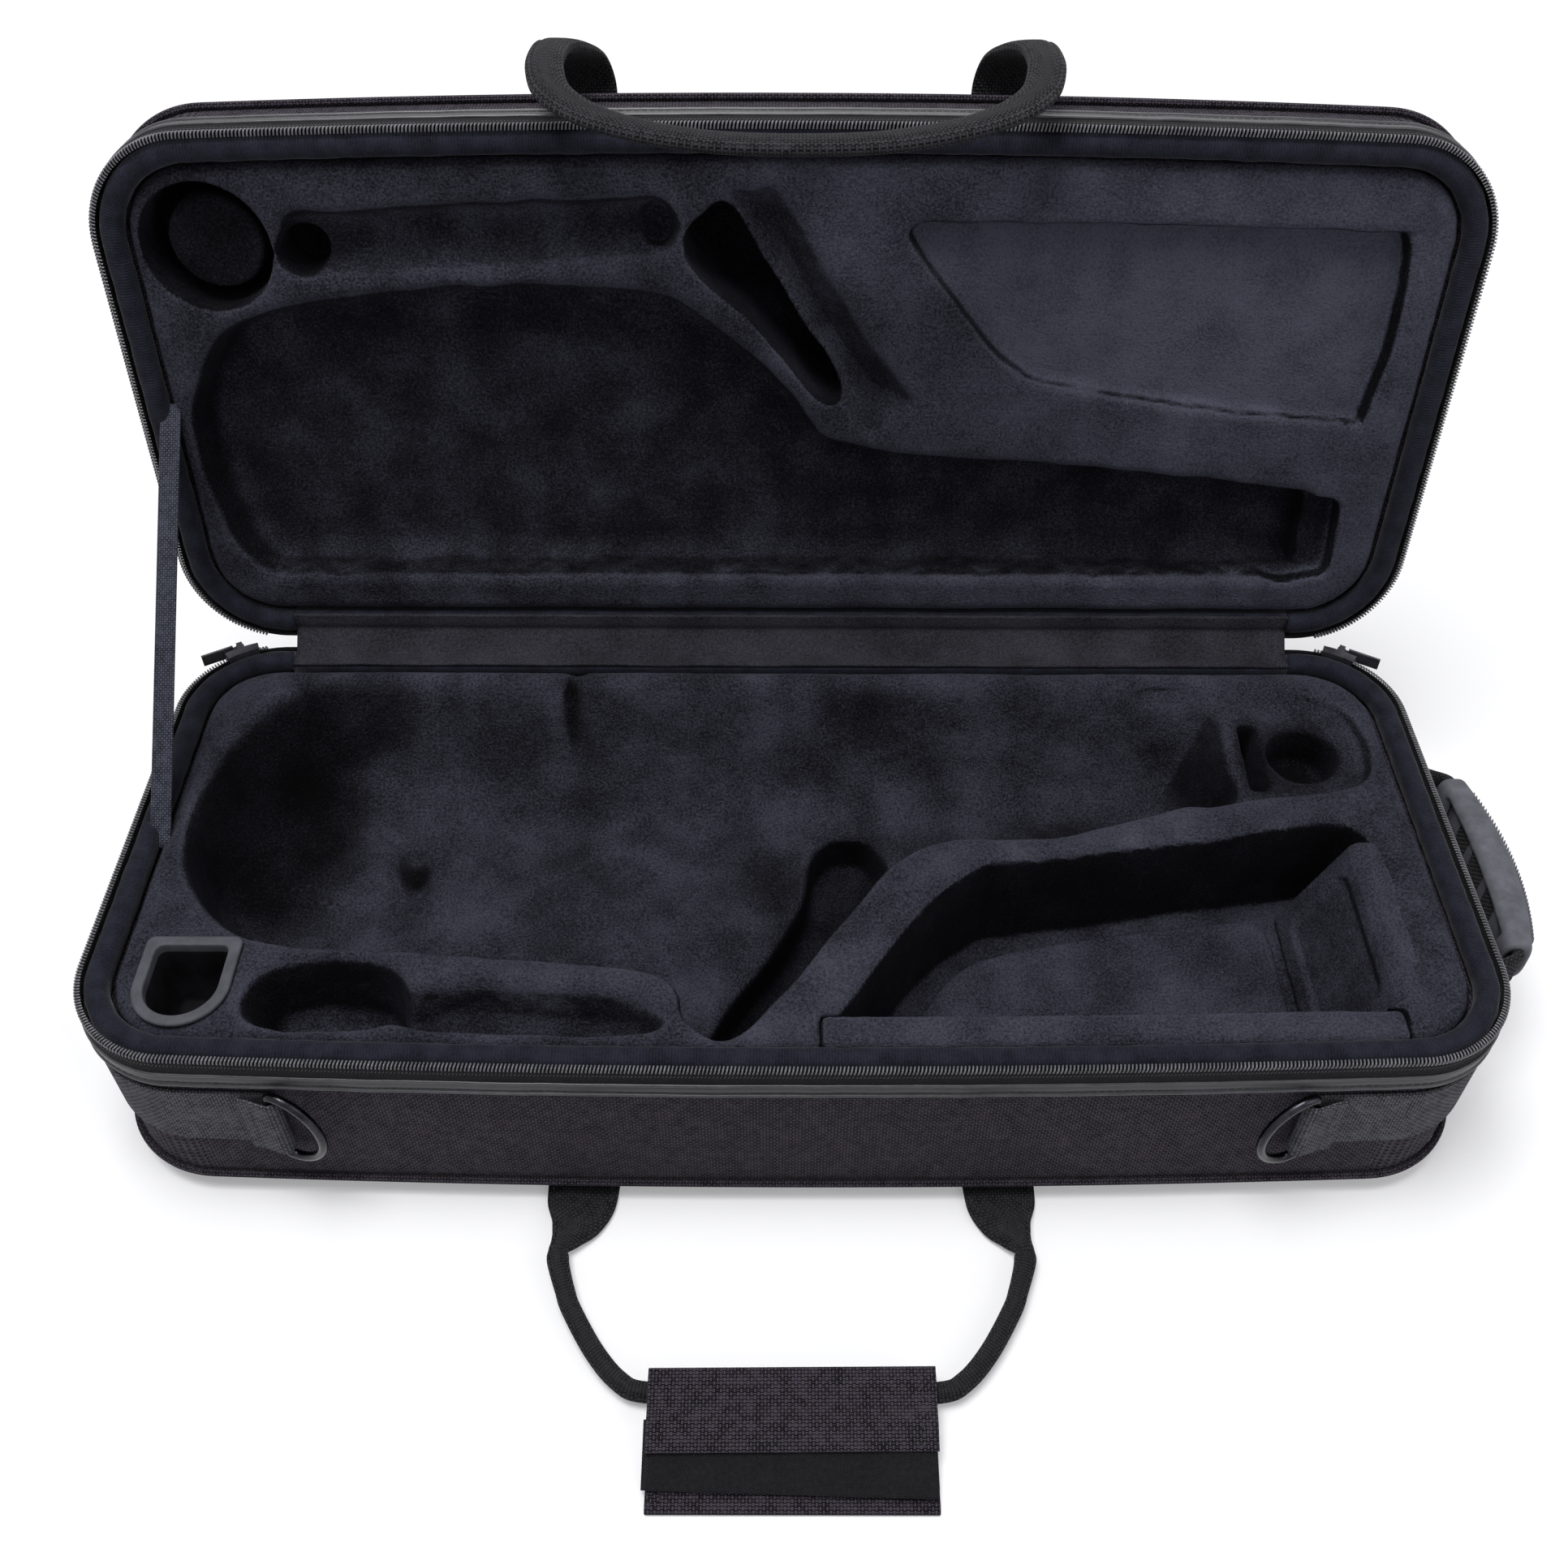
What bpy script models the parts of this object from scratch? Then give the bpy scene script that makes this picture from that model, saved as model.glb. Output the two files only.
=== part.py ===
"""Alto saxophone case, lying on its base with the lid open.

Metres, +Z up, +X along the case to the end handle's end, +Y to the hinge. The origin is the
centre of the base's underside. Both halves are built closed, on the rim plane where their
zips meet, and the lid's pieces then turn with the empty lid_hinge.
"""
from math import asin, atan2, cos, degrees, pi, radians, sin, sqrt

import bmesh
import bpy
from mathutils import Matrix, Vector

# Outside of the case, to the outer face of the zip binding.
CASE_LENGTH = 0.620
CASE_DEPTH = 0.256
CORNER_RADIUS = 0.048
FRONT_BOW = 0.007
BASE_HEIGHT = 0.106
LID_HEIGHT = 0.052
LID_OPEN_DEG = 97.5

# One clearance for pieces that touch, and one overrun for every cut.
TOUCH = 0.0003
OVERRUN = 0.004
CORNER_STEPS = 6
FINE_CORNER_STEPS = 8
ROUND_STEPS = 24
BOW_STEPS = 6

# The wall, foam behind cloth, and the sewn edges on it.
WALL_SETBACK = 0.0033
FOAM_THICKNESS = 0.0113
FLOOR_THICKNESS = 0.004
SHELL_DROP = 0.012
BASE_EDGE_RADIUS = 0.010
LID_EDGE_RADIUS = 0.011
PIPING_RADIUS = 0.0016
PIPING_HEIGHT = 0.0125
BINDING_OUTER = 0.0002
BINDING_HEIGHT = 0.0127
BINDING_DROP = 0.0073
TAPE_THICKNESS = 0.0014
TAPE_SETBACK = 0.0007
TAPE_DROP = 0.0037
COIL_RADIUS = 0.0012
COIL_DROP = 0.0022
COLLAR_RADIUS = 0.0052
COLLAR_DROP = 0.0062
INSERT_GAP = 0.0004

# The moulded inserts and the depth of each hollow, from the insert's own face.
BASE_FACE_DROP = 0.004
LID_FACE_DROP = 0.004
BODY_DEPTH = 0.060
BELL_SLOT_DEPTH = 0.086
NECK_POCKET_DEPTH = 0.040
NECK_TROUGH_DEPTH = 0.026
ACCESSORY_DEPTH = 0.060
LID_BODY_DEPTH = 0.024
LID_SLOT_DEPTH = 0.037
LID_SLOPE_DEPTH = 0.017
LID_TROUGH_DEPTH = 0.013
LID_HOLE_DEPTH = 0.029
LID_CUP_DEPTH = 0.034
LID_BOSS_HEIGHT = 0.013
LID_PANEL_DEPTH = 0.006
LID_CUP_RADIUS = 0.032
LID_BOSS_RADIUS = 0.0215
LID_HOLE_RADIUS = 0.012

# The mouthpiece cup.
CUP_HALF_WIDTH = 0.021
CUP_LENGTH = 0.047
CUP_CORNER = 0.0035
CUP_SIDE_GAP = 0.0120
CUP_FRONT_GAP = 0.0015
CUP_FLANGE = 0.0042
CUP_FLANGE_HEIGHT = 0.0026
CUP_WALL = 0.002
CUP_DEPTH = 0.040
CUP_HOLE_RADIUS = 0.0105

# Padded pieces set into the base insert.
RAIL_LENGTH = 0.249
RAIL_WIDTH = 0.0155
RAIL_HEIGHT = 0.013
RAIL_PROUD = 0.0012
RAIL_STEPS = 8
END_PAD_TOP = 0.009
END_PAD_FOOT = 0.034
END_PAD_RECESS = 0.0028
END_PAD_BORDER = 0.011
END_PAD_GAP = 0.0008
FLOOR_PAD_THICKNESS = 0.003
SHELF_DEPTH = 0.009
SUPPORT_SLOT = 0.0055
SUPPORT_WALL = 0.0100
SOCKET_RADIUS = 0.0185
SOCKET_DEPTH = 0.034

# Zip ends and sliders, each on its back corner. Angles are measured from the back, +Y.
CHAIN_END_DEG = 15.0
SLIDER_DEG = 29.6
SLIDER_LENGTH = 0.0170
SLIDER_HEIGHT = 0.0066
SLIDER_PLATE = 0.0009
SLIDER_ROOM = 0.0004
PIN_RADIUS = 0.0009
PIN_REACH = 0.0030
PIN_SPAN = 0.0042
LUG_THICKNESS = 0.0010
LUG_HALF_LENGTH = 0.0015
EYE_RADIUS = 0.0021
EYE_ROOM = 0.00035
PULL_LENGTH = 0.0200
PULL_WIDTH = 0.0064
PULL_THICKNESS = 0.0012

# Hinge cloths, inside and out, and the lid's stay strap.
LINING_THICKNESS = 0.0016
HINGE_CLOTH_THICKNESS = 0.0010
SEAM_SETBACK = 0.004
STAY_WIDTH = 0.0098
STAY_THICKNESS = 0.0012
STAY_TUCK = 0.006
SLIT_ROOM = 0.0005

# Shoulder strap rings on wide webbing.
WEBBING_WIDTH = 0.038
WEBBING_THICKNESS = 0.0016
RING_WIRE_RADIUS = 0.0021
RING_HEIGHT = 0.0460
RING_REACH = 0.0215
RING_CORNER_SHARE = 0.04
RING_CORNER_GAP = 0.0410
RING_DROP = 0.0248
RING_REST_DEG = 20.0
RING_BORE_ROOM = 0.00035
RING_LOOP_WALL = 0.0015
RING_BAND_END = 0.050
RING_STEPS = 12

# The base's carry handle, lying on the floor in front.
HANDLE_HALF_SPAN = 0.1020
HANDLE_REACH = 0.0965
HANDLE_RADIUS = 0.0040
HANDLE_LIFT = 0.0063
LEG_HALF_WIDTH = 0.0165
LEG_THICKNESS = 0.0022
LEG_GROUND_GAP = 0.0006
LEG_SEAM_SHARE = 0.16
STRAP_CORNER_SHARE = 0.55
END_REACH_SHARE = 0.80
END_THIN_SHARE = 0.50
WRAP_HALF_LENGTH = 0.059
WRAP_WALL = 0.0028
WRAP_DEPTH = 0.0455
WRAP_HEIGHT = 0.0150
WRAP_EDGE_HEIGHT = 0.0034
FLAP_THICKNESS = 0.0022
FLAP_FRONT = 0.0130
HOOK_STRIP_BACK = 0.0240
HOOK_STRIP_WIDTH = 0.0255
HOOK_STRIP_THICKNESS = 0.0018
TONGUE_REACH = 0.0060
TONGUE_HALF_LENGTH = 0.0540
TONGUE_THICKNESS = 0.0016

# The lid's carry handle: it hangs from the pocket side over the front edge.
LID_HANDLE_HALF_SPAN = 0.1045
LID_KNOT_OVERRUN = 0.0285
LID_HANDLE_OVERHANG = 0.056
LID_HANDLE_HALF_WIDTH = 0.0080
LID_HANDLE_HALF_THICKNESS = 0.0034
LID_PIVOT_SETBACK = 0.018
ANCHOR_LENGTH = 0.030
ANCHOR_TAPER = 0.0074
ANCHOR_EDGE_SHARE = 0.05

# The lid's outer pocket and its zip.
POCKET_MARGIN = 0.0130
POCKET_THICKNESS = 0.0045
POCKET_ZIP_SETBACK = 0.0140
POCKET_ZIP_END_GAP = 0.0900
POCKET_TAPE_HALF_WIDTH = 0.0060
POCKET_TAPE_THICKNESS = 0.0008
POCKET_COIL_RADIUS = 0.0013
POCKET_SLIDER_X = (0.0110, 0.0255)
POCKET_SLIDER_HALF_LENGTH = 0.0050
POCKET_SLIDER_HALF_WIDTH = 0.0034
POCKET_SLIDER_WALL = 0.0009
POCKET_PULL_LENGTH = 0.0160

# The end handle on the right wall.
END_GRIP_BACK = 0.056
END_GRIP_FRONT = -0.050
END_GRIP_RISE = 0.0068
END_GRIP_HEIGHT = 0.0250
END_GRIP_GAP = 0.0180
END_GRIP_THICKNESS = 0.0140
END_GRIP_BOW = 0.0080
END_GRIP_EDGE = 0.0028
END_GRIP_STEPS = 12
END_LOOP_WIDTH = 0.0190
END_LOOP_THICKNESS = 0.0030
END_LOOP_SPREAD = 0.0240

# Places that follow from the sizes above.
RIM_Z = BASE_HEIGHT
HINGE_Y = CASE_DEPTH / 2
FOAM_INNER = WALL_SETBACK + FOAM_THICKNESS
INSERT_SETBACK = FOAM_INNER + INSERT_GAP
INSERT_HALF_LENGTH = CASE_LENGTH / 2 - INSERT_SETBACK
INSERT_HALF_DEPTH = CASE_DEPTH / 2 - INSERT_SETBACK
SEAM_X = CASE_LENGTH / 2 - CORNER_RADIUS - SEAM_SETBACK
COIL_SETBACK = TAPE_SETBACK + TAPE_THICKNESS / 2
COLLAR_SETBACK = INSERT_SETBACK - TOUCH - COLLAR_RADIUS
CORNER_CENTRE_X = CASE_LENGTH / 2 - CORNER_RADIUS
CORNER_CENTRE_Y = CASE_DEPTH / 2 - CORNER_RADIUS
RING_X = CORNER_CENTRE_X - RING_CORNER_GAP
RING_Z = BASE_HEIGHT - BINDING_DROP - BINDING_HEIGHT - RING_DROP
END_GRIP_Z = RING_Z + END_GRIP_RISE
LID_PIVOT_T = CASE_DEPTH - LID_PIVOT_SETBACK
POCKET_ZIP_T = CASE_DEPTH - POCKET_ZIP_SETBACK
POCKET_ZIP_HALF_LENGTH = CASE_LENGTH / 2 - POCKET_ZIP_END_GAP

# Outlines of the hollows, as shares of the inserts' half length and half depth. The front
# edge is at -1 on Y, and both halves use the same shares where they hold the same thing.
SHELF_SHARES = [
    (0.60, 0.890), (0.72, 0.893), (0.86, 0.87), (0.950, 0.74), (0.966, 0.47),
    (0.925, 0.285), (0.763, 0.215), (0.66, 0.180), (0.60, 0.35), (0.58, 0.60),
]
BODY_SHARES = [
    (-0.76, 0.895), (0.0, 0.895), (0.52, 0.895), (0.71, 0.870), (0.748, 0.740), (0.750, 0.50),
    (0.740, 0.260), (0.641, 0.165), (0.434, -0.018), (0.278, -0.050),
    (0.173, -0.159), (0.115, -0.389), (0.040, -0.640), (-0.031, -0.865), (-0.082, -0.955),
    (-0.130, -0.930), (-0.152, -0.814), (-0.225, -0.650), (-0.508, -0.590), (-0.790, -0.545),
    (-0.895, -0.385), (-0.955, -0.100), (-0.960, 0.260), (-0.925, 0.620), (-0.860, 0.825),
]
BELL_SLOT_SHARES = [
    (0.090, -0.385), (0.015, -0.640), (-0.050, -0.870), (-0.085, -0.945), (-0.122, -0.915),
    (-0.128, -0.800), (-0.060, -0.450), (-0.005, -0.190), (0.040, -0.110), (0.100, -0.190),
]
NECK_POCKET_SHARES = [
    (-0.800, -0.830), (-0.775, -0.670), (-0.690, -0.615), (-0.605, -0.640), (-0.563, -0.740),
    (-0.560, -0.870), (-0.600, -0.935), (-0.695, -0.950), (-0.775, -0.930),
]
NECK_TROUGH_SHARES = [
    (-0.585, -0.800), (-0.510, -0.735), (-0.380, -0.735), (-0.250, -0.760), (-0.190, -0.860),
    (-0.195, -0.920), (-0.260, -0.948), (-0.400, -0.948), (-0.540, -0.935), (-0.585, -0.890),
]
ACCESSORY_SHARES = [
    (0.075, -0.910), (0.130, -0.740), (0.225, -0.375), (0.305, -0.190), (0.430, -0.118),
    (0.668, -0.020), (0.850, 0.075), (0.912, 0.030), (0.922, -0.120), (0.922, -0.500),
    (0.922, -0.830), (0.900, -0.910), (0.820, -0.925), (0.500, -0.925), (0.200, -0.925),
]
FLOOR_PAD_SHARES = [
    (0.150, -0.880), (0.185, -0.620), (0.260, -0.330), (0.350, -0.215), (0.480, -0.145),
    (0.640, -0.085), (0.745, -0.060), (0.785, -0.120), (0.790, -0.400), (0.785, -0.820),
    (0.750, -0.885), (0.500, -0.900), (0.250, -0.900),
]
LID_BODY_SHARES = [
    (-0.960, -0.050), (-0.905, -0.240), (-0.830, -0.385), (-0.715, -0.490), (-0.441, -0.565),
    (-0.215, -0.520), (-0.080, -0.200), (0.050, 0.090), (0.115, 0.190), (0.200, 0.200),
    (0.359, 0.240), (0.702, 0.327), (0.900, 0.380), (0.935, 0.480), (0.930, 0.740),
    (0.890, 0.820), (0.500, 0.825), (0.000, 0.825), (-0.500, 0.825), (-0.850, 0.815),
    (-0.935, 0.730), (-0.968, 0.420),
]
LID_SLOT_SHARES = [
    (-0.150, -0.600), (-0.158, -0.730), (-0.125, -0.800), (-0.055, -0.860), (0.020, -0.620),
    (0.110, -0.300), (0.130, -0.140), (0.100, -0.055), (0.055, -0.060), (0.020, -0.160),
    (-0.070, -0.400),
]
LID_SLOPE_SHARES = [
    (-0.060, -0.890), (-0.030, -0.915), (0.010, -0.800), (0.115, -0.350), (0.190, -0.070),
    (0.180, -0.030), (0.155, 0.110), (0.115, 0.115), (0.085, -0.100), (0.030, -0.500),
]
LID_TROUGH_SHARES = [
    (-0.740, -0.720), (-0.700, -0.860), (-0.600, -0.895), (-0.400, -0.895), (-0.230, -0.890),
    (-0.180, -0.820), (-0.180, -0.700), (-0.230, -0.620), (-0.400, -0.600), (-0.600, -0.600),
    (-0.700, -0.620),
]
LID_PANEL_SHARES = [
    (0.172, -0.770), (0.205, -0.810), (0.400, -0.812), (0.880, -0.800), (0.912, -0.770),
    (0.915, -0.400), (0.922, -0.040), (0.890, 0.010), (0.680, -0.025), (0.461, -0.090),
    (0.363, -0.168), (0.281, -0.310), (0.225, -0.530),
]
LID_CUP_SHARES = (-0.876, -0.680)
LID_HOLE_SHARES = (-0.735, -0.720)
RAIL_START_SHARE = 0.040
SOCKET_SHARES = (0.868, 0.450)
END_PAD_SHARES = (0.922, -0.130, -0.800)
STAY_BASE_SHARE = -0.03
STAY_LID_SHARE = 0.01

# Half of the base handle: across, forward, and how flat it is, from its leg to its middle.
CARRY_HANDLE_SHARES = [
    (0.93, 0.00, 1.00), (0.94, 0.17, 0.80), (0.98, 0.28, 0.30), (1.01, 0.34, 0.00),
    (1.00, 0.43, 0.00), (0.93, 0.63, 0.00), (0.82, 0.82, 0.00), (0.71, 0.95, 0.00),
    (0.60, 1.00, 0.00), (0.00, 1.00, 0.00),
]
# Half of the lid handle: across, forward, up, how flat, and how far it leans over.
LID_HANDLE_SHARES = [
    (0.925, 0.00, 1.000, 1.00, -25), (0.925, 0.24, 1.050, 1.00, -12),
    (0.925, 0.49, 1.060, 0.95, 15), (0.935, 0.74, 1.000, 0.70, 40),
    (0.955, 0.92, 0.860, 0.30, 65), (0.98, 1.00, 0.735, 0.05, 85), (0.99, 1.01, 0.600, -0.10, 92),
    (0.985, 0.97, 0.480, -0.10, 95), (0.94, 0.88, 0.340, 0.00, 95), (0.81, 0.80, 0.210, 0.00, 92),
    (0.60, 0.75, 0.090, 0.00, 90), (0.33, 0.71, 0.020, 0.00, 90), (0.00, 0.70, 0.000, 0.00, 90),
]
# Seams that part each insert across its length.
BASE_SEAM_SHARES = [-0.560, -0.380, -0.163, -0.008, 0.305]
LID_SEAM_SHARES = [-0.680, -0.150]
BASE_PIECES = ("left", "neck_left", "neck_right", "bell_left", "bell_right", "accessory",
               "socket_left", "socket_right")
LID_PIECES = ("left", "middle", "right")
# Half of the end handle's loop: out from the wall, on from the grip's end, and its lean.
END_LOOP_SHARES = [
    (0.00, 1.00, 0), (0.00, 0.72, 8), (0.22, 0.48, 55), (0.62, 0.28, 60), (0.92, 0.14, 30),
    (1.00, 0.03, 5), (1.00, -0.10, 0),
]


# Materials and collections.
def linear(value):
    return value / 12.92 if value <= 0.04045 else ((value + 0.055) / 1.055) ** 2.4


def material(name, colour, roughness, metallic=0.0):
    mat = bpy.data.materials.new(name)
    mat.use_nodes = True
    shader = mat.node_tree.nodes["Principled BSDF"]
    channels = [linear(int(colour[i:i + 2], 16) / 255) for i in (0, 2, 4)]
    shader.inputs["Base Color"].default_value = (*channels, 1.0)
    shader.inputs["Roughness"].default_value = roughness
    shader.inputs["Metallic"].default_value = metallic
    return mat


for old in list(bpy.data.objects):
    bpy.data.objects.remove(old, do_unlink=True)

parts = bpy.data.collections.new("alto_saxophone_case")
cutters = bpy.data.collections.new("cutters")
bpy.context.scene.collection.children.link(parts)
bpy.context.scene.collection.children.link(cutters)

SHELL_CLOTH = material("shell_cloth", "2b2528", 0.85)
VINYL = material("binding_vinyl", "67686e", 0.5)
ZIP_TAPE = material("zip_tape", "1d1d21", 0.85)
ZIP_COIL = material("zip_coil", "303036", 0.4)
COLLAR_CLOTH = material("collar_cloth", "1e1f29", 0.95)
PLUSH = material("insert_plush", "24252f", 0.95)
LINING_PLUSH = material("lining_plush", "2a2527", 0.95)
CUP_PLASTIC = material("cup_plastic", "55565a", 0.55)
WEBBING = material("webbing", "2e2f32", 0.8)
STAY_WEBBING = material("stay_webbing", "45454f", 0.8)
RING_METAL = material("ring_metal", "26262a", 0.25, 1.0)
SLIDER_METAL = material("slider_metal", "54555a", 0.4, 1.0)
GRIP_RUBBER = material("grip_rubber", "6b6b75", 0.6)
HOOK_TAPE = material("hook_tape", "141416", 0.95)


# Small tools for shapes.
def axis_empty(name, place, turn_deg=0.0, about="X", on=None):
    """An empty on a joint's axis. It keeps the place it has while nothing is turned."""
    made = bpy.data.objects.new(name, None)
    parts.objects.link(made)
    made.matrix_basis = Matrix.Translation(place) @ Matrix.Rotation(radians(turn_deg), 4, about)
    made["unturned"] = place
    if on:
        hang(made, on)
    return made


def hang(obj, pivot):
    """Ties a piece, built at its unturned place, to the empty that it turns with."""
    obj.parent = pivot
    obj.matrix_parent_inverse = Matrix.Translation(-Vector(pivot["unturned"]))
    return obj


def keep(obj, mat):
    obj.data.materials.clear()
    obj.data.materials.append(mat)
    parts.objects.link(obj)
    return obj


def cutter(obj):
    cutters.objects.link(obj)
    obj.hide_render = True
    obj.display_type = "WIRE"
    return obj


def boolean(target, tool, operation="DIFFERENCE"):
    mod = target.modifiers.new(operation.lower(), "BOOLEAN")
    mod.operation = operation
    mod.solver = "EXACT"
    mod.object = tool


def meshed(curve_object):
    """The curve's shape as a mesh object with its caps welded on."""
    bpy.context.scene.collection.objects.link(curve_object)
    graph = bpy.context.evaluated_depsgraph_get()
    mesh = bpy.data.meshes.new_from_object(curve_object.evaluated_get(graph))
    mesh.transform(curve_object.matrix_world)
    work = bmesh.new()
    work.from_mesh(mesh)
    bmesh.ops.remove_doubles(work, verts=work.verts, dist=TOUCH / 30)
    bmesh.ops.recalc_face_normals(work, faces=work.faces)
    work.to_mesh(mesh)
    work.free()
    name = curve_object.name
    bpy.data.objects.remove(curve_object)
    mesh.name = name
    return bpy.data.objects.new(name, mesh)


def slab(name, loops, low, high, smooth=False, steps=3):
    """A flat outline, with a hole for each further loop, between two heights."""
    data = bpy.data.curves.new(name, "CURVE")
    data.dimensions = "2D"
    data.fill_mode = "BOTH"
    data.extrude = (high - low) / 2
    data.resolution_u = steps
    for loop in loops:
        if smooth:
            line = data.splines.new("BEZIER")
            line.bezier_points.add(len(loop) - 1)
            for point, (x, y) in zip(line.bezier_points, loop):
                point.co = (x, y, 0)
                point.handle_left_type = "AUTO"
                point.handle_right_type = "AUTO"
        else:
            line = data.splines.new("POLY")
            line.points.add(len(loop) - 1)
            for point, (x, y) in zip(line.points, loop):
                point.co = (x, y, 0, 1)
        line.use_cyclic_u = True
    made = bpy.data.objects.new(name, data)
    made.location.z = (low + high) / 2
    return meshed(made)


def tube(name, points, radius, closed=False, half_width=0.0, resolution=2):
    """A round bar along points, or a flat one with round edges where half_width is given."""
    data = bpy.data.curves.new(name, "CURVE")
    data.dimensions = "3D"
    data.bevel_depth = radius
    data.bevel_resolution = resolution
    data.extrude = half_width
    data.use_fill_caps = not closed
    line = data.splines.new("POLY")
    line.points.add(len(points) - 1)
    for point, place in zip(line.points, points):
        point.co = (*place, 1)
    line.use_cyclic_u = closed
    made = meshed(bpy.data.objects.new(name, data))
    made.data.shade_smooth()
    return made


def cylinder(name, radius, start, end, steps=ROUND_STEPS):
    start = Vector(start)
    axis = Vector(end) - start
    mesh = bpy.data.meshes.new(name)
    work = bmesh.new()
    bmesh.ops.create_cone(work, cap_ends=True, segments=steps, radius1=radius, radius2=radius,
                          depth=axis.length)
    turn = axis.to_track_quat("Z", "Y").to_matrix().to_4x4()
    bmesh.ops.transform(work, matrix=Matrix.Translation(start + axis / 2) @ turn,
                        verts=work.verts)
    work.to_mesh(mesh)
    work.free()
    return bpy.data.objects.new(name, mesh)


def box(name, low, high, turn=None):
    mesh = bpy.data.meshes.new(name)
    work = bmesh.new()
    bmesh.ops.create_cube(work, size=1)
    size = Vector(high) - Vector(low)
    centre = (Vector(high) + Vector(low)) / 2
    place = Matrix.Translation(centre) @ Matrix.Diagonal((*size, 1))
    bmesh.ops.transform(work, matrix=(turn @ place if turn else place), verts=work.verts)
    work.to_mesh(mesh)
    work.free()
    return bpy.data.objects.new(name, mesh)


def round_edge_loop(obj, height, width, segments=4):
    """Rounds the outer edge loop that lies at one height, once the face there is one piece."""
    work = bmesh.new()
    work.from_mesh(obj.data)
    level_edges = [edge for edge in work.edges
                   if max(abs(vert.co.z - height) for vert in edge.verts) < TOUCH]
    inner = [edge for edge in level_edges
             if all(abs(face.normal.z) > 0.5 for face in edge.link_faces)]
    bmesh.ops.dissolve_edges(work, edges=inner)
    work.to_mesh(obj.data)
    work.free()
    mesh = obj.data
    weights = mesh.attributes.new("bevel_weight_edge", "FLOAT", "EDGE")
    for edge in mesh.edges:
        ends = [mesh.vertices[i].co.z for i in edge.vertices]
        if max(abs(z - height) for z in ends) < TOUCH:
            weights.data[edge.index].value = 1.0
    mod = obj.modifiers.new("round_edge", "BEVEL")
    mod.limit_method = "WEIGHT"
    mod.width = width
    mod.segments = segments


def round_all(obj, width, segments=2, limit_deg=50.0):
    mod = obj.modifiers.new("round_edges", "BEVEL")
    mod.limit_method = "ANGLE"
    mod.angle_limit = radians(limit_deg)
    mod.width = width
    mod.segments = segments


# The case's plan outline.
def bowed(x, y):
    """Moves a point of the plan forward by the front's bow."""
    toward_front = min(max((CASE_DEPTH / 2 - y) / CASE_DEPTH, 0), 1)
    return (x, y - FRONT_BOW * toward_front * max(1 - (2 * x / CASE_LENGTH) ** 2, 0))


def arc(centre_x, centre_y, radius, first_deg, last_deg, steps):
    points = []
    for i in range(steps + 1):
        turn = radians(first_deg + (last_deg - first_deg) * i / steps)
        points.append((centre_x + radius * cos(turn), centre_y + radius * sin(turn)))
    return points


def outline(inset, start_deg=0.0, steps=CORNER_STEPS):
    """The case's plan, inset from its widest, from the back left corner round the front.

    The angle, from the back, is where an open run starts and ends.
    """
    radius = CORNER_RADIUS - inset
    cx, cy = CORNER_CENTRE_X, CORNER_CENTRE_Y
    points = arc(-cx, cy, radius, 90 + start_deg, 180, steps)
    points += arc(-cx, -cy, radius, 180, 270, steps)
    front = -cy - radius
    points += [(cx * (2 * i / BOW_STEPS - 1), front) for i in range(1, BOW_STEPS)]
    points += arc(cx, -cy, radius, 270, 360, steps)
    points += arc(cx, cy, radius, 0, 90 - start_deg, steps)
    return [bowed(x, y) for x, y in points]


def front_y(x, inset):
    return bowed(x, -CASE_DEPTH / 2 + inset)[1]


def seam_strip(outer_inset, inner_inset):
    """A thin wall round three sides, run on along the back to the lining's seams."""
    outer = outline(outer_inset)
    inner = outline(inner_inset)
    back_out = HINGE_Y - outer_inset
    back_in = HINGE_Y - inner_inset
    return ([(-SEAM_X, back_out)] + outer + [(SEAM_X, back_out), (SEAM_X, back_in)]
            + inner[::-1] + [(-SEAM_X, back_in)])


def sector(side, outer_inset, inner_inset, first_deg, last_deg, steps=4):
    """Part of a back corner's ring. Angles from the back; side -1 is the left corner."""
    def run(inset):
        radius = CORNER_RADIUS - inset
        points = []
        for i in range(steps + 1):
            turn = radians(first_deg + (last_deg - first_deg) * i / steps)
            points.append((side * (CORNER_CENTRE_X + radius * sin(turn)),
                           CORNER_CENTRE_Y + radius * cos(turn)))
        return points
    loop = run(outer_inset) + run(inner_inset)[::-1]
    return loop if side < 0 else loop[::-1]


def placed(shares):
    return [bowed(x * INSERT_HALF_LENGTH, y * INSERT_HALF_DEPTH) for x, y in shares]


def placed_point(shares):
    return placed([shares])[0]


def level(side, drop):
    """Height of a level, a distance from the rim plane into the base (-1) or lid (+1)."""
    return RIM_Z + side * drop


def between(side, first, second):
    return sorted((level(side, first), level(side, second)))


# Pieces that both halves have, made once for the base (-1) and once for the lid (+1).
def add_shell(side, name, height, edge_radius):
    low, high = between(side, SHELL_DROP, height)
    shell = slab(name, [outline(WALL_SETBACK)], low, high)
    round_edge_loop(shell, level(side, height), edge_radius)
    hollow_low, hollow_high = between(side, SHELL_DROP - OVERRUN, height - FLOOR_THICKNESS)
    hollow = cutter(slab(name + "_hollow", [outline(FOAM_INNER)], hollow_low, hollow_high))
    boolean(shell, hollow)
    return keep(shell, SHELL_CLOTH), hollow


def add_back_ledge(side, name):
    """Foam that fills the rim along the hinge, where the lining covers it."""
    low, high = between(side, SHELL_DROP - TOUCH, BASE_FACE_DROP + LINING_THICKNESS / 2)
    ledge = slab(name, [[(-SEAM_X, HINGE_Y - FOAM_INNER), (SEAM_X, HINGE_Y - FOAM_INNER),
                         (SEAM_X, HINGE_Y - WALL_SETBACK - TOUCH),
                         (-SEAM_X, HINGE_Y - WALL_SETBACK - TOUCH)]], low, high)
    return keep(ledge, COLLAR_CLOTH)


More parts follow.
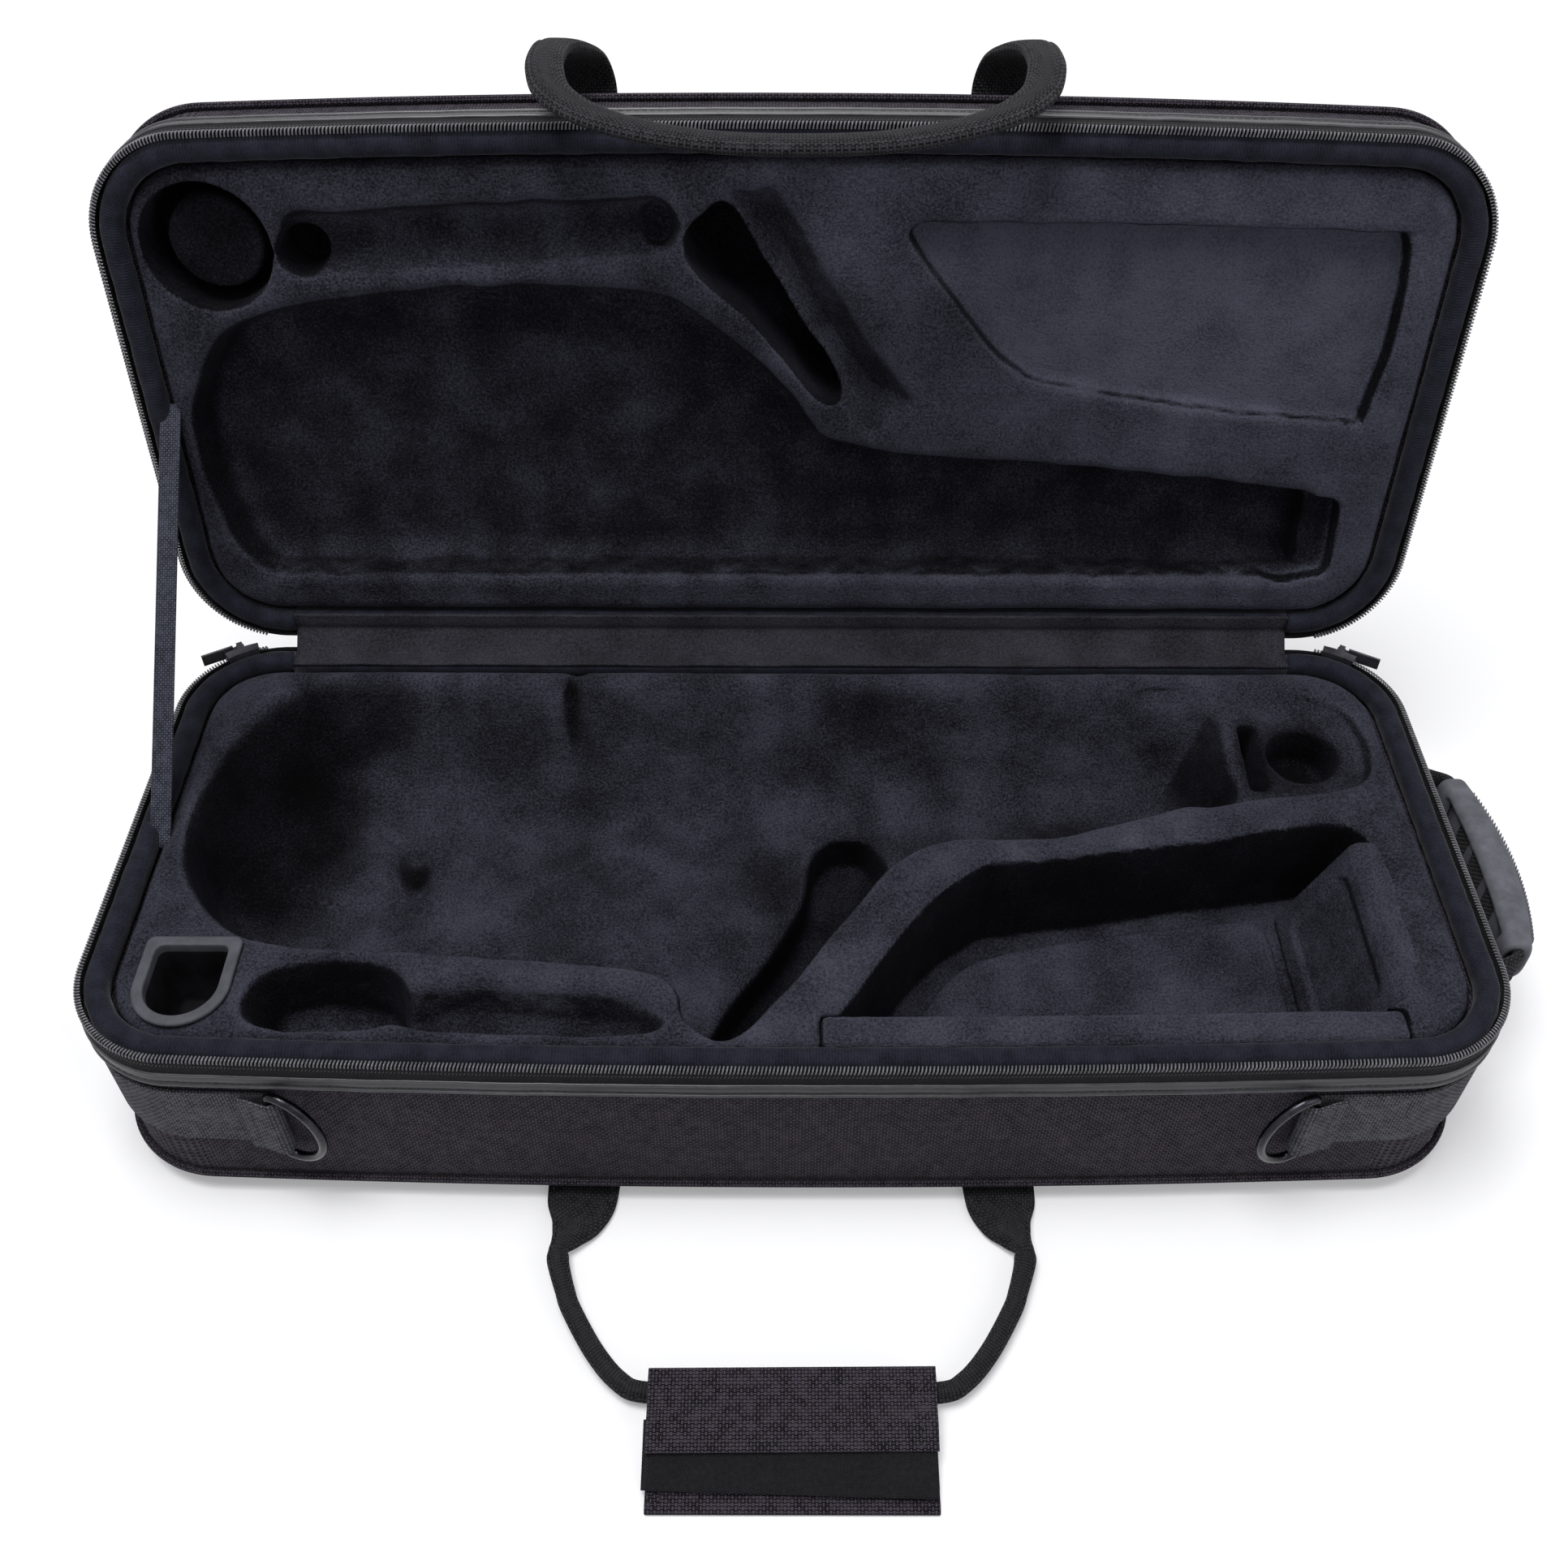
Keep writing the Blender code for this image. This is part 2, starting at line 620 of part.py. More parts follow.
def add_piping(side, name, height):
    level_z = level(side, height - PIPING_HEIGHT)
    inset = WALL_SETBACK - TOUCH - PIPING_RADIUS
    points = [(x, y, level_z) for x, y in outline(inset)]
    return keep(tube(name, points, PIPING_RADIUS, closed=True, resolution=1), ZIP_TAPE)


def add_binding(side, name):
    low, high = between(side, BINDING_DROP, BINDING_DROP + BINDING_HEIGHT)
    loops = [outline(BINDING_OUTER), outline(WALL_SETBACK - TOUCH)]
    return keep(slab(name, loops, low, high), VINYL)


def add_tape(side, name):
    low, high = between(side, TAPE_DROP, BINDING_DROP - TOUCH)
    loop = seam_strip(TAPE_SETBACK, TAPE_SETBACK + TAPE_THICKNESS)
    return keep(slab(name, [loop], low, high), ZIP_TAPE)


def add_coil(side, name):
    points = [(x, y, level(side, COIL_DROP)) for x, y in
              outline(COIL_SETBACK, CHAIN_END_DEG, steps=FINE_CORNER_STEPS)]
    return keep(tube(name, points, COIL_RADIUS, resolution=1), ZIP_COIL)


def add_collar(side, name):
    height = level(side, COLLAR_DROP)
    run = outline(COLLAR_SETBACK, steps=FINE_CORNER_STEPS)
    back = HINGE_Y - COLLAR_SETBACK
    start = SEAM_X + TOUCH
    points = [(-start, back)] + run + [(start, back)]
    return keep(tube(name, [(x, y, height) for x, y in points], COLLAR_RADIUS), COLLAR_CLOTH)


def add_insert(side, name, face_drop, height):
    low, high = between(side, face_drop, height - FLOOR_THICKNESS - TOUCH)
    return keep(slab(name, [outline(INSERT_SETBACK, steps=FINE_CORNER_STEPS)], low, high), PLUSH)


def part_insert(insert, tags, seams):
    """Parts an insert across its length into pieces a touch apart, from left to right."""
    ends = [-CASE_LENGTH / 2] + seams + [CASE_LENGTH / 2]
    pieces = []
    for tag, start, end in zip(tags, ends, ends[1:]):
        piece = insert.copy()
        piece.data = insert.data.copy()
        piece.name = insert.name + "_" + tag
        parts.objects.link(piece)
        bay = cutter(box(piece.name + "_bay", (start + TOUCH / 2, -CASE_DEPTH / 2, 0),
                         (end - TOUCH / 2, CASE_DEPTH / 2, RIM_Z + LID_HEIGHT)))
        boolean(piece, bay, "INTERSECT")
        pieces.append((piece, bay))
    bpy.data.objects.remove(insert)
    return pieces


def cut_hollow(insert, side, name, points, face_drop, depth, smooth=True, steps=3):
    low, high = between(side, face_drop - OVERRUN, face_drop + depth)
    tool = cutter(slab(name, [points], low, high, smooth=smooth, steps=steps))
    boolean(insert, tool)
    return tool


def d_outline(centre_x, back, half_width, length, corner):
    """A plan that is straight at the back and round in front."""
    front_centre = back - length + half_width
    points = arc(centre_x - half_width + corner, back - corner, corner, 90, 180, 2)
    points += arc(centre_x, front_centre, half_width, 180, 360, 14)
    points += arc(centre_x + half_width - corner, back - corner, corner, 0, 90, 2)
    return points


def rounded_ends(stations):
    """The stations with a thinner one past each end, so that the ends are round."""
    ends = []
    for one, two in ((stations[0], stations[1]), (stations[-1], stations[-2])):
        out = (Vector(one[0]) - Vector(two[0])).normalized()
        ends.append((Vector(one[0]) + out * one[2] * END_REACH_SHARE,
                     one[1] - one[2] * (1 - END_THIN_SHARE), one[2] * END_THIN_SHARE, one[3]))
    return [ends[0]] + list(stations) + [ends[1]]


def strap(name, stations):
    """A strap lofted through stations: centre, half width, half thickness, outward way."""
    mesh = bpy.data.meshes.new(name)
    work = bmesh.new()
    stations = rounded_ends(stations)
    centres = [Vector(station[0]) for station in stations]
    rings = []
    for i, (_, half, thick, outward) in enumerate(stations):
        along = (centres[min(i + 1, len(centres) - 1)] - centres[max(i - 1, 0)]).normalized()
        across = along.cross(Vector(outward)).normalized()
        lift = across.cross(along)
        cut = min(half, thick) * STRAP_CORNER_SHARE
        corners = ((half, thick - cut), (half - cut, thick), (cut - half, thick),
                   (-half, thick - cut), (-half, cut - thick), (cut - half, -thick),
                   (half - cut, -thick), (half, cut - thick))
        rings.append([work.verts.new(centres[i] + across * u + lift * v) for u, v in corners])
    for one, two in zip(rings, rings[1:]):
        for i in range(len(one)):
            j = (i + 1) % len(one)
            work.faces.new((one[i], one[j], two[j], two[i]))
    work.faces.new(rings[0])
    work.faces.new(rings[-1])
    bmesh.ops.recalc_face_normals(work, faces=work.faces)
    work.to_mesh(mesh)
    work.free()
    return bpy.data.objects.new(name, mesh)


def prism(name, profile, start, end):
    """A profile in Y and Z, drawn out along X."""
    made = slab(name, [profile], start, end)
    made.data.transform(Matrix(((0, 0, 1, 0), (1, 0, 0, 0), (0, 1, 0, 0), (0, 0, 0, 1))))
    return made


def thick_line(points, thickness):
    """A profile of even thickness that follows points, to the left of their run."""
    shifted = []
    for i, point in enumerate(points):
        before = Vector(points[max(i - 1, 0)])
        after = Vector(points[min(i + 1, len(points) - 1)])
        one = (Vector(point) - before).normalized() if i else (after - before).normalized()
        two = (after - Vector(point)).normalized() if i + 1 < len(points) else one
        normal = Vector((-(one + two).y, (one + two).x)).normalized()
        reach = thickness / normal.dot(Vector((-one.y, one.x)))
        shifted.append(tuple(Vector(point) + normal * reach))
    return list(points) + shifted[::-1]


# The base half.
add_shell(-1, "base_shell", BASE_HEIGHT, BASE_EDGE_RADIUS)
add_back_ledge(-1, "base_back_foam")
add_piping(-1, "base_bottom_piping", BASE_HEIGHT)
add_binding(-1, "base_binding")
add_tape(-1, "base_zip_tape")
add_coil(-1, "base_zip_coil")
base_collar = add_collar(-1, "base_collar")
base_insert = add_insert(-1, "base_insert", BASE_FACE_DROP, BASE_HEIGHT)

for hollow_name, hollow_shares, hollow_depth in (
        ("body_hollow", BODY_SHARES, BODY_DEPTH),
        ("support_shelf", SHELF_SHARES, SHELF_DEPTH),
        ("bell_slot_hollow", BELL_SLOT_SHARES, BELL_SLOT_DEPTH),
        ("neck_pocket_hollow", NECK_POCKET_SHARES, NECK_POCKET_DEPTH),
        ("neck_trough_hollow", NECK_TROUGH_SHARES, NECK_TROUGH_DEPTH),
        ("accessory_hollow", ACCESSORY_SHARES, ACCESSORY_DEPTH)):
    cut_hollow(base_insert, -1, hollow_name, placed(hollow_shares), BASE_FACE_DROP, hollow_depth)


def add_end_socket():
    """The round socket for the horn's end, and the slot that lets its wall give."""
    x, y = placed_point(SOCKET_SHARES)
    face = level(-1, BASE_FACE_DROP)
    boolean(base_insert, cutter(cylinder("end_socket", SOCKET_RADIUS, (x, y, face - SOCKET_DEPTH),
                                         (x, y, face + OVERRUN))))
    slot_x = x - SOCKET_RADIUS - SUPPORT_WALL / 2
    boolean(base_insert, cutter(box("socket_slot",
                                    (slot_x - SUPPORT_SLOT, y - SOCKET_RADIUS, face - SOCKET_DEPTH),
                                    (slot_x, y + SOCKET_RADIUS, face + OVERRUN))))


cup_x = CUP_SIDE_GAP + CUP_HALF_WIDTH - INSERT_HALF_LENGTH
cup_back = CUP_FRONT_GAP + CUP_LENGTH - INSERT_HALF_DEPTH


def cup_outline(inset):
    return d_outline(cup_x, cup_back - inset, CUP_HALF_WIDTH - inset, CUP_LENGTH - 2 * inset,
                     CUP_CORNER * (1 - inset / CUP_HALF_WIDTH))


def add_cup():
    face = level(-1, BASE_FACE_DROP)
    low = face - CUP_DEPTH
    seat = cutter(slab("cup_seat", [cup_outline(CUP_FLANGE - TOUCH)], low - 2 * TOUCH,
                       face + OVERRUN))
    boolean(base_insert, seat)
    cup = slab("mouthpiece_cup", [cup_outline(0)], face + TOUCH, face + CUP_FLANGE_HEIGHT)
    body = cutter(slab("cup_body", [cup_outline(CUP_FLANGE)], low, face + CUP_FLANGE_HEIGHT / 2))
    well = cutter(slab("cup_well", [cup_outline(CUP_FLANGE + CUP_WALL)], low + CUP_WALL,
                       face + OVERRUN))
    hole_y = cup_back - CUP_LENGTH + CUP_HALF_WIDTH
    hole = cutter(cylinder("cup_floor_hole", CUP_HOLE_RADIUS, (cup_x, hole_y, low - OVERRUN),
                           (cup_x, hole_y, low + CUP_WALL + OVERRUN)))
    boolean(cup, body, "UNION")
    boolean(cup, well)
    boolean(cup, hole)
    keep(cup, CUP_PLASTIC)


def add_rail():
    """The padded strip in front of the accessory compartment, let into the insert's edge."""
    start = RAIL_START_SHARE * INSERT_HALF_LENGTH
    end = start + RAIL_LENGTH
    top = level(-1, BASE_FACE_DROP) + RAIL_PROUD
    rear = front_y(0, INSERT_SETBACK) + RAIL_WIDTH
    nose = RAIL_WIDTH / 2

    def plan(grow):
        xs = [start + RAIL_LENGTH * i / RAIL_STEPS for i in range(1, RAIL_STEPS)]
        edge = [(x, front_y(x, INSERT_SETBACK) - grow) for x in xs]
        return ([(start - grow, rear - nose)] + edge + [(end + grow, rear - nose)]
                + [(end - nose / 2, rear + grow), (start + nose / 2, rear + grow)])
    low = top - RAIL_HEIGHT
    boolean(base_insert, cutter(slab("rail_seat", [plan(TOUCH)], low - TOUCH, top + OVERRUN)))
    keep(slab("accessory_front_rail", [plan(0)], low, top), PLUSH)


def add_end_pad():
    """The sloping padded board at the accessory compartment's end."""
    face = END_PAD_SHARES[0] * INSERT_HALF_LENGTH - END_PAD_GAP
    back = END_PAD_SHARES[1] * INSERT_HALF_DEPTH
    front = END_PAD_SHARES[2] * INSERT_HALF_DEPTH
    top = level(-1, BASE_FACE_DROP)
    low = top - ACCESSORY_DEPTH + 2 * TOUCH
    pad = box("accessory_end_pad", (face - END_PAD_FOOT, front, low), (face, back, top))
    slope = atan2(top - low, END_PAD_FOOT - END_PAD_TOP)
    length = (top - low) / sin(slope)
    lean = (Matrix.Translation((face - END_PAD_FOOT, 0, low))
            @ Matrix.Rotation(pi / 2 - slope, 4, "Y"))
    boolean(pad, cutter(box("end_pad_slope", (-END_PAD_FOOT, front - OVERRUN, -OVERRUN),
                            (0, back + OVERRUN, length + OVERRUN), lean)))
    boolean(pad, cutter(box("end_pad_recess", (-END_PAD_RECESS, front + END_PAD_BORDER,
                                               END_PAD_BORDER),
                            (END_PAD_RECESS, back - END_PAD_BORDER, length - END_PAD_BORDER),
                            lean)))
    keep(pad, PLUSH)


def add_floor_pad():
    low = level(-1, BASE_FACE_DROP) - ACCESSORY_DEPTH + TOUCH
    keep(slab("accessory_floor_pad", [placed(FLOOR_PAD_SHARES)], low, low + FLOOR_PAD_THICKNESS,
              smooth=True), PLUSH)


add_end_socket()
add_cup()
add_rail()
add_end_pad()
add_floor_pad()

# The lid half, built closed and turned open with its hinge.
hinge = (0.0, HINGE_Y, RIM_Z)
lid_hinge = axis_empty("lid_hinge", hinge, -LID_OPEN_DEG)


def lid_point(x, reach, rise):
    """A point of the open lid: reach from the hinge line, rise out from the rim plane."""
    turn = radians(LID_OPEN_DEG)
    return Vector((x, HINGE_Y - reach * cos(turn) + rise * sin(turn),
                   RIM_Z + reach * sin(turn) + rise * cos(turn)))


def lid_piece(obj):
    return hang(obj, lid_hinge)


lid_shell, lid_hollow = add_shell(1, "lid_shell", LID_HEIGHT, LID_EDGE_RADIUS)
lid_insert = add_insert(1, "lid_insert", LID_FACE_DROP, LID_HEIGHT)
lid_collar = add_collar(1, "lid_collar")
for lid_made in (lid_shell, lid_hollow, lid_insert, lid_collar,
                 add_back_ledge(1, "lid_back_foam"),
                 add_piping(1, "lid_edge_piping", LID_HEIGHT),
                 add_binding(1, "lid_binding"),
                 add_tape(1, "lid_zip_tape"),
                 add_coil(1, "lid_zip_coil")):
    lid_piece(lid_made)

for hollow_name, hollow_shares, hollow_depth in (
        ("lid_body_hollow", LID_BODY_SHARES, LID_BODY_DEPTH),
        ("lid_slot_hollow", LID_SLOT_SHARES, LID_SLOT_DEPTH),
        ("lid_slope_hollow", LID_SLOPE_SHARES, LID_SLOPE_DEPTH),
        ("lid_trough_hollow", LID_TROUGH_SHARES, LID_TROUGH_DEPTH),
        ("lid_panel_hollow", LID_PANEL_SHARES, LID_PANEL_DEPTH)):
    lid_piece(cut_hollow(lid_insert, 1, hollow_name, placed(hollow_shares), LID_FACE_DROP,
                         hollow_depth))


def add_lid_rounds():
    """The round recess with its raised boss, and the deep hole beside it."""
    face = level(1, LID_FACE_DROP)
    x, y = placed_point(LID_CUP_SHARES)
    ring = []
    for radius in (LID_CUP_RADIUS, LID_BOSS_RADIUS):
        ring.append(arc(x, y, radius, 0, 360 - 360 / ROUND_STEPS, ROUND_STEPS - 1))
    lid_piece(cutter_on(slab("lid_ring_hollow", ring, face + LID_CUP_DEPTH - LID_BOSS_HEIGHT
                             - OVERRUN, face + LID_CUP_DEPTH)))
    lid_piece(cutter_on(slab("lid_round_hollow", [ring[0]], face - OVERRUN,
                             face + LID_CUP_DEPTH - LID_BOSS_HEIGHT)))
    x, y = placed_point(LID_HOLE_SHARES)
    lid_piece(cutter_on(cylinder("lid_hole", LID_HOLE_RADIUS, (x, y, face - OVERRUN),
                                 (x, y, face + LID_HOLE_DEPTH))))


def cutter_on(tool):
    boolean(lid_insert, cutter(tool))
    return tool


add_lid_rounds()


# The cloths that join the halves.
def add_hinge_lining():
    low = level(-1, BASE_FACE_DROP + LINING_THICKNESS / 2) + TOUCH
    face = BASE_FACE_DROP + LINING_THICKNESS / 2 - TOUCH
    far = INSERT_SETBACK - 2 * TOUCH
    near = WALL_SETBACK + TOUCH
    line = [(HINGE_Y - far, low), (HINGE_Y - near, low)]
    line += [tuple(lid_point(0, reach, face)[1:]) for reach in (near, far)]
    keep(prism("hinge_lining", thick_line(line, LINING_THICKNESS), -SEAM_X, SEAM_X),
         LINING_PLUSH)


def add_hinge_cloth():
    out = HINGE_CLOTH_THICKNESS + TOUCH
    low = BINDING_DROP + BINDING_HEIGHT / 2
    line = [(HINGE_Y + out, RIM_Z - low), (HINGE_Y + out, RIM_Z - TAPE_DROP)]
    line += [tuple(lid_point(0, -out, rise)[1:]) for rise in (TAPE_DROP, low)]
    keep(prism("hinge_cloth", thick_line(line, HINGE_CLOTH_THICKNESS), -SEAM_X, SEAM_X),
         SHELL_CLOTH)


def add_stay():
    """The flat strap that holds the lid, tucked into a slit in each insert."""
    x = -INSERT_HALF_LENGTH
    low = Vector((x, STAY_BASE_SHARE * INSERT_HALF_DEPTH, level(-1, BASE_FACE_DROP)))
    high = lid_point(x, HINGE_Y - STAY_LID_SHARE * INSERT_HALF_DEPTH, LID_FACE_DROP)
    run = (high - low).normalized()
    low -= run * STAY_TUCK
    high += run * STAY_TUCK
    outward = run.cross(Vector((1, 0, 0)))
    half = (STAY_WIDTH / 2, STAY_THICKNESS / 2)
    keep(strap("stay_strap", [(low, *half, outward), (high, *half, outward)]), STAY_WEBBING)
    room = (half[0] + SLIT_ROOM, half[1] + SLIT_ROOM)
    slit = cutter(strap("base_stay_slit", [(low - run * SLIT_ROOM, *room, outward),
                                           (low + run * 3 * STAY_TUCK, *room, outward)]))
    for piece in (base_insert, base_collar):
        boolean(piece, slit)
    slit = cutter(strap("lid_stay_slit", [(high - run * 3 * STAY_TUCK, *room, outward),
                                          (high + run * SLIT_ROOM, *room, outward)]))
    for piece in (lid_insert, lid_collar):
        boolean(piece, slit)


def part_inserts():
    """Seams cross the hollows, and the last two cross the end socket and the slot beside it."""
    seams = [share * INSERT_HALF_LENGTH for share in BASE_SEAM_SHARES]
    socket = placed_point(SOCKET_SHARES)[0]
    slot = socket - SOCKET_RADIUS - SUPPORT_WALL / 2 - SUPPORT_SLOT / 2
    part_insert(base_insert, BASE_PIECES, seams + [slot, socket])
    seams = [share * INSERT_HALF_LENGTH for share in LID_SEAM_SHARES]
    for piece, bay in part_insert(lid_insert, LID_PIECES, seams):
        hang(bay, lid_hinge)


add_hinge_lining()
add_hinge_cloth()
add_stay()
part_inserts()


# Shoulder strap rings and the webbing bands that hold them.
sleeve_radius = RING_WIRE_RADIUS + RING_BORE_ROOM + RING_LOOP_WALL
ring_y = front_y(RING_X, WALL_SETBACK) - 2 * TOUCH - sleeve_radius


def band_run(side, inset):
    points = [(RING_X, -CASE_DEPTH / 2 + inset)]
    points += arc(CORNER_CENTRE_X, -CORNER_CENTRE_Y, CORNER_RADIUS - inset, 270, 360,
                  CORNER_STEPS)
    points += [(CASE_LENGTH / 2 - inset, -RING_BAND_END)]
    return [bowed(side * x, y) for x, y in points]


def add_ring_band(side, name):
    low = RING_Z - WEBBING_WIDTH / 2
    high = RING_Z + WEBBING_WIDTH / 2
    inner = WALL_SETBACK - TOUCH
    loop = band_run(side, inner - WEBBING_THICKNESS) + band_run(side, inner)[::-1]
    made = slab(name, [loop], low, high)
    boolean(made, cutter(cylinder(name + "_fold", sleeve_radius, (side * RING_X, ring_y, low),
                                  (side * RING_X, ring_y, high))), "UNION")
    boolean(made, cutter(cylinder(name + "_bore", RING_WIRE_RADIUS + RING_BORE_ROOM,
                                  (side * RING_X, ring_y, low - OVERRUN),
                                  (side * RING_X, ring_y, high + OVERRUN))))
    keep(made, WEBBING)


def add_ring(side, name):
    half = RING_HEIGHT / 2
    corner = RING_CORNER_SHARE * half
    pivot = axis_empty(name + "_swing", (side * RING_X, ring_y, RING_Z), side * RING_REST_DEG,
                       "Z")
    points = [(0, corner - half), (0, half - corner)]
    for i in range(1, RING_STEPS):
        turn = pi * i / RING_STEPS
        points.append((RING_REACH * sin(turn), half * cos(turn)))
    made = tube(name, [(side * (RING_X - reach), ring_y, RING_Z + rise)
                       for reach, rise in points], RING_WIRE_RADIUS, closed=True)
    hang(keep(made, RING_METAL), pivot)


for ring_side, ring_name in ((-1, "left"), (1, "right")):
    add_ring_band(ring_side, ring_name + "_ring_webbing")
    add_ring(ring_side, ring_name + "_shoulder_ring")


# Zip sliders. Each is drawn with its travel along X, its outer face to Y, and then placed.
def add_lugs(body, name, place, face):
    """Two lugs and the pin between them, joined to a slider's outer face."""
    pin_y = face + PIN_REACH
    half = PIN_SPAN / 2
    for end, tag in ((-1, "_low_lug"), (1, "_high_lug")):
        levels = sorted((end * half, end * (half + LUG_THICKNESS)))
        lug = box(name + tag, (-LUG_HALF_LENGTH, face - LUG_THICKNESS / 2, levels[0]),
                  (LUG_HALF_LENGTH, pin_y + LUG_HALF_LENGTH, levels[1]), place)
        boolean(body, cutter(lug), "UNION")
    pin = cylinder(name + "_pin", PIN_RADIUS, (0, pin_y, -half - LUG_THICKNESS / 2),
                   (0, pin_y, half + LUG_THICKNESS / 2))
    pin.data.transform(place)
    boolean(body, cutter(pin), "UNION")
    return [obj for obj in cutters.objects if obj.name.startswith(name + "_")]


def add_pull(name, place, face, way, length, pivot):
    """A slider's pull tab, lying along the travel, on its pin."""
    pin_y = face + PIN_REACH
    half_bar = PIN_SPAN / 2 - TOUCH
    half_plate = PULL_THICKNESS / 2
    neck = EYE_RADIUS + LUG_HALF_LENGTH
    made = cylinder(name, EYE_RADIUS, (0, pin_y, -half_bar), (0, pin_y, half_bar))
    ends = sorted((way * EYE_RADIUS / 2, way * (neck + half_plate)))
    shank = box(name + "_shank", (ends[0], pin_y - half_plate, -half_bar),
                (ends[1], pin_y + half_plate, half_bar))
    ends = sorted((way * neck, way * length))
    plate = box(name + "_plate", (ends[0], pin_y - half_plate, -PULL_WIDTH / 2),
                (ends[1], pin_y + half_plate, PULL_WIDTH / 2))
    bore = cylinder(name + "_bore", PIN_RADIUS + EYE_ROOM, (0, pin_y, -PULL_WIDTH),
                    (0, pin_y, PULL_WIDTH))
    boolean(made, cutter(shank), "UNION")
    boolean(made, cutter(plate), "UNION")
    boolean(made, cutter(bore))
    for obj in (made, shank, plate, bore):
        obj.data.transform(place)
        hang(obj, pivot)
    keep(made, SLIDER_METAL)


def add_zip_slider(side, tag):
    """A slider at the base chain's end, on the axis of its back corner."""
    centre = (side * CORNER_CENTRE_X, CORNER_CENTRE_Y, RIM_Z)
    travel = axis_empty("zip_slider_" + tag + "_travel", centre, -side * SLIDER_DEG, "Z")
    name = "zip_slider_" + tag
    span = degrees(SLIDER_LENGTH / 2 / CORNER_RADIUS)
    over = degrees(OVERRUN / CORNER_RADIUS)
    bore_out = COIL_SETBACK - COIL_RADIUS - SLIDER_ROOM
    bore_in = COIL_SETBACK + COIL_RADIUS + SLIDER_ROOM
    roof = level(-1, COIL_DROP) + COIL_RADIUS + SLIDER_ROOM
    low = roof + SLIDER_PLATE - SLIDER_HEIGHT
    body = slab(name, [sector(side, bore_out - SLIDER_PLATE, bore_in + SLIDER_PLATE, -span, span)],
                low, roof + SLIDER_PLATE)
    channel = cutter(slab(name + "_channel", [sector(side, bore_out, bore_in, -span - over,
                                                     span + over)], low - OVERRUN, roof))
    boolean(body, channel)
    place = Matrix.Translation((centre[0], 0, low + SLIDER_HEIGHT / 2))
    face = HINGE_Y - bore_out + SLIDER_PLATE
    for obj in [body, channel] + add_lugs(body, name, place, face):
        if obj.parent is None:
            hang(obj, travel)
    keep(body, SLIDER_METAL)
    pivot = axis_empty("zip_pull_" + tag + "_swing",
                       (centre[0], face + PIN_REACH, low + SLIDER_HEIGHT / 2), on=travel)
    add_pull("zip_pull_" + tag, place, face, side, PULL_LENGTH, pivot)


for zip_side, zip_tag in ((-1, "left"), (1, "right")):
    add_zip_slider(zip_side, zip_tag)


# The lid's outer pocket.
pocket_face = RIM_Z + LID_HEIGHT + TOUCH


def add_pocket():
    front = HINGE_Y - POCKET_ZIP_T + POCKET_TAPE_HALF_WIDTH + TOUCH
    back = HINGE_Y - POCKET_MARGIN
    half = CASE_LENGTH / 2 - POCKET_MARGIN
    radius = CORNER_RADIUS - POCKET_MARGIN
    points = arc(half - radius, back - radius, radius, 0, 90, CORNER_STEPS)
    points += arc(radius - half, back - radius, radius, 90, 180, CORNER_STEPS)
    points += arc(radius - half, front + radius, radius, 180, 270, CORNER_STEPS)
    points += arc(half - radius, front + radius, radius, 270, 360, CORNER_STEPS)
    panel = slab("lid_pocket_panel", [points], pocket_face, pocket_face + POCKET_THICKNESS)
    lid_piece(keep(panel, SHELL_CLOTH))


def add_pocket_zip():
    y = HINGE_Y - POCKET_ZIP_T
    half = POCKET_ZIP_HALF_LENGTH
    made = box("pocket_zip", (-half, y - POCKET_TAPE_HALF_WIDTH, pocket_face),
               (half, y + POCKET_TAPE_HALF_WIDTH, pocket_face + POCKET_TAPE_THICKNESS))
    height = pocket_face + POCKET_TAPE_THICKNESS + POCKET_COIL_RADIUS / 2
    end = half - POCKET_TAPE_HALF_WIDTH
    coil = cutter(cylinder("pocket_coil", POCKET_COIL_RADIUS, (-end, y, height), (end, y, height),
                           steps=8))
    boolean(made, coil, "UNION")
    lid_piece(coil)
    lid_piece(keep(made, ZIP_TAPE))


def add_pocket_slider(side, tag, x):
    y = HINGE_Y - POCKET_ZIP_T
    low = pocket_face + POCKET_TAPE_THICKNESS + TOUCH
    roof = low + 3 * POCKET_COIL_RADIUS / 2
    top = roof + POCKET_SLIDER_WALL
    name = "pocket_slider_" + tag
    travel = axis_empty(name + "_travel", (x, y, low), on=lid_hinge)
    body = box(name, (x - POCKET_SLIDER_HALF_LENGTH, y - POCKET_SLIDER_HALF_WIDTH, low),
               (x + POCKET_SLIDER_HALF_LENGTH, y + POCKET_SLIDER_HALF_WIDTH, top))
    bore = POCKET_COIL_RADIUS + TOUCH
    channel = cutter(box(name + "_channel",
                         (x - POCKET_SLIDER_HALF_LENGTH - OVERRUN, y - bore, low - OVERRUN),
                         (x + POCKET_SLIDER_HALF_LENGTH + OVERRUN, y + bore, roof)))
    boolean(body, channel)
    place = Matrix.Translation((x, y, 0)) @ Matrix.Rotation(pi / 2, 4, "X")
    for obj in [body, channel] + add_lugs(body, name, place, top):
        if obj.parent is None:
            hang(obj, travel)
    keep(body, SLIDER_METAL)
    pivot = axis_empty("pocket_pull_" + tag + "_swing", (x, y, top + PIN_REACH), on=travel)
    add_pull("pocket_pull_" + tag, place, top, side, POCKET_PULL_LENGTH, pivot)


add_pocket()
add_pocket_zip()
for slider_side, slider_tag, slider_x in ((-1, "left", POCKET_SLIDER_X[0]),
                                          (1, "right", POCKET_SLIDER_X[1])):
    add_pocket_slider(slider_side, slider_tag, slider_x)


# Carry handles.
def mirrored_path(rows, make):
    """Stations of a handle from one end to the other, from rows for its left half."""
    left = [make(-1, row) for row in rows]
    right = [make(1, row) for row in rows[::-1]]
    return left + right[1:]


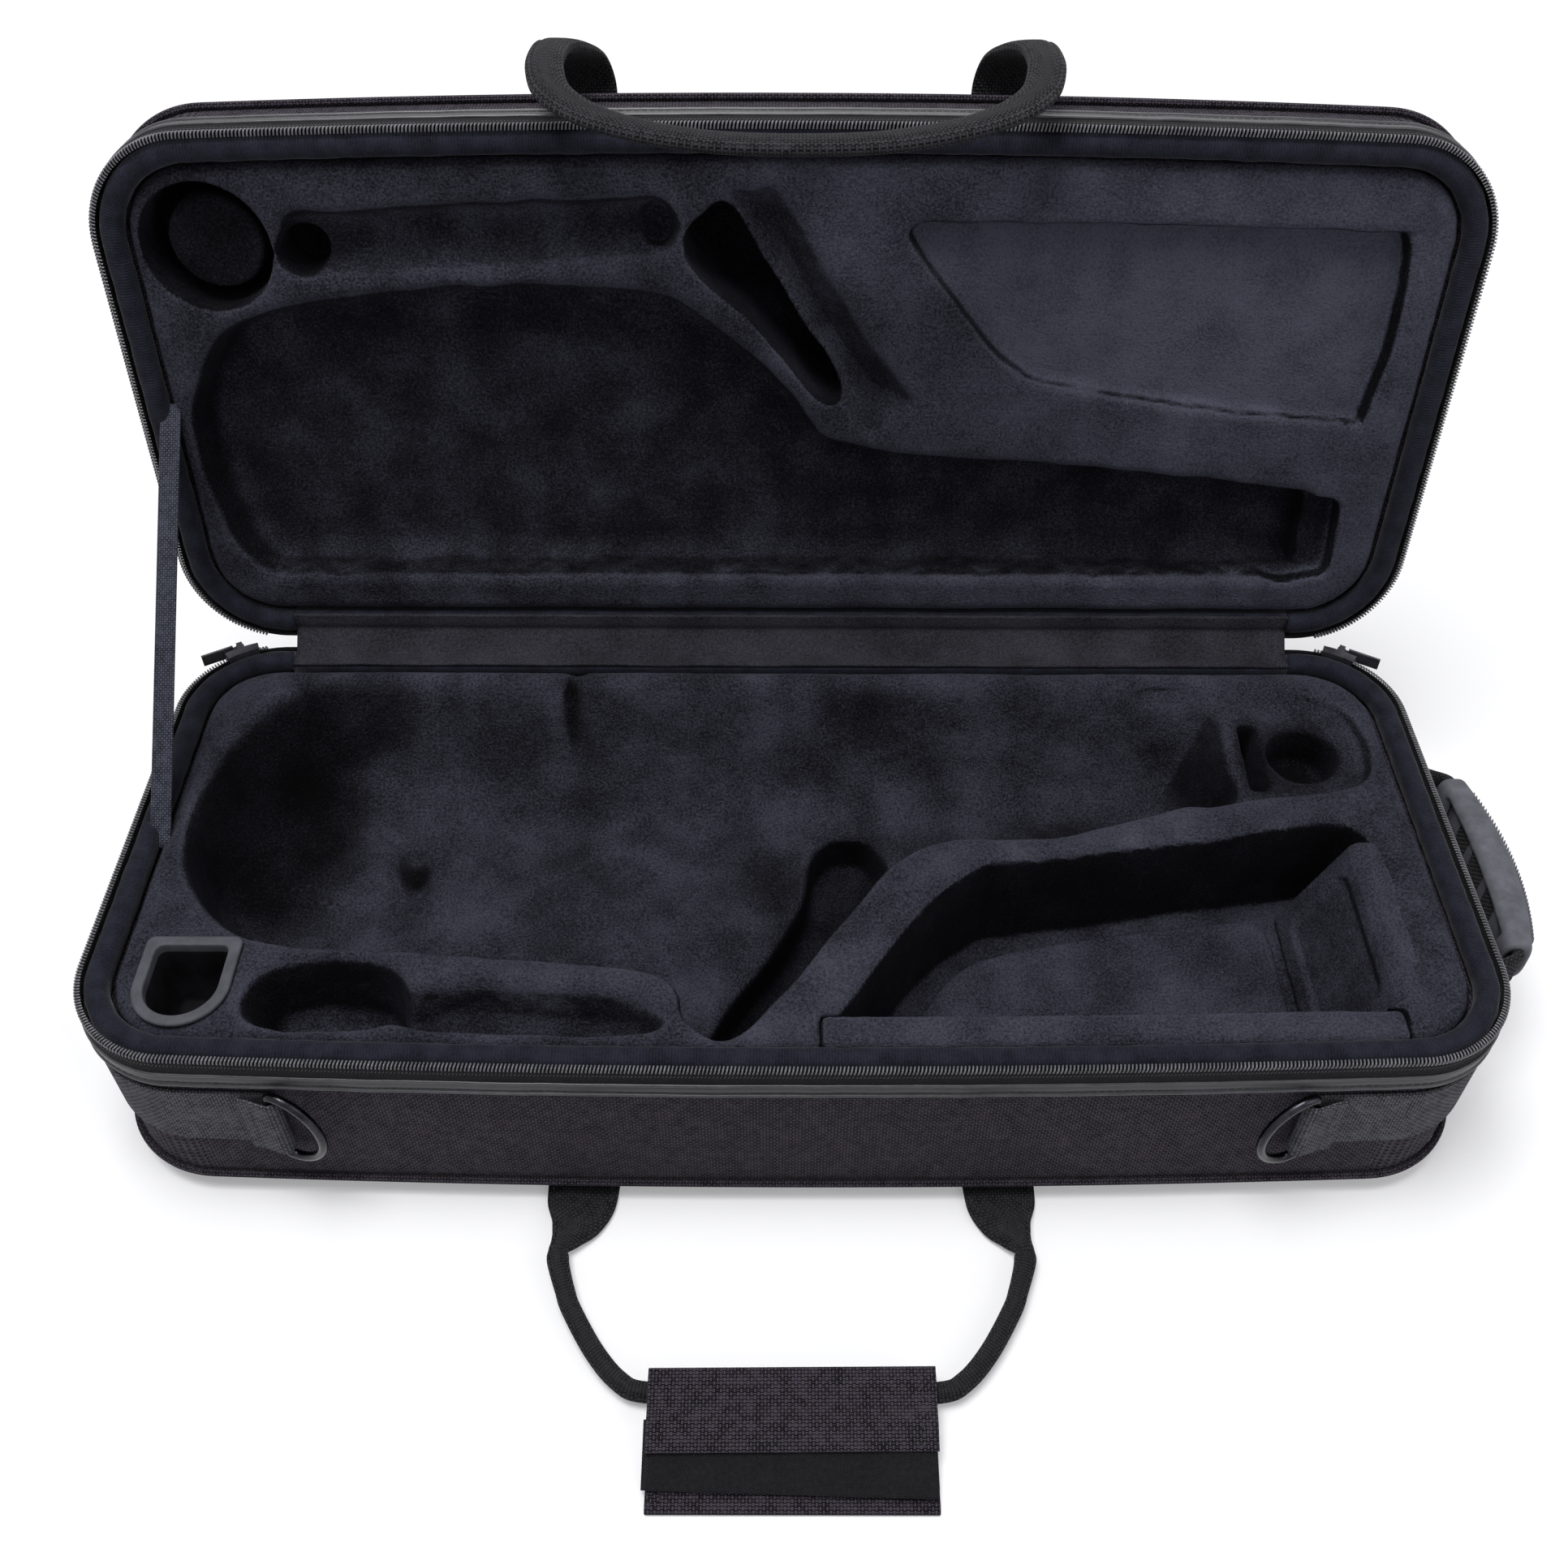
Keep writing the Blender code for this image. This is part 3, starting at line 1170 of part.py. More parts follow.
def add_lid_handle():
    pivot_rise = LID_HEIGHT + POCKET_THICKNESS + 2 * TOUCH + LEG_THICKNESS / 2
    reach = LID_KNOT_OVERRUN + LID_PIVOT_SETBACK
    fall = pivot_rise + LID_HANDLE_OVERHANG

    def station(side, row):
        across, forward, rise, flat, lean_deg = row
        lean = radians(lean_deg)
        half = LID_HANDLE_HALF_WIDTH + (LEG_HALF_WIDTH - LID_HANDLE_HALF_WIDTH) * flat
        thick = LID_HANDLE_HALF_THICKNESS + (LEG_THICKNESS / 2 - LID_HANDLE_HALF_THICKNESS) * flat
        centre = (side * across * LID_HANDLE_HALF_SPAN, HINGE_Y - LID_PIVOT_T - forward * reach,
                  RIM_Z + rise * fall - LID_HANDLE_OVERHANG)
        return (centre, half, thick, (0, -sin(lean), cos(lean)))
    pivot = axis_empty("lid_handle_swing", (0.0, HINGE_Y - LID_PIVOT_T, RIM_Z + pivot_rise),
                       on=lid_hinge)
    made = strap("lid_handle_strap", mirrored_path(LID_HANDLE_SHARES, station))
    hang(keep(made, WEBBING), pivot)
    patch_front = HINGE_Y - LID_PIVOT_T + LEG_THICKNESS / 2 + TOUCH
    patch_back = patch_front + ANCHOR_LENGTH
    low = pocket_face + POCKET_THICKNESS + TOUCH
    top = low + LEG_THICKNESS
    for side, tag in ((-1, "left"), (1, "right")):
        x = side * LID_HANDLE_SHARES[0][0] * LID_HANDLE_HALF_SPAN
        patch = prism("lid_handle_anchor_" + tag,
                      [(patch_front, low), (patch_back, low), (patch_back, top),
                       (patch_front + ANCHOR_TAPER, top),
                       (patch_front, low + LEG_THICKNESS * ANCHOR_EDGE_SHARE)],
                      x - LEG_HALF_WIDTH, x + LEG_HALF_WIDTH)
        lid_piece(keep(patch, WEBBING))


seam_y = front_y(HANDLE_HALF_SPAN, WALL_SETBACK) + BASE_EDGE_RADIUS * LEG_SEAM_SHARE
wrap_mid_y = seam_y - HANDLE_REACH


def add_carry_handle():
    pivot_z = LEG_THICKNESS / 2 + LEG_GROUND_GAP

    def station(side, row):
        across, forward, flat = row
        half = HANDLE_RADIUS + (LEG_HALF_WIDTH - HANDLE_RADIUS) * flat
        thick = HANDLE_RADIUS + (LEG_THICKNESS / 2 - HANDLE_RADIUS) * flat
        centre = (side * across * HANDLE_HALF_SPAN, seam_y - forward * HANDLE_REACH,
                  HANDLE_LIFT + (pivot_z - HANDLE_LIFT) * flat)
        return (centre, half, thick, (0, 0, 1))
    pivot = axis_empty("carry_handle_swing", (0.0, seam_y, pivot_z))
    made = strap("carry_handle_strap", mirrored_path(CARRY_HANDLE_SHARES, station))
    hang(keep(made, WEBBING), pivot)
    return pivot


def wrap_top(y):
    """Height of the lower wrap's upper face, which falls toward its front edge."""
    share = (y - wrap_front) / (wrap_back - wrap_front)
    return WRAP_EDGE_HEIGHT + (WRAP_HEIGHT - WRAP_EDGE_HEIGHT) * share


wrap_back = wrap_mid_y + HANDLE_RADIUS + WRAP_WALL + TOUCH
wrap_front = wrap_back - WRAP_DEPTH


def add_wrap(pivot):
    """The grip's lower half, sewn round the strap, with its long front flap."""
    low = LEG_GROUND_GAP
    made = prism("carry_handle_wrap",
                 [(wrap_back, low), (wrap_front, low), (wrap_front, wrap_top(wrap_front)),
                  (wrap_back, wrap_top(wrap_back))], -WRAP_HALF_LENGTH, WRAP_HALF_LENGTH)
    flap = cutter(box("carry_wrap_tongue",
                      (-TONGUE_HALF_LENGTH, wrap_front - TONGUE_REACH, low),
                      (TONGUE_HALF_LENGTH, wrap_front + OVERRUN, low + TONGUE_THICKNESS)))
    boolean(made, flap, "UNION")
    bore = cutter(cylinder("carry_wrap_bore", HANDLE_RADIUS / cos(pi / 8) + 2 * TOUCH,
                           (-WRAP_HALF_LENGTH - OVERRUN, wrap_mid_y, HANDLE_LIFT),
                           (WRAP_HALF_LENGTH + OVERRUN, wrap_mid_y, HANDLE_LIFT)))
    boolean(made, bore)
    for obj in (keep(made, SHELL_CLOTH), flap, bore):
        hang(obj, pivot)


def add_flap(pivot):
    """The grip's upper flap and the hook strip sewn under its front edge."""
    top_pivot = axis_empty("carry_flap_swing",
                           (0.0, wrap_back, wrap_top(wrap_back) + TOUCH + FLAP_THICKNESS / 2),
                           on=pivot)
    step_back = wrap_front + HOOK_STRIP_BACK
    front = wrap_front + FLAP_FRONT
    under_hook = 2 * TOUCH + HOOK_STRIP_THICKNESS
    line = [(front, wrap_top(front) + under_hook),
            (step_back + under_hook, wrap_top(step_back + under_hook) + under_hook),
            (step_back + 2 * under_hook, wrap_top(step_back + 2 * under_hook) + TOUCH),
            (wrap_back, wrap_top(wrap_back) + TOUCH)]
    made = prism("carry_wrap_flap", thick_line(line, FLAP_THICKNESS), -WRAP_HALF_LENGTH,
                 WRAP_HALF_LENGTH)
    hang(keep(made, SHELL_CLOTH), top_pivot)
    line = [(step_back - HOOK_STRIP_WIDTH, wrap_top(step_back - HOOK_STRIP_WIDTH) + TOUCH),
            (step_back, wrap_top(step_back) + TOUCH)]
    strip_made = prism("carry_wrap_hook_strip", thick_line(line, HOOK_STRIP_THICKNESS),
                       -TONGUE_HALF_LENGTH, TONGUE_HALF_LENGTH)
    hang(keep(strip_made, HOOK_TAPE), top_pivot)


add_lid_handle()
carry_pivot = add_carry_handle()
add_wrap(carry_pivot)
add_flap(carry_pivot)


# The end handle.
def add_end_handle():
    patch = CASE_LENGTH / 2 - WALL_SETBACK + TOUCH
    wall = patch + WEBBING_THICKNESS + TOUCH
    strap_x = wall + END_GRIP_GAP + END_GRIP_THICKNESS / 2
    mid = (END_GRIP_BACK + END_GRIP_FRONT) / 2
    half = (END_GRIP_BACK - END_GRIP_FRONT) / 2
    pivot = axis_empty("end_handle_swing", (wall, mid, END_GRIP_Z))
    inner = strap_x - END_GRIP_THICKNESS / 2
    outer = strap_x + END_GRIP_THICKNESS / 2
    plan = []
    for i in range(END_GRIP_STEPS + 1):
        share = 2 * i / END_GRIP_STEPS - 1
        plan.append((outer + END_GRIP_BOW * (1 - share ** 2), mid + half * share))
    plan += [(inner, mid + half), (inner, mid - half)]
    grip = slab("end_handle_grip", [plan], END_GRIP_Z - END_GRIP_HEIGHT / 2,
                END_GRIP_Z + END_GRIP_HEIGHT / 2)
    round_all(grip, END_GRIP_EDGE)
    wide = END_LOOP_WIDTH / 2
    thick = END_LOOP_THICKNESS / 2
    room = thick + SLIT_ROOM
    slot = cutter(box("end_grip_slot", (strap_x - room, mid - half - OVERRUN,
                                        END_GRIP_Z - wide - SLIT_ROOM),
                      (strap_x + room, mid + half + OVERRUN, END_GRIP_Z + wide + SLIT_ROOM)))
    boolean(grip, slot)
    hang(slot, pivot)
    hang(keep(grip, GRIP_RUBBER), pivot)
    stations = []
    for across, forward, lean_deg in END_LOOP_SHARES:
        lean = radians(lean_deg)
        stations.append(((wall + thick + (strap_x - wall - thick) * across,
                          half + forward * END_LOOP_SPREAD, END_GRIP_Z),
                         wide, thick, (cos(lean), sin(lean), 0)))
    run = [((c[0], mid + c[1], c[2]), w, t, n) for c, w, t, n in stations]
    run += [((c[0], mid - c[1], c[2]), w, t, (n[0], -n[1], 0)) for c, w, t, n in stations[::-1]]
    keep(strap("end_handle_strap", run), WEBBING)
    back = mid + half + END_LOOP_SPREAD
    keep(box("end_handle_patch", (patch, back - END_LOOP_SPREAD, RING_Z - WEBBING_WIDTH / 2),
             (patch + WEBBING_THICKNESS, back, RING_Z + WEBBING_WIDTH / 2)), WEBBING)


add_end_handle()
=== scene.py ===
# %% [markdown]
# An alto saxophone case lies open: two shallow trays of foam wall under woven cloth, joined by
# a cloth hinge at the back and closed by one long zip. Plush mouldings fill both trays. The
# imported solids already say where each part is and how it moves, so this lesson dresses them:
# every soft solid gets a piece of its own shape, and the hard ones get their finish.

# %% Load the frame
from math import cos, pi, radians, sin

import bmesh
import bpy
import numpy as np
from mathutils import Matrix, Vector, noise


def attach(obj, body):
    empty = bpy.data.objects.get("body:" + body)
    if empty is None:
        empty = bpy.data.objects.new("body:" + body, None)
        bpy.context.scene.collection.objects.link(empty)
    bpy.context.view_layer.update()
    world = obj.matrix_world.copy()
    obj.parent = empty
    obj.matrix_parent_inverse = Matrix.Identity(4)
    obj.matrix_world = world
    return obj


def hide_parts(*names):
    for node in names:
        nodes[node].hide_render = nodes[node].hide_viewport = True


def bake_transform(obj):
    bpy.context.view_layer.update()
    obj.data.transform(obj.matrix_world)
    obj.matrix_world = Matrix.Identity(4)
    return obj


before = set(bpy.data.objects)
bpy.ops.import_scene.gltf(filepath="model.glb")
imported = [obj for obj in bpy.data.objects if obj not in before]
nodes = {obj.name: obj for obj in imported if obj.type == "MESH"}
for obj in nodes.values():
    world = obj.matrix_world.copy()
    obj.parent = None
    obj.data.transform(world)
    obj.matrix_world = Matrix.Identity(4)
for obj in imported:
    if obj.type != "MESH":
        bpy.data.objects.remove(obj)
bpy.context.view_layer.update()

# %% [markdown]
# The photograph was taken from above the front edge, looking down at about 46 degrees. A
# camera fitted to the rims gives its place, its turn and its focal length in pixels.

# %% Camera
MM = 0.001
PHOTO_WIDTH = 1932
FOCAL_PIXELS = 1950
CAMERA_PLACE = Vector((-5.6, -491.6, 658.9)) * MM
CAMERA_AZIMUTH = radians(-0.2)
CAMERA_ELEVATION = radians(46.5)
CAMERA_ROLL = radians(0.3)
SENSOR = 36


def add_camera():
    back = Vector((sin(CAMERA_AZIMUTH) * cos(CAMERA_ELEVATION),
                   -cos(CAMERA_AZIMUTH) * cos(CAMERA_ELEVATION), sin(CAMERA_ELEVATION)))
    level_right = (-back).cross(Vector((0, 0, 1))).normalized()
    level_up = level_right.cross(-back)
    right = level_right * cos(CAMERA_ROLL) + level_up * sin(CAMERA_ROLL)
    up = level_up * cos(CAMERA_ROLL) - level_right * sin(CAMERA_ROLL)
    camera = bpy.data.objects.new("camera", bpy.data.cameras.new("camera"))
    bpy.context.scene.collection.objects.link(camera)
    turn = Matrix((right, up, back)).transposed().to_4x4()
    camera.matrix_world = Matrix.Translation(CAMERA_PLACE) @ turn
    camera.data.sensor_width = SENSOR
    camera.data.lens = SENSOR * FOCAL_PIXELS / PHOTO_WIDTH
    camera.data.clip_start = 10 * MM
    bpy.context.scene.camera = camera


add_camera()
print("camera set, lens", round(bpy.context.scene.camera.data.lens, 2), "mm")

# %% [markdown]
# Materials are built from nodes. One function turns an sRGB hex value into the linear colour
# that a socket takes, and one adds a node with its settings and links.

# %% Material helpers
def linear(value):
    return value / 12.92 if value <= 0.04045 else ((value + 0.055) / 1.055) ** 2.4


def tint(hexes):
    return tuple(linear(int(hexes[i:i + 2], 16) / 255) for i in (0, 2, 4)) + (1.0,)


def set_inputs(tree, node, inputs):
    """Each input is a value or another node's output socket."""
    for key, value in inputs.items():
        if isinstance(value, bpy.types.NodeSocket):
            tree.links.new(value, node.inputs[key])
        else:
            node.inputs[key].default_value = value


def add(tree, kind, inputs=None, **settings):
    """A node with its settings and its inputs."""
    node = tree.nodes.new(kind)
    for name, value in settings.items():
        setattr(node, name, value)
    set_inputs(tree, node, inputs or {})
    return node


def new_material(name, coordinates):
    """A material with an empty Principled shader, and the coordinates its patterns use."""
    made = bpy.data.materials.new(name)
    made.use_nodes = True
    tree = made.node_tree
    tree.nodes.clear()
    shader = add(tree, "ShaderNodeBsdfPrincipled")
    add(tree, "ShaderNodeOutputMaterial", {"Surface": shader.outputs[0]})
    if coordinates == "UV":
        place = add(tree, "ShaderNodeUVMap", uv_map="run").outputs[0]
    else:
        place = add(tree, "ShaderNodeTexCoord").outputs["Object"]
    return made, tree, shader, place


def ramp(tree, factor, stops):
    """A colour ramp from (position, hex) stops."""
    node = add(tree, "ShaderNodeValToRGB", {"Fac": factor})
    while len(node.color_ramp.elements) < len(stops):
        node.color_ramp.elements.new(0.5)
    for element, (place, hexes) in zip(node.color_ramp.elements, stops):
        element.position = place
        element.color = tint(hexes)
    return node.outputs[0]


def grain(tree, place, size, detail=2.0, rough=0.5):
    """Noise whose lumps are about one size, in metres."""
    return add(tree, "ShaderNodeTexNoise", {"Vector": place, "Scale": 1 / size, "Detail": detail,
                                            "Roughness": rough}).outputs[0]


def maths(tree, operation, *values):
    """A Math node's result. Each value is a number or another node's output."""
    return add(tree, "ShaderNodeMath", dict(enumerate(values)), operation=operation).outputs[0]


def set_bump(tree, shader, height, depth):
    """Bump whose full height is a depth in metres."""
    bump = add(tree, "ShaderNodeBump", {"Height": height, "Distance": depth, "Strength": 1.0})
    tree.links.new(bump.outputs[0], shader.inputs["Normal"])


def waves(tree, place, axis, pitch, phase=0.0):
    """A smooth ridge that repeats along one axis of the coordinates, 0 to 1."""
    split = add(tree, "ShaderNodeSeparateXYZ", {"Vector": place})
    turned = maths(tree, "MULTIPLY_ADD", split.outputs[axis], 2 * pi / pitch, phase)
    return maths(tree, "MULTIPLY_ADD", maths(tree, "SINE", turned), 0.5, 0.5)


CLOTH_GLOSS = 0.06
print("material helpers ready")

# %% [markdown]
# The inserts are short pile plush over foam, a dark navy grey. Light and shade are painted into
# its colour: walls in shade go almost black, lips carry a painted highlight, and deep floors are
# darker. So each mould carries an attribute of painted light and shade, and the colour follows
# it, broken up by tufts of about a millimetre. Sheen gives the rim of light.

# %% Plush
def plush(name, dark, middle, light, sheen, nap=1.0, light_share=None):
    """Nap is the tufts' depth in mm; the last argument, if given, takes the place of the painted
    light.
    """
    made, tree, shader, place = new_material(name, "Object")
    stroke = grain(tree, place, 28 * MM)
    fluff = grain(tree, place, 1.1 * MM, rough=0.75)
    # Unless one value is given, the colour follows the painted light and shade stored on the mesh.
    if light_share is None:
        light_share = add(tree, "ShaderNodeAttribute", attribute_name="painted_light").outputs["Fac"]
    tufts = maths(tree, "MULTIPLY_ADD", fluff, 0.95, maths(tree, "MULTIPLY", stroke, 0.55))
    mixed = maths(tree, "MULTIPLY", maths(tree, "MULTIPLY_ADD", light_share, 0.65, tufts), 0.72)
    set_inputs(tree, shader, {
        "Base Color": ramp(tree, mixed, [(0.42, dark), (0.62, middle), (1.0, light)]),
        "Roughness": 0.95, "Specular IOR Level": CLOTH_GLOSS, "Sheen Weight": sheen,
        "Sheen Roughness": 0.35, "Sheen Tint": tint("6c6c80")})
    lumps = maths(tree, "MULTIPLY_ADD", grain(tree, place, 5 * MM), 0.5, fluff)
    set_bump(tree, shader, lumps, nap * MM)
    return made


# How deep the painted highlight on the lips reaches, and the painted shade of the walls.
LIP_HIGHLIGHT_REACH = 7 * MM
DARKEST_PAINTED_SHADE = -0.2


def lay_painted_light(mesh, facing, depths, floor_light=0.45):
    """Stores painted light: a painted highlight on lips, painted shade on walls, floors as given.
    """
    normals = np.array([v.normal for v in mesh.vertices])
    up = normals @ facing
    # Faces turned to the front, where the front light falls, are painted lighter.
    up = up + 0.45 * np.clip(-normals[:, 1], 0, 1) * np.clip((up - 0.1) / 0.2, 0, 1)
    level_share = np.clip((up - 0.35) / 0.5, 0, 1)
    # A painted highlight along the lips, fading with depth.
    lip = np.exp(-((up - 0.76) / 0.16) ** 2) * np.exp(-np.clip(depths, 0, None) / LIP_HIGHLIGHT_REACH)
    value = level_share * (floor_light - DARKEST_PAINTED_SHADE) + DARKEST_PAINTED_SHADE
    value += 0.36 * lip * (0.4 + 1.2 * np.abs(floor_light))
    mesh.attributes.new("painted_light", "FLOAT", "POINT").data.foreach_set("value", value)


INSERT_PLUSH = plush("short_pile_plush", "040405", "1b1b21", "4a4a57", 0.10)
LINING_PLUSH = plush("lining_plush", "0a0a0d", "201f24", "403f46", 0.12, nap=0.6, light_share=0.42)
print("plush made")

# %% [markdown]
# Woven cloth is a basket of threads. Two sets of ridges cross, and a checker decides which
# set is on top, so the bump shows each thread dive under its neighbour. The real threads are
# 0.4 to 0.6 mm wide, too fine for the picture, so they are drawn 0.7 to 1.4 mm wide. A pitch is
# two threads. Spread is how far the cloth's colours run to each side of their middle.

# %% Woven cloths
def woven(name, dark, light, pitch, depth, spread=0.18):
    made, tree, shader, place = new_material(name, "UV")
    warp = waves(tree, place, 0, pitch / 2, -pi / 2)
    weft = waves(tree, place, 1, pitch / 2, -pi / 2)
    over = add(tree, "ShaderNodeTexChecker", {"Vector": place, "Scale": 2 / pitch}).outputs["Fac"]
    thread = maths(tree, "ADD", maths(tree, "MULTIPLY", warp, over),
                   maths(tree, "MULTIPLY", weft, maths(tree, "SUBTRACT", 1.0, over)))
    dirt = grain(tree, place, 12 * MM, detail=4.0, rough=0.65)
    speck = grain(tree, place, pitch * 1.3, detail=1.0)
    worn = maths(tree, "MULTIPLY_ADD", dirt, 0.3, maths(tree, "MULTIPLY", speck, 0.35))
    shade = maths(tree, "MULTIPLY_ADD", over, 0.12, maths(tree, "MULTIPLY_ADD", thread, 0.3, worn))
    set_inputs(tree, shader, {
        "Base Color": ramp(tree, shade, [(0.54 - spread, dark), (0.54 + spread, light)]),
        "Roughness": 0.85, "Specular IOR Level": CLOTH_GLOSS, "Sheen Weight": 0.05,
        "Sheen Roughness": 0.5})
    set_bump(tree, shader, maths(tree, "MULTIPLY_ADD", speck, 0.4, thread), depth)
    return made


# Ballistic nylon: thick shiny threads in a basket weave, near black with a warm cast.
SHELL_CLOTH = woven("ballistic_nylon", "070609", "453f49", 2.8 * MM, 0.45 * MM, spread=0.09)
# Zip tape: polyester herringbone tape, flat black.
ZIP_TAPE = woven("polyester_zip_tape", "080809", "1e1e21", 1.4 * MM, 0.2 * MM)
# Nylon webbing: heavy threads across the strap, black with a grey light on each.
WEBBING = woven("nylon_webbing", "09090a", "333337", 2.8 * MM, 0.5 * MM, spread=0.11)
# The bands at the corners are the same webbing, drawn paler.
PALER_WEBBING = woven("paler_nylon_webbing", "222226", "626267", 2.8 * MM, 0.5 * MM,
                     spread=0.11)
# The stay is narrower webbing with a blue cast, as it stands full in the light.
STAY_WEBBING = woven("stay_webbing", "1a1b21", "4a4d59", 2.2 * MM, 0.3 * MM, spread=0.13)
# Hook tape: a field of stiff nylon hooks, black.
HOOK_TAPE = woven("hook_tape", "09090b", "26262a", 1.4 * MM, 0.4 * MM)
print("woven cloths made")

# %% [markdown]
# The collar is jersey, a fine knit stretched over a foam roll. Its wales run across the roll
# and show as fine ribs beside the zip. The hard finishes are all one even skin with a fine
# grain and faint wear, so one function makes them from a few typical values.

# %% Knit, vinyl, plastics, rubber and metals
def jersey(name, dark, light):
    made, tree, shader, place = new_material(name, "UV")
    ribs = waves(tree, place, 0, 1.3 * MM)
    soft = grain(tree, place, 9 * MM, detail=4.0)
    fuzz = grain(tree, place, 1.1 * MM)
    shade = maths(tree, "MULTIPLY_ADD", ribs, 0.10,
                  maths(tree, "MULTIPLY_ADD", soft, 0.5, maths(tree, "MULTIPLY", fuzz, 0.4)))
    set_inputs(tree, shader, {
        "Base Color": ramp(tree, shade, [(0.30, dark), (0.72, light)]), "Roughness": 0.85,
        "Specular IOR Level": CLOTH_GLOSS, "Sheen Weight": 0.10, "Sheen Roughness": 0.4})
    set_bump(tree, shader, maths(tree, "MULTIPLY_ADD", fuzz, 1.5, ribs), 0.12 * MM)
    return made


def moulded(name, dark, light, roughness, coat=0.0, metallic=0.0, depth=0.06 * MM, specular=0.3):
    """Vinyl, plastic, rubber or metal: an even skin with a fine grain and faint wear."""
    made, tree, shader, place = new_material(name, "Object")
    wear = grain(tree, place, 9 * MM, detail=5.0, rough=0.65)
    set_inputs(tree, shader, {
        "Base Color": ramp(tree, wear, [(0.32, dark), (0.68, light)]),
        "Roughness": maths(tree, "MULTIPLY_ADD", wear, 0.2, roughness - 0.1),
        "Metallic": metallic, "Coat Weight": coat, "Coat Roughness": 0.25,
        "Specular IOR Level": 0.5 if metallic else specular})
    set_bump(tree, shader, grain(tree, place, 0.8 * MM, detail=3.0), depth)
    return made


# Jersey over foam beside the zip, a blue black.
COLLAR_CLOTH = jersey("rib_jersey", "0d0d13", "292a35")
# Bound edge of soft vinyl, mid grey, lightly grained.
VINYL = moulded("grained_vinyl", "19191c", "2a2a2d", 0.46, coat=0.15, depth=0.10 * MM)
# The cords in the bound edge: the vinyl is glossier there, and painted paler for their highlight.
HIGHLIT_CORD_VINYL = moulded("highlit_cord_vinyl", "26262a", "3e3e42", 0.34, coat=0.3)
# Thread of bonded polyester, a lighter grey than the vinyl it holds.
THREAD = moulded("bonded_thread", "303033", "48484c", 0.7)
DARK_THREAD = moulded("dark_thread", "242428", "3c3c42", 0.7)
# Coil teeth: drawn nylon, dark grey and shiny, so each turn has a light of its own.
COIL = moulded("drawn_nylon", "3a3a3e", "626267", 0.3, coat=0.4)
# Moulded ABS with a satin face.
CUP_PLASTIC = moulded("abs_plastic", "3e3f44", "505157", 0.6, specular=0.12)
# The same plastic inside the cup, duller, and painted dark for the shade inside it.
CUP_SHADED_INSIDE = moulded("shaded_dull_abs_plastic", "0c0c0e", "1c1c20", 0.8, specular=0.08)
# Grip: soft rubber, warm grey and matt.
GRIP_RUBBER = moulded("soft_rubber", "46474d", "5e5f66", 0.7)
# Rings and sliders: steel under black nickel plate.
RING_METAL = moulded("black_nickel_plate", "232326", "3c3c41", 0.26, metallic=1.0)
SLIDER_METAL = moulded("gunmetal_enamel", "38383c", "5c5c62", 0.34, metallic=0.7)
print("materials made:", len(bpy.data.materials))

# %% [markdown]
# The plan of the case is a rectangle with round corners whose front bows out a little. Every
# edge follows it at its own inset: binding, tape, teeth, collar, wall. So one function gives
# that path at any inset, with evenly spaced points.

# %% The plan
CASE_LENGTH = 620 * MM
CASE_DEPTH = 256 * MM
CORNER_RADIUS = 48 * MM
FRONT_BOW = 7 * MM
BASE_HEIGHT = 106 * MM
LID_HEIGHT = 52 * MM
LID_OPEN = radians(97.5)
HINGE_Y = CASE_DEPTH / 2
RIM_Z = BASE_HEIGHT
CORNER_X = CASE_LENGTH / 2 - CORNER_RADIUS
CORNER_Y = CASE_DEPTH / 2 - CORNER_RADIUS
WALL_SETBACK = 3.3 * MM
INSERT_SETBACK = 15 * MM
SEAM_X = 258 * MM
HINGE_LINE = Vector((0, HINGE_Y, RIM_Z))
OPEN_LID = (Matrix.Translation(HINGE_LINE) @ Matrix.Rotation(-LID_OPEN, 4, "X")
            @ Matrix.Translation(-HINGE_LINE))


def bowed(points):
    """Moves points of the plan forward by the front's bow."""
    points = np.array(points, float)
    x, y = points[:, 0], points[:, 1]
    front = np.clip((HINGE_Y - y) / CASE_DEPTH, 0, 1)
    points[:, 1] = y - FRONT_BOW * front * np.clip(1 - (2 * x / CASE_LENGTH) ** 2, 0, None)
    return points


def arc(x, y, radius, first, last, steps):
    """Points of an arc about x, y, between two angles in degrees."""
    turns = np.radians(np.linspace(first, last, steps + 1))
    return np.c_[x + radius * np.cos(turns), y + radius * np.sin(turns)]


def run_lengths(points):
    """How far along a path each of its points lies."""
    return np.r_[0, np.cumsum(np.linalg.norm(np.diff(points, axis=0), axis=1))]


def even(points, spacing, closed=False):
    """The same path with evenly spaced points."""
    points = np.array(points, float)
    if closed:
        points = np.r_[points, points[:1]]
    run = run_lengths(points)
    count = max(int(round(run[-1] / spacing)), 2)
    places = np.linspace(0, run[-1], count + 1)
    made = np.stack([np.interp(places, run, points[:, i]) for i in range(points.shape[1])], 1)
    return made[:-1] if closed else made


def plan(inset=0.0, start_deg=0.0, back_run=None, corner_steps=24, front_steps=60):
    """The plan at an inset, from the back left corner round the front to the back right.

    The run starts and ends at an angle from the back, or runs on along the back to back_run.
    """
    radius = CORNER_RADIUS - inset
    front = np.linspace(-CORNER_X, CORNER_X, front_steps + 1)[1:-1]
    points = np.r_[
        arc(-CORNER_X, CORNER_Y, radius, 90 + start_deg, 180, corner_steps),
        arc(-CORNER_X, -CORNER_Y, radius, 180, 270, corner_steps),
        np.c_[front, np.full(len(front), -CORNER_Y - radius)],
        arc(CORNER_X, -CORNER_Y, radius, 270, 360, corner_steps),
        arc(CORNER_X, CORNER_Y, radius, 0, 90 - start_deg, corner_steps)]
    if back_run is not None:
        y = HINGE_Y - inset
        points = np.r_[[(-back_run, y)], points, [(back_run, y)]]
    return bowed(points)


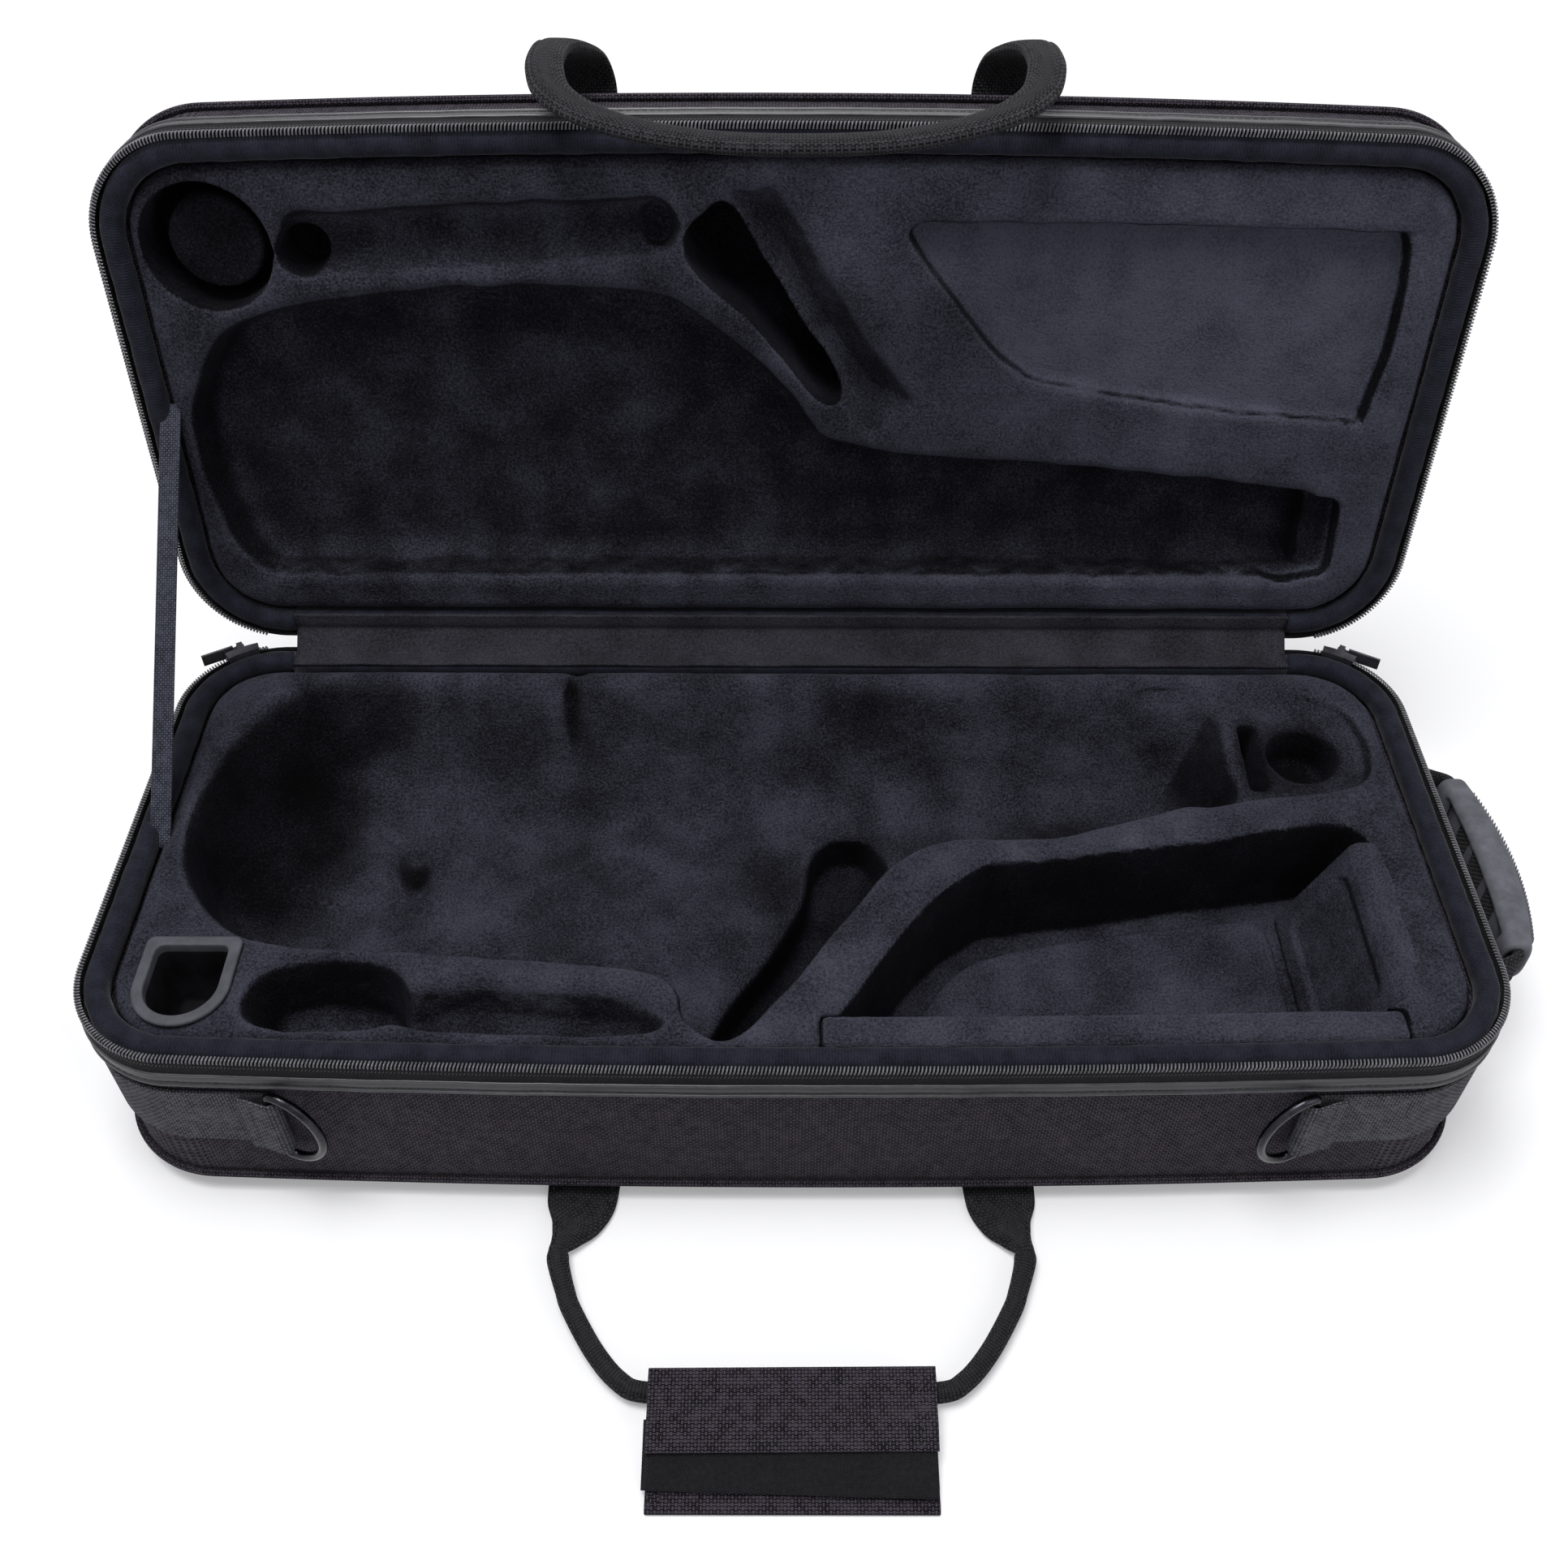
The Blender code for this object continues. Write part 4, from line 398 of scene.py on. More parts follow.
def level(side, drop):
    """Height of a level, a distance from the rim plane into the base (-1) or lid (+1)."""
    return RIM_Z + side * drop


print("plan length", round(float(run_lengths(plan())[-1]), 3), "m")

# %% [markdown]
# Most of the trim is a profile drawn along a path: at every point of the path the profile is
# set square to it. The same loft makes walls, tapes, rolls and straps. It writes a UV map in
# metres, so that a weave keeps its size and follows the piece round its corners.

# %% Lofting
def new_object(name, mesh, material):
    mesh.name = name
    mesh.materials.clear()
    mesh.materials.append(material)
    made = bpy.data.objects.new(name, mesh)
    bpy.context.scene.collection.objects.link(made)
    return made


def rework(mesh, *steps):
    """Runs steps on a bmesh copy of the mesh, and writes it back with smooth shading."""
    work = bmesh.new()
    work.from_mesh(mesh)
    for step in steps:
        step(work)
    work.to_mesh(mesh)
    work.free()
    mesh.shade_smooth()


def turn_outward(work):
    bmesh.ops.recalc_face_normals(work, faces=work.faces)


def loft(name, rings, material, closed_run=False):
    """A surface through rings of points. U follows the run and V the ring, in metres."""
    rings = np.array(rings, float)
    count, size = rings.shape[:2]
    mesh = bpy.data.meshes.new(name)
    centre = rings.mean(axis=1)
    run = run_lengths(np.r_[centre, centre[:1]])
    girth = run_lengths(np.r_[rings[0], rings[0][:1]])
    faces, uv = [], []
    for i in range(count if closed_run else count - 1):
        for j in range(size):
            this, after = i * size, (i + 1) % count * size
            faces.append((this + j, this + (j + 1) % size, after + (j + 1) % size, after + j))
            uv += [(run[i], girth[j]), (run[i], girth[j + 1]), (run[i + 1], girth[j + 1]),
                   (run[i + 1], girth[j])]
    if not closed_run:
        caps = [tuple(range(size))[::-1], tuple(range((count - 1) * size, count * size))]
        faces += caps
        ends = rings.reshape(-1, 3)[[index for cap in caps for index in cap]]
        uv += [(x + y, z) for x, y, z in ends]
    mesh.from_pydata(rings.reshape(-1, 3).tolist(), [], faces)
    mesh.uv_layers.new(name="run").data.foreach_set("uv", np.array(uv).ravel())
    rework(mesh, turn_outward)
    return new_object(name, mesh, material)


def round_the_plan(profile, start_deg=0.0, back_run=None, spacing=3 * MM, side=-1, closed=False,
                   ripple=None):
    """Rings that carry a profile of (inset, drop) points along the plan.

    Ripple gives a small change of inset for a place along the run and a point of the profile.
    """
    base = even(plan(0.0, start_deg, back_run), spacing, closed)
    ahead = np.roll(base, -1, axis=0) - np.roll(base, 1, axis=0)
    if not closed:
        ahead[0], ahead[-1] = base[1] - base[0], base[-1] - base[-2]
    ahead /= np.linalg.norm(ahead, axis=1)[:, None]
    inward = np.c_[-ahead[:, 1], ahead[:, 0]]
    rings = []
    for i, (point, way) in enumerate(zip(base, inward)):
        rows = []
        for k, (inset, drop) in enumerate(profile):
            more = ripple(i * spacing, k) if ripple else 0.0
            rows.append((*(point + way * (inset + more)), level(side, drop)))
        rings.append(rows)
    return np.array(rings)


def finish(piece, body, slot, *replaced):
    """The calls that every piece ends with: its body and the solids it covers; its slot is not
    used.
    """
    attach(piece, body)
    if replaced:
        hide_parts(*replaced)
    count = sum(len(face.vertices) - 2 for face in piece.data.polygons)
    print(piece.name, "on", body, "with", count, "triangles")
    return piece


def finish_across(piece, first, second, start, end, slot, *replaced):
    """For cloth that crosses a joint: bakes its place and hides the solids it covers; start, end
    and slot are not used.
    """
    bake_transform(piece)
    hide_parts(*replaced)
    print(piece.name, "bends between", first, "and", second)


def weave_level_faces(piece):
    """Gives the faces that lie level a weave of their own, square to the case."""
    layer = piece.data.uv_layers["run"].data
    for face in piece.data.polygons:
        if abs(face.normal.z) > 0.6:
            for loop in face.loop_indices:
                corner = piece.data.loops[loop].vertex_index
                layer[loop].uv = piece.data.vertices[corner].co.xy


def to_open_lid(piece):
    piece.data.transform(OPEN_LID)
    return piece


# Which way each half goes from the rim plane, its body, and its height.
HALVES = ((-1, "base", BASE_HEIGHT), (1, "lid", LID_HEIGHT))
print("loft ready")

# %% [markdown]
# Each mould is a block with hollows sunk in it. Plush over foam has no sharp edge, so the block
# is written as a distance field: for each hollow the distance to its outline and its floor,
# with round lips and round floor corners worked out by the field itself. A surface is then
# drawn where the field is zero, as one closed skin.

# %% Distance fields
BASE_CELL, LID_CELL = 2.0 * MM, 1.6 * MM
INSERT_HALF_LENGTH = CASE_LENGTH / 2 - INSERT_SETBACK
INSERT_HALF_DEPTH = CASE_DEPTH / 2 - INSERT_SETBACK
FACE_DROP = 4 * MM
FLOOR_BOARD = 4.3 * MM


def placed(shares):
    """Points given as shares of the insert's half length and half depth."""
    return bowed([(x * INSERT_HALF_LENGTH, y * INSERT_HALF_DEPTH) for x, y in shares])


def bend(a, b, c, d, t):
    """A point of the smooth curve from b to c, where a lies before b and d after c."""
    return 0.5 * (2 * b + (c - a) * t + (2 * a - 5 * b + 4 * c - d) * t ** 2
                  + (3 * b - a - 3 * c + d) * t ** 3)


def smooth_loop(points, steps=6):
    """A closed curve through the points, without corners."""
    points = np.array(points, float)
    return np.array([bend(*(points[(i + k) % len(points)] for k in (-1, 0, 1, 2)), t)
                     for i in range(len(points)) for t in np.arange(steps) / steps])


def loop_distance(loop, x, y):
    """Signed distance from each x, y to a closed loop, below zero inside it."""
    nearest = np.full(x.shape, 1e9)
    inside = np.zeros(x.shape, bool)
    for a, b in zip(loop, np.roll(loop, -1, axis=0)):
        ex, ey = b - a
        reach = max(ex * ex + ey * ey, 1e-18)
        along = np.clip(((x - a[0]) * ex + (y - a[1]) * ey) / reach, 0, 1)
        nearest = np.minimum(nearest, np.hypot(x - a[0] - ex * along, y - a[1] - ey * along))
        if a[1] != b[1]:
            cross = (a[1] > y) != (b[1] > y)
            inside ^= cross & (x < (b[0] - a[0]) * (y - a[1]) / (b[1] - a[1]) + a[0])
    return np.where(inside, -nearest, nearest)


def meet(a, b, radius):
    """Where both fields are inside, with a round edge."""
    corner = np.hypot(np.maximum(a + radius, 0), np.maximum(b + radius, 0))
    return np.minimum(-radius, np.maximum(a, b)) + corner


def join(a, b, radius):
    """Where either field is inside, with a round inner corner."""
    corner = np.hypot(np.maximum(radius - a, 0), np.maximum(radius - b, 0))
    return np.maximum(radius, np.minimum(a, b)) - corner


def line_distance(points, x, y, z):
    """Distance to a run of straight lines, given in mm."""
    nearest = np.full(np.broadcast(x, y, z).shape, 1e9)
    points = np.array(points, float) * MM
    for a, b in zip(points, points[1:]):
        e = b - a
        along = (x - a[0]) * e[0] + (y - a[1]) * e[1] + (z - a[2]) * e[2]
        along = np.clip(along / (e @ e), 0, 1)
        gap = np.sqrt((x - a[0] - e[0] * along) ** 2 + (y - a[1] - e[1] * along) ** 2
                      + (z - a[2] - e[2] * along) ** 2)
        nearest = np.minimum(nearest, gap)
    return nearest


def swell(x, y, size, seed):
    """A slow, even unevenness between -1 and 1, from a few crossing waves."""
    rng = np.random.default_rng(seed)
    total = np.zeros(np.broadcast(x, y).shape)
    for _ in range(7):
        turn, phase = rng.uniform(0, 2 * pi, 2)
        length = size * rng.uniform(0.7, 1.6)
        total = total + np.sin((x * cos(turn) + y * sin(turn)) * 2 * pi / length + phase)
    return total / 4


def skin(field, low, cell):
    """The surface where a field on a grid is zero: one point in each crossed cell."""
    sign = field < 0
    shape = tuple(n - 1 for n in field.shape)
    total = np.zeros(shape + (3,))
    hits = np.zeros(shape)
    corners = [(i, j, k) for i in (0, 1) for j in (0, 1) for k in (0, 1)]
    view = {c: tuple(slice(c[d], c[d] + shape[d]) for d in range(3)) for c in corners}
    for a in corners:
        for d in range(3):
            if a[d]:
                continue
            b = tuple(a[n] + (n == d) for n in range(3))
            fa, fb = field[view[a]], field[view[b]]
            cross = sign[view[a]] != sign[view[b]]
            part = np.where(cross, fa / np.where(cross, fa - fb, 1), 0)
            for n in range(3):
                total[..., n] += np.where(cross, a[n] + (part if n == d else 0), 0)
            hits += cross
    used = hits > 0
    index = np.full(shape, -1)
    index[used] = np.arange(used.sum())
    spots = np.argwhere(used) + total[used] / hits[used][:, None]
    faces = []
    for d in range(3):
        u, v = [n for n in range(3) if n != d]
        head = [slice(None)] * 3
        tail = [slice(None)] * 3
        head[d], tail[d] = slice(0, -1), slice(1, None)
        cross = sign[tuple(head)] != sign[tuple(tail)]
        edges = np.argwhere(cross)
        edges = edges[(edges[:, u] > 0) & (edges[:, v] > 0)
                      & (edges[:, u] < shape[u]) & (edges[:, v] < shape[v])]
        quad = []
        for du, dv in ((1, 1), (0, 1), (0, 0), (1, 0)):
            at = edges.copy()
            at[:, u] -= du
            at[:, v] -= dv
            quad.append(index[tuple(at.T)])
        quad = np.stack(quad, 1)
        flip = sign[tuple(edges.T)] == (d == 1)
        quad[flip] = quad[flip][:, ::-1]
        faces.append(quad)
    return spots * cell + low, np.concatenate(faces)


print("field helpers ready, cells", round(BASE_CELL / MM, 2), round(LID_CELL / MM, 2), "mm")

# %% [markdown]
# The base mould: the long hollow for the body, the deep slanted slot for the bell's rim, a
# pocket and a shallow trough for the neck, the accessory space and the round end socket. Each
# outline is a list of shares of the mould's half length and half depth. Where shade falls in a
# corner or a crease, a stroke paints it darker, only below the face.

# %% Base hollows
BASE_HOLLOWS = (
    # Outline, then in mm: depth, lip radius, floor radius. Then how far the walls lean, and how
    # light the floor is painted: low where it lies in shade.
    ("body", [
        (-0.76, 0.895), (0.0, 0.895), (0.52, 0.895), (0.71, 0.870), (0.748, 0.740),
        (0.750, 0.50), (0.740, 0.260), (0.641, 0.185), (0.434, 0.022), (0.250, 0.000),
        (0.165, -0.110), (0.100, -0.320), (0.035, -0.560), (-0.031, -0.800), (-0.082, -0.940),
        (-0.130, -0.930), (-0.152, -0.814), (-0.225, -0.650), (-0.508, -0.590),
        (-0.790, -0.545), (-0.895, -0.385), (-0.955, -0.100), (-0.960, 0.260),
        (-0.925, 0.620), (-0.860, 0.825)], 60, 5, 20, 0.05, 0.36),
    ("shelf", [
        (0.60, 0.890), (0.72, 0.893), (0.86, 0.87), (0.950, 0.74), (0.966, 0.47),
        (0.925, 0.285), (0.763, 0.215), (0.66, 0.180), (0.60, 0.35), (0.58, 0.60)], 9, 4, 5,
     0.1, 0.32),
    ("bell slot", [
        (0.085, -0.360), (0.025, -0.580), (-0.040, -0.820), (-0.085, -0.935),
        (-0.130, -0.920), (-0.160, -0.800), (-0.095, -0.450), (-0.030, -0.190),
        (0.020, 0.080), (0.035, 0.330), (0.075, 0.450), (0.135, 0.420), (0.170, 0.200),
        (0.150, -0.020)], 86, 4, 6, 0.0, 0.05),
    ("neck pocket", [
        (-0.800, -0.830), (-0.775, -0.670), (-0.690, -0.615), (-0.605, -0.640),
        (-0.563, -0.740), (-0.560, -0.870), (-0.600, -0.935), (-0.695, -0.950),
        (-0.775, -0.930)], 40, 4, 10, 0.18, 0.25),
    ("neck trough", [
        (-0.585, -0.800), (-0.510, -0.735), (-0.380, -0.735), (-0.250, -0.760),
        (-0.190, -0.860), (-0.195, -0.920), (-0.260, -0.948), (-0.400, -0.948),
        (-0.540, -0.935), (-0.585, -0.890)], 26, 4, 9, 0.28, 0.32),
    ("accessory space", [
        (0.068, -0.900), (0.105, -0.720), (0.205, -0.345), (0.290, -0.158), (0.330, -0.122),
        (0.430, -0.098), (0.668, -0.010), (0.850, 0.068), (0.905, 0.030), (0.918, -0.120),
        (0.918, -0.500), (0.906, -0.750), (0.862, -0.850), (0.780, -0.910), (0.500, -0.925),
        (0.200, -0.925)], 60, 3.5, 5, 0.0, 0.38),
)
CUP_X, CUP_BACK = -262 * MM, -64.5 * MM
CUP_HALF_WIDTH, CUP_LENGTH = 21 * MM, 47 * MM
RAIL_START, RAIL_LENGTH, RAIL_WIDTH = 11.8 * MM, 249 * MM, 15.5 * MM
SOCKET = placed([(0.866, 0.540)])[0]
SOCKET_RADIUS, SOCKET_DEPTH = 17.5 * MM, 34 * MM
# Painted shade, where shade falls in corners and creases: centre, half sizes in mm, how dark it
# gets.
BASE_SHADE_STROKES = ((-258, 46, 36, 58, 1.0), (-190, 23, 7, 8, 1.0), (-113, 97, 4, 10, 1.0),
                (-100, 92, 16, 9, 0.45), (-245, 95, 60, 14, 0.5), (40, 96, 26, 9, 0.4),
                (SOCKET[0] / MM, SOCKET[1] / MM, 19, 19, 1.0),
                (SOCKET[0] / MM - 25, SOCKET[1] / MM, 9, 24, 0.9),
                (-12, 20, 14, 24, 0.35), (150, 50, 22, 10, 0.4), (262, -62, 22, 40, 0.7))
LID_CUP, LID_PEG = placed([(-0.884, -0.676), (-0.744, -0.640)])
# Painted shade in the lid's round cup recess.
LID_SHADE_STROKES = ((LID_CUP[0] / MM, LID_CUP[1] / MM, 27, 27, 0.75),)


def cup_plan(inset):
    """The cup's plan: straight behind, round in front."""
    half, corner = CUP_HALF_WIDTH - inset, 3.5 * MM
    back = CUP_BACK - inset
    middle = CUP_BACK - CUP_LENGTH + CUP_HALF_WIDTH
    return np.r_[arc(CUP_X - half + corner, back - corner, corner, 90, 180, 4),
                 arc(CUP_X, middle, half, 180, 360, 28),
                 arc(CUP_X + half - corner, back - corner, corner, 0, 90, 4)]


CUP_POINTS = len(cup_plan(0))


def grid(height, cell):
    """Coordinates of the mould's grid. Depth is measured down from the mould's face."""
    reach_x, reach_y = INSERT_HALF_LENGTH + 3 * cell, INSERT_HALF_DEPTH + 3 * cell
    low = np.array([-reach_x, -reach_y - FRONT_BOW, -3 * cell])
    high = np.array([reach_x, reach_y, height + 3 * cell])
    counts = np.ceil((high - low) / cell).astype(int) + 1
    axes = [low[d] + cell * np.arange(counts[d]) for d in range(3)]
    x, y = np.meshgrid(axes[0], axes[1], indexing="ij")
    return low, x, y, axes[2][None, None, :]


MOULD_EDGE = plan(INSERT_SETBACK, corner_steps=10, front_steps=20)


def block(x, y, depth, height):
    """The plain mould. It crowns a little between its edges."""
    edge = loop_distance(MOULD_EDGE, x, y) + 0.6 * MM
    face = -depth - 0.5 * MM * swell(x, y, 60 * MM, 3)[..., None]
    return meet(meet(edge[..., None], face, 6.5 * MM), depth - height, 1 * MM), edge


def sink(field, plan_gap, depth, floor, lip, corner, lean=0.0):
    """Takes a hollow out of the field: plan distance, floor depth, and their round edges."""
    hollow = meet(plan_gap[..., None] + lean * depth, depth - floor, corner)
    return meet(field, -hollow, lip)


def base_field():
    height = BASE_HEIGHT - FACE_DROP - FLOOR_BOARD
    low, x, y, depth = grid(height, BASE_CELL)
    field, edge = block(x, y, depth, height)
    wobble = 0.5 * MM * swell(x, y, 34 * MM, 5)
    floor_wave = 2.0 * MM * swell(x, y, 85 * MM, 8)[..., None]
    back_slope = 0.45 * np.clip(y / (70 * MM), 0, 1)[..., None]
    for name, shares, floor, lip, corner, lean, _ in BASE_HOLLOWS:
        gap = loop_distance(smooth_loop(placed(shares)), x, y) + wobble
        if name == "body":
            lean = lean + back_slope
        field = sink(field, gap, depth, floor * MM + floor_wave, lip * MM, corner * MM, lean)
    socket = np.hypot(x - SOCKET[0], y - SOCKET[1]) - SOCKET_RADIUS
    field = sink(field, socket, depth, SOCKET_DEPTH, 3 * MM, 5 * MM)
    slot_x = SOCKET[0] - 25.5 * MM
    slot = np.maximum(abs(x - slot_x) - 4.5 * MM, abs(y - SOCKET[1] + 2 * MM) - 21 * MM)
    field = sink(field, slot, depth, SOCKET_DEPTH, 1.4 * MM, 3 * MM)
    cup = loop_distance(cup_plan(3.9 * MM), x, y)
    field = sink(field, cup, depth, 41 * MM, 0.6 * MM, 1 * MM)
    rail = np.maximum(np.maximum(RAIL_START - x, x - RAIL_START - RAIL_LENGTH),
                      np.maximum(-edge - RAIL_WIDTH, y + 50 * MM))
    field = sink(field, rail - 0.3 * MM, depth, 13 * MM, 0.8 * MM, 0.8 * MM)
    place = (x[..., None], y[..., None], depth)
    bump = line_distance([(-214, 30, 66), (-206, 20, 66)], *place)
    crease = line_distance([(-155, -100.5, 27), (-65, -103.5, 26.5)], *place)
    tuft = line_distance([(-192, 32, 60), (-187, 13, 60)], *place)
    pinch = line_distance([(-111, 108, 1), (-112, 100, 6), (-114, 74, 45)], *place)
    field = meet(field, 1.6 * MM - crease, 3 * MM)
    field = join(field, bump - 11 * MM, 8 * MM)
    field = meet(field, 4.5 * MM - tuft, 5 * MM)
    field = meet(field, 3.0 * MM - pinch, 4 * MM)
    return field, low


def lid_field():
    height = LID_HEIGHT - FACE_DROP - FLOOR_BOARD
    low, x, y, depth = grid(height, LID_CELL)
    field, _ = block(x, y, depth, height)
    wobble = 0.5 * MM * swell(x, y, 34 * MM, 15)
    wave = 0.7 * MM * swell(x, y, 45 * MM, 18)[..., None]
    for _, shares, floor, lip, corner, lean, _ in LID_HOLLOWS:
        gap = loop_distance(smooth_loop(placed(shares)), x, y) + wobble
        field = sink(field, gap, depth, floor * MM + wave, lip * MM, corner * MM, lean)
    away = np.hypot(x - LID_CUP[0], y - LID_CUP[1])
    field = sink(field, away - 28.8 * MM, depth, 34 * MM, 2.6 * MM, 5 * MM)
    away = np.hypot(x - LID_CUP[0] - 2.5 * MM, y - LID_CUP[1])
    boss = meet((away - 21.3 * MM)[..., None], 9 * MM - depth, 2.2 * MM)
    field = join(field, np.maximum(boss, depth - height), 2 * MM)
    away = np.hypot(x - LID_PEG[0], y - LID_PEG[1])
    field = sink(field, away - 10.6 * MM, depth, 31 * MM, 2.5 * MM, 4 * MM)
    return field, low


LID_HOLLOWS = (
    ("body", [
        (-0.972, 0.080), (-0.956, -0.060), (-0.926, -0.215), (-0.880, -0.340), (-0.815, -0.410),
        (-0.721, -0.455), (-0.606, -0.488), (-0.494, -0.504), (-0.382, -0.505), (-0.271, -0.492),
        (-0.197, -0.460), (-0.150, -0.390), (-0.083, -0.255), (-0.010, -0.075), (0.025, 0.060),
        (0.060, 0.148), (0.156, 0.210), (0.204, 0.220), (0.446, 0.262), (0.691, 0.322),
        (0.820, 0.360), (0.866, 0.400), (0.878, 0.600), (0.880, 0.770), (0.850, 0.822),
        (0.500, 0.828), (0.000, 0.828), (-0.500, 0.828), (-0.850, 0.826), (-0.905, 0.812),
        (-0.942, 0.690), (-0.964, 0.477), (-0.974, 0.288)], 24, 4, 8, 0.25, 0.20),
    ("step at the body's end", [
        (0.800, 0.420), (0.880, 0.402), (0.914, 0.440), (0.922, 0.600), (0.922, 0.760),
        (0.900, 0.800), (0.820, 0.800)], 10, 2.5, 3, 0.0, 0.15),
    ("bell slot", [
        (-0.160, -0.600), (-0.162, -0.700), (-0.138, -0.775), (-0.098, -0.815),
        (-0.045, -0.580), (0.022, -0.300), (0.066, -0.130), (0.080, -0.025), (0.055, 0.000),
        (0.016, -0.095), (-0.062, -0.345), (-0.132, -0.500)], 38, 2.5, 5, 0.0, 0.0),
    ("slot's slope", [
        (-0.100, -0.840), (-0.060, -0.880), (-0.030, -0.890), (0.010, -0.760),
        (0.085, -0.420), (0.140, -0.220), (0.190, -0.056), (0.196, 0.000), (0.162, 0.070),
        (0.150, 0.135), (0.110, 0.120), (0.062, -0.020), (-0.040, -0.450)],
     25, 2, 5, 0.9, 0.34),
    ("neck trough", [
        (-0.774, -0.690), (-0.762, -0.780), (-0.731, -0.815), (-0.681, -0.808), (-0.550, -0.826),
        (-0.406, -0.836), (-0.262, -0.845), (-0.204, -0.850), (-0.178, -0.800),
        (-0.168, -0.719), (-0.182, -0.638), (-0.209, -0.598), (-0.341, -0.576),
        (-0.490, -0.554), (-0.639, -0.538), (-0.713, -0.538), (-0.756, -0.560),
        (-0.774, -0.620)], 12, 3, 8, 0.45, 0.26),
    ("scoop of the trough's end", [
        (-0.228, -0.720), (-0.222, -0.785), (-0.200, -0.800), (-0.186, -0.760),
        (-0.184, -0.690), (-0.200, -0.640), (-0.222, -0.655)], 15, 1.5, 3, 0.0, 0.20),
    ("panel", [
        (0.170, -0.694), (0.180, -0.740), (0.212, -0.756), (0.472, -0.760), (0.895, -0.758),
        (0.921, -0.732), (0.932, -0.642), (0.940, -0.383), (0.926, 0.001), (0.914, 0.062),
        (0.869, 0.058), (0.669, 0.018), (0.430, -0.078), (0.364, -0.122), (0.306, -0.247),
        (0.247, -0.427), (0.199, -0.581)], 9, 1.8, 2, 0.25, 0.85),
)
print("hollows:", len(BASE_HOLLOWS), "in the base,", len(LID_HOLLOWS), "in the lid")

# %% [markdown]
# The field becomes a mesh. Its flat hidden back becomes one face, to keep the rest for the
# plush side, and the points move by a little noise, because pile never lies quite flat.

# %% Inserts
def painted_floor_light(mesh, side):
    """Depth of every point, and the painted light and shade of the hollow or face it belongs to.
    """
    x, y, z = np.array([v.co for v in mesh.vertices]).T
    depths = side * (z - RIM_Z) - FACE_DROP
    if side < 0:
        hollows, shade_strokes, deepest, uneven = BASE_HOLLOWS, BASE_SHADE_STROKES, 64 * MM, 1.0
        floor_light = np.full(len(x), 0.40)
    else:
        hollows, shade_strokes, deepest, uneven = LID_HOLLOWS, LID_SHADE_STROKES, 26 * MM, 0.6
        # The lid's floors are painted lighter toward its right, where more light falls.
        floor_light = 0.50 * (0.55 + 0.55 * np.clip((x + 220 * MM) / (400 * MM), 0, 1))
    for _, shares, *_, light_share in hollows:
        inside = np.clip(-loop_distance(smooth_loop(placed(shares)), x, y) / (4 * MM), 0, 1)
        floor_light += (light_share - floor_light) * inside
    mottle = 0.16 * swell(x, y + 0.5 * z, 75 * MM, 33) + 0.10 * swell(x, y - 0.5 * z, 27 * MM, 34)
    floor_light *= 1 + mottle * uneven
    # Painted shade strokes, only below the face.
    for across, deep, wide, long, dark in shade_strokes:
        away = ((x / MM - across) / wide) ** 2 + ((y / MM - deep) / long) ** 2
        floor_light -= (floor_light + 0.3) * dark * np.exp(-away ** 2) * np.clip(depths / (6 * MM), 0, 1)
    # The deepest parts are painted darker still, for the shade down there.
    return depths, floor_light * (1 - 0.8 * np.clip((depths - deepest) / (8 * MM), 0, 1))


def add_insert(side, tag, make_field, cell, seed):
    field, low = make_field()
    spots, quads = skin(field, low, cell)
    depth = spots[:, 2].copy()
    spots[:, 2] = RIM_Z + side * (FACE_DROP + depth)
    if side < 0:
        quads = quads[:, ::-1]
    mesh = bpy.data.meshes.new(tag + "_plush_insert")
    mesh.from_pydata(spots.tolist(), [], quads.tolist())
    back = RIM_Z + side * (FACE_DROP + depth.max() - 0.6 * cell)

    def close_back(work):
        hidden = [face for face in work.faces
                  if all((v.co.z - back) * side > 0 for v in face.verts)]
        bmesh.ops.delete(work, geom=hidden, context="FACES")
        rim = [edge for edge in work.edges if edge.is_boundary]
        bmesh.ops.holes_fill(work, edges=rim, sides=0)

    def ruffle(work):
        offset = Vector((seed, 0, 0))
        for v in work.verts:
            lump = noise.noise(v.co / (7 * MM) + offset)
            lump += 0.5 * noise.noise(v.co / (3 * MM) + offset)
            v.co += v.normal * 0.22 * MM * lump
    rework(mesh, close_back, turn_outward, ruffle)
    # The plush colour follows this painted light and shade.
    lay_painted_light(mesh, (0, 0, -side), *painted_floor_light(mesh, side))
    return new_object(tag + "_plush_insert", mesh, INSERT_PLUSH)


for side, tag, make_field, cell, seed in ((-1, "base", base_field, BASE_CELL, 1),
                                          (1, "lid", lid_field, LID_CELL, 2)):
    mould = add_insert(side, tag, make_field, cell, seed)
    if side > 0:
        to_open_lid(mould)
    finish(mould, tag, "insert_plush",
           *[name for name in nodes if name.startswith(tag + "_insert")])

# %% [markdown]
# Each wall is foam board under ballistic nylon. Its profile runs from the middle of the floor
# round the soft edge, up the wall, over the rim and down inside. Cloth glued to foam is never
# dead straight, so the wall waves by less than a millimetre.

# %% Walls
WALL_INSIDE, WALL_CORE, RIM_STEP = 14.6 * MM, 34 * MM, 12 * MM
# The points of the profile on the wall's outer face, which may wave.
OUTER_POINTS = range(4, 20)


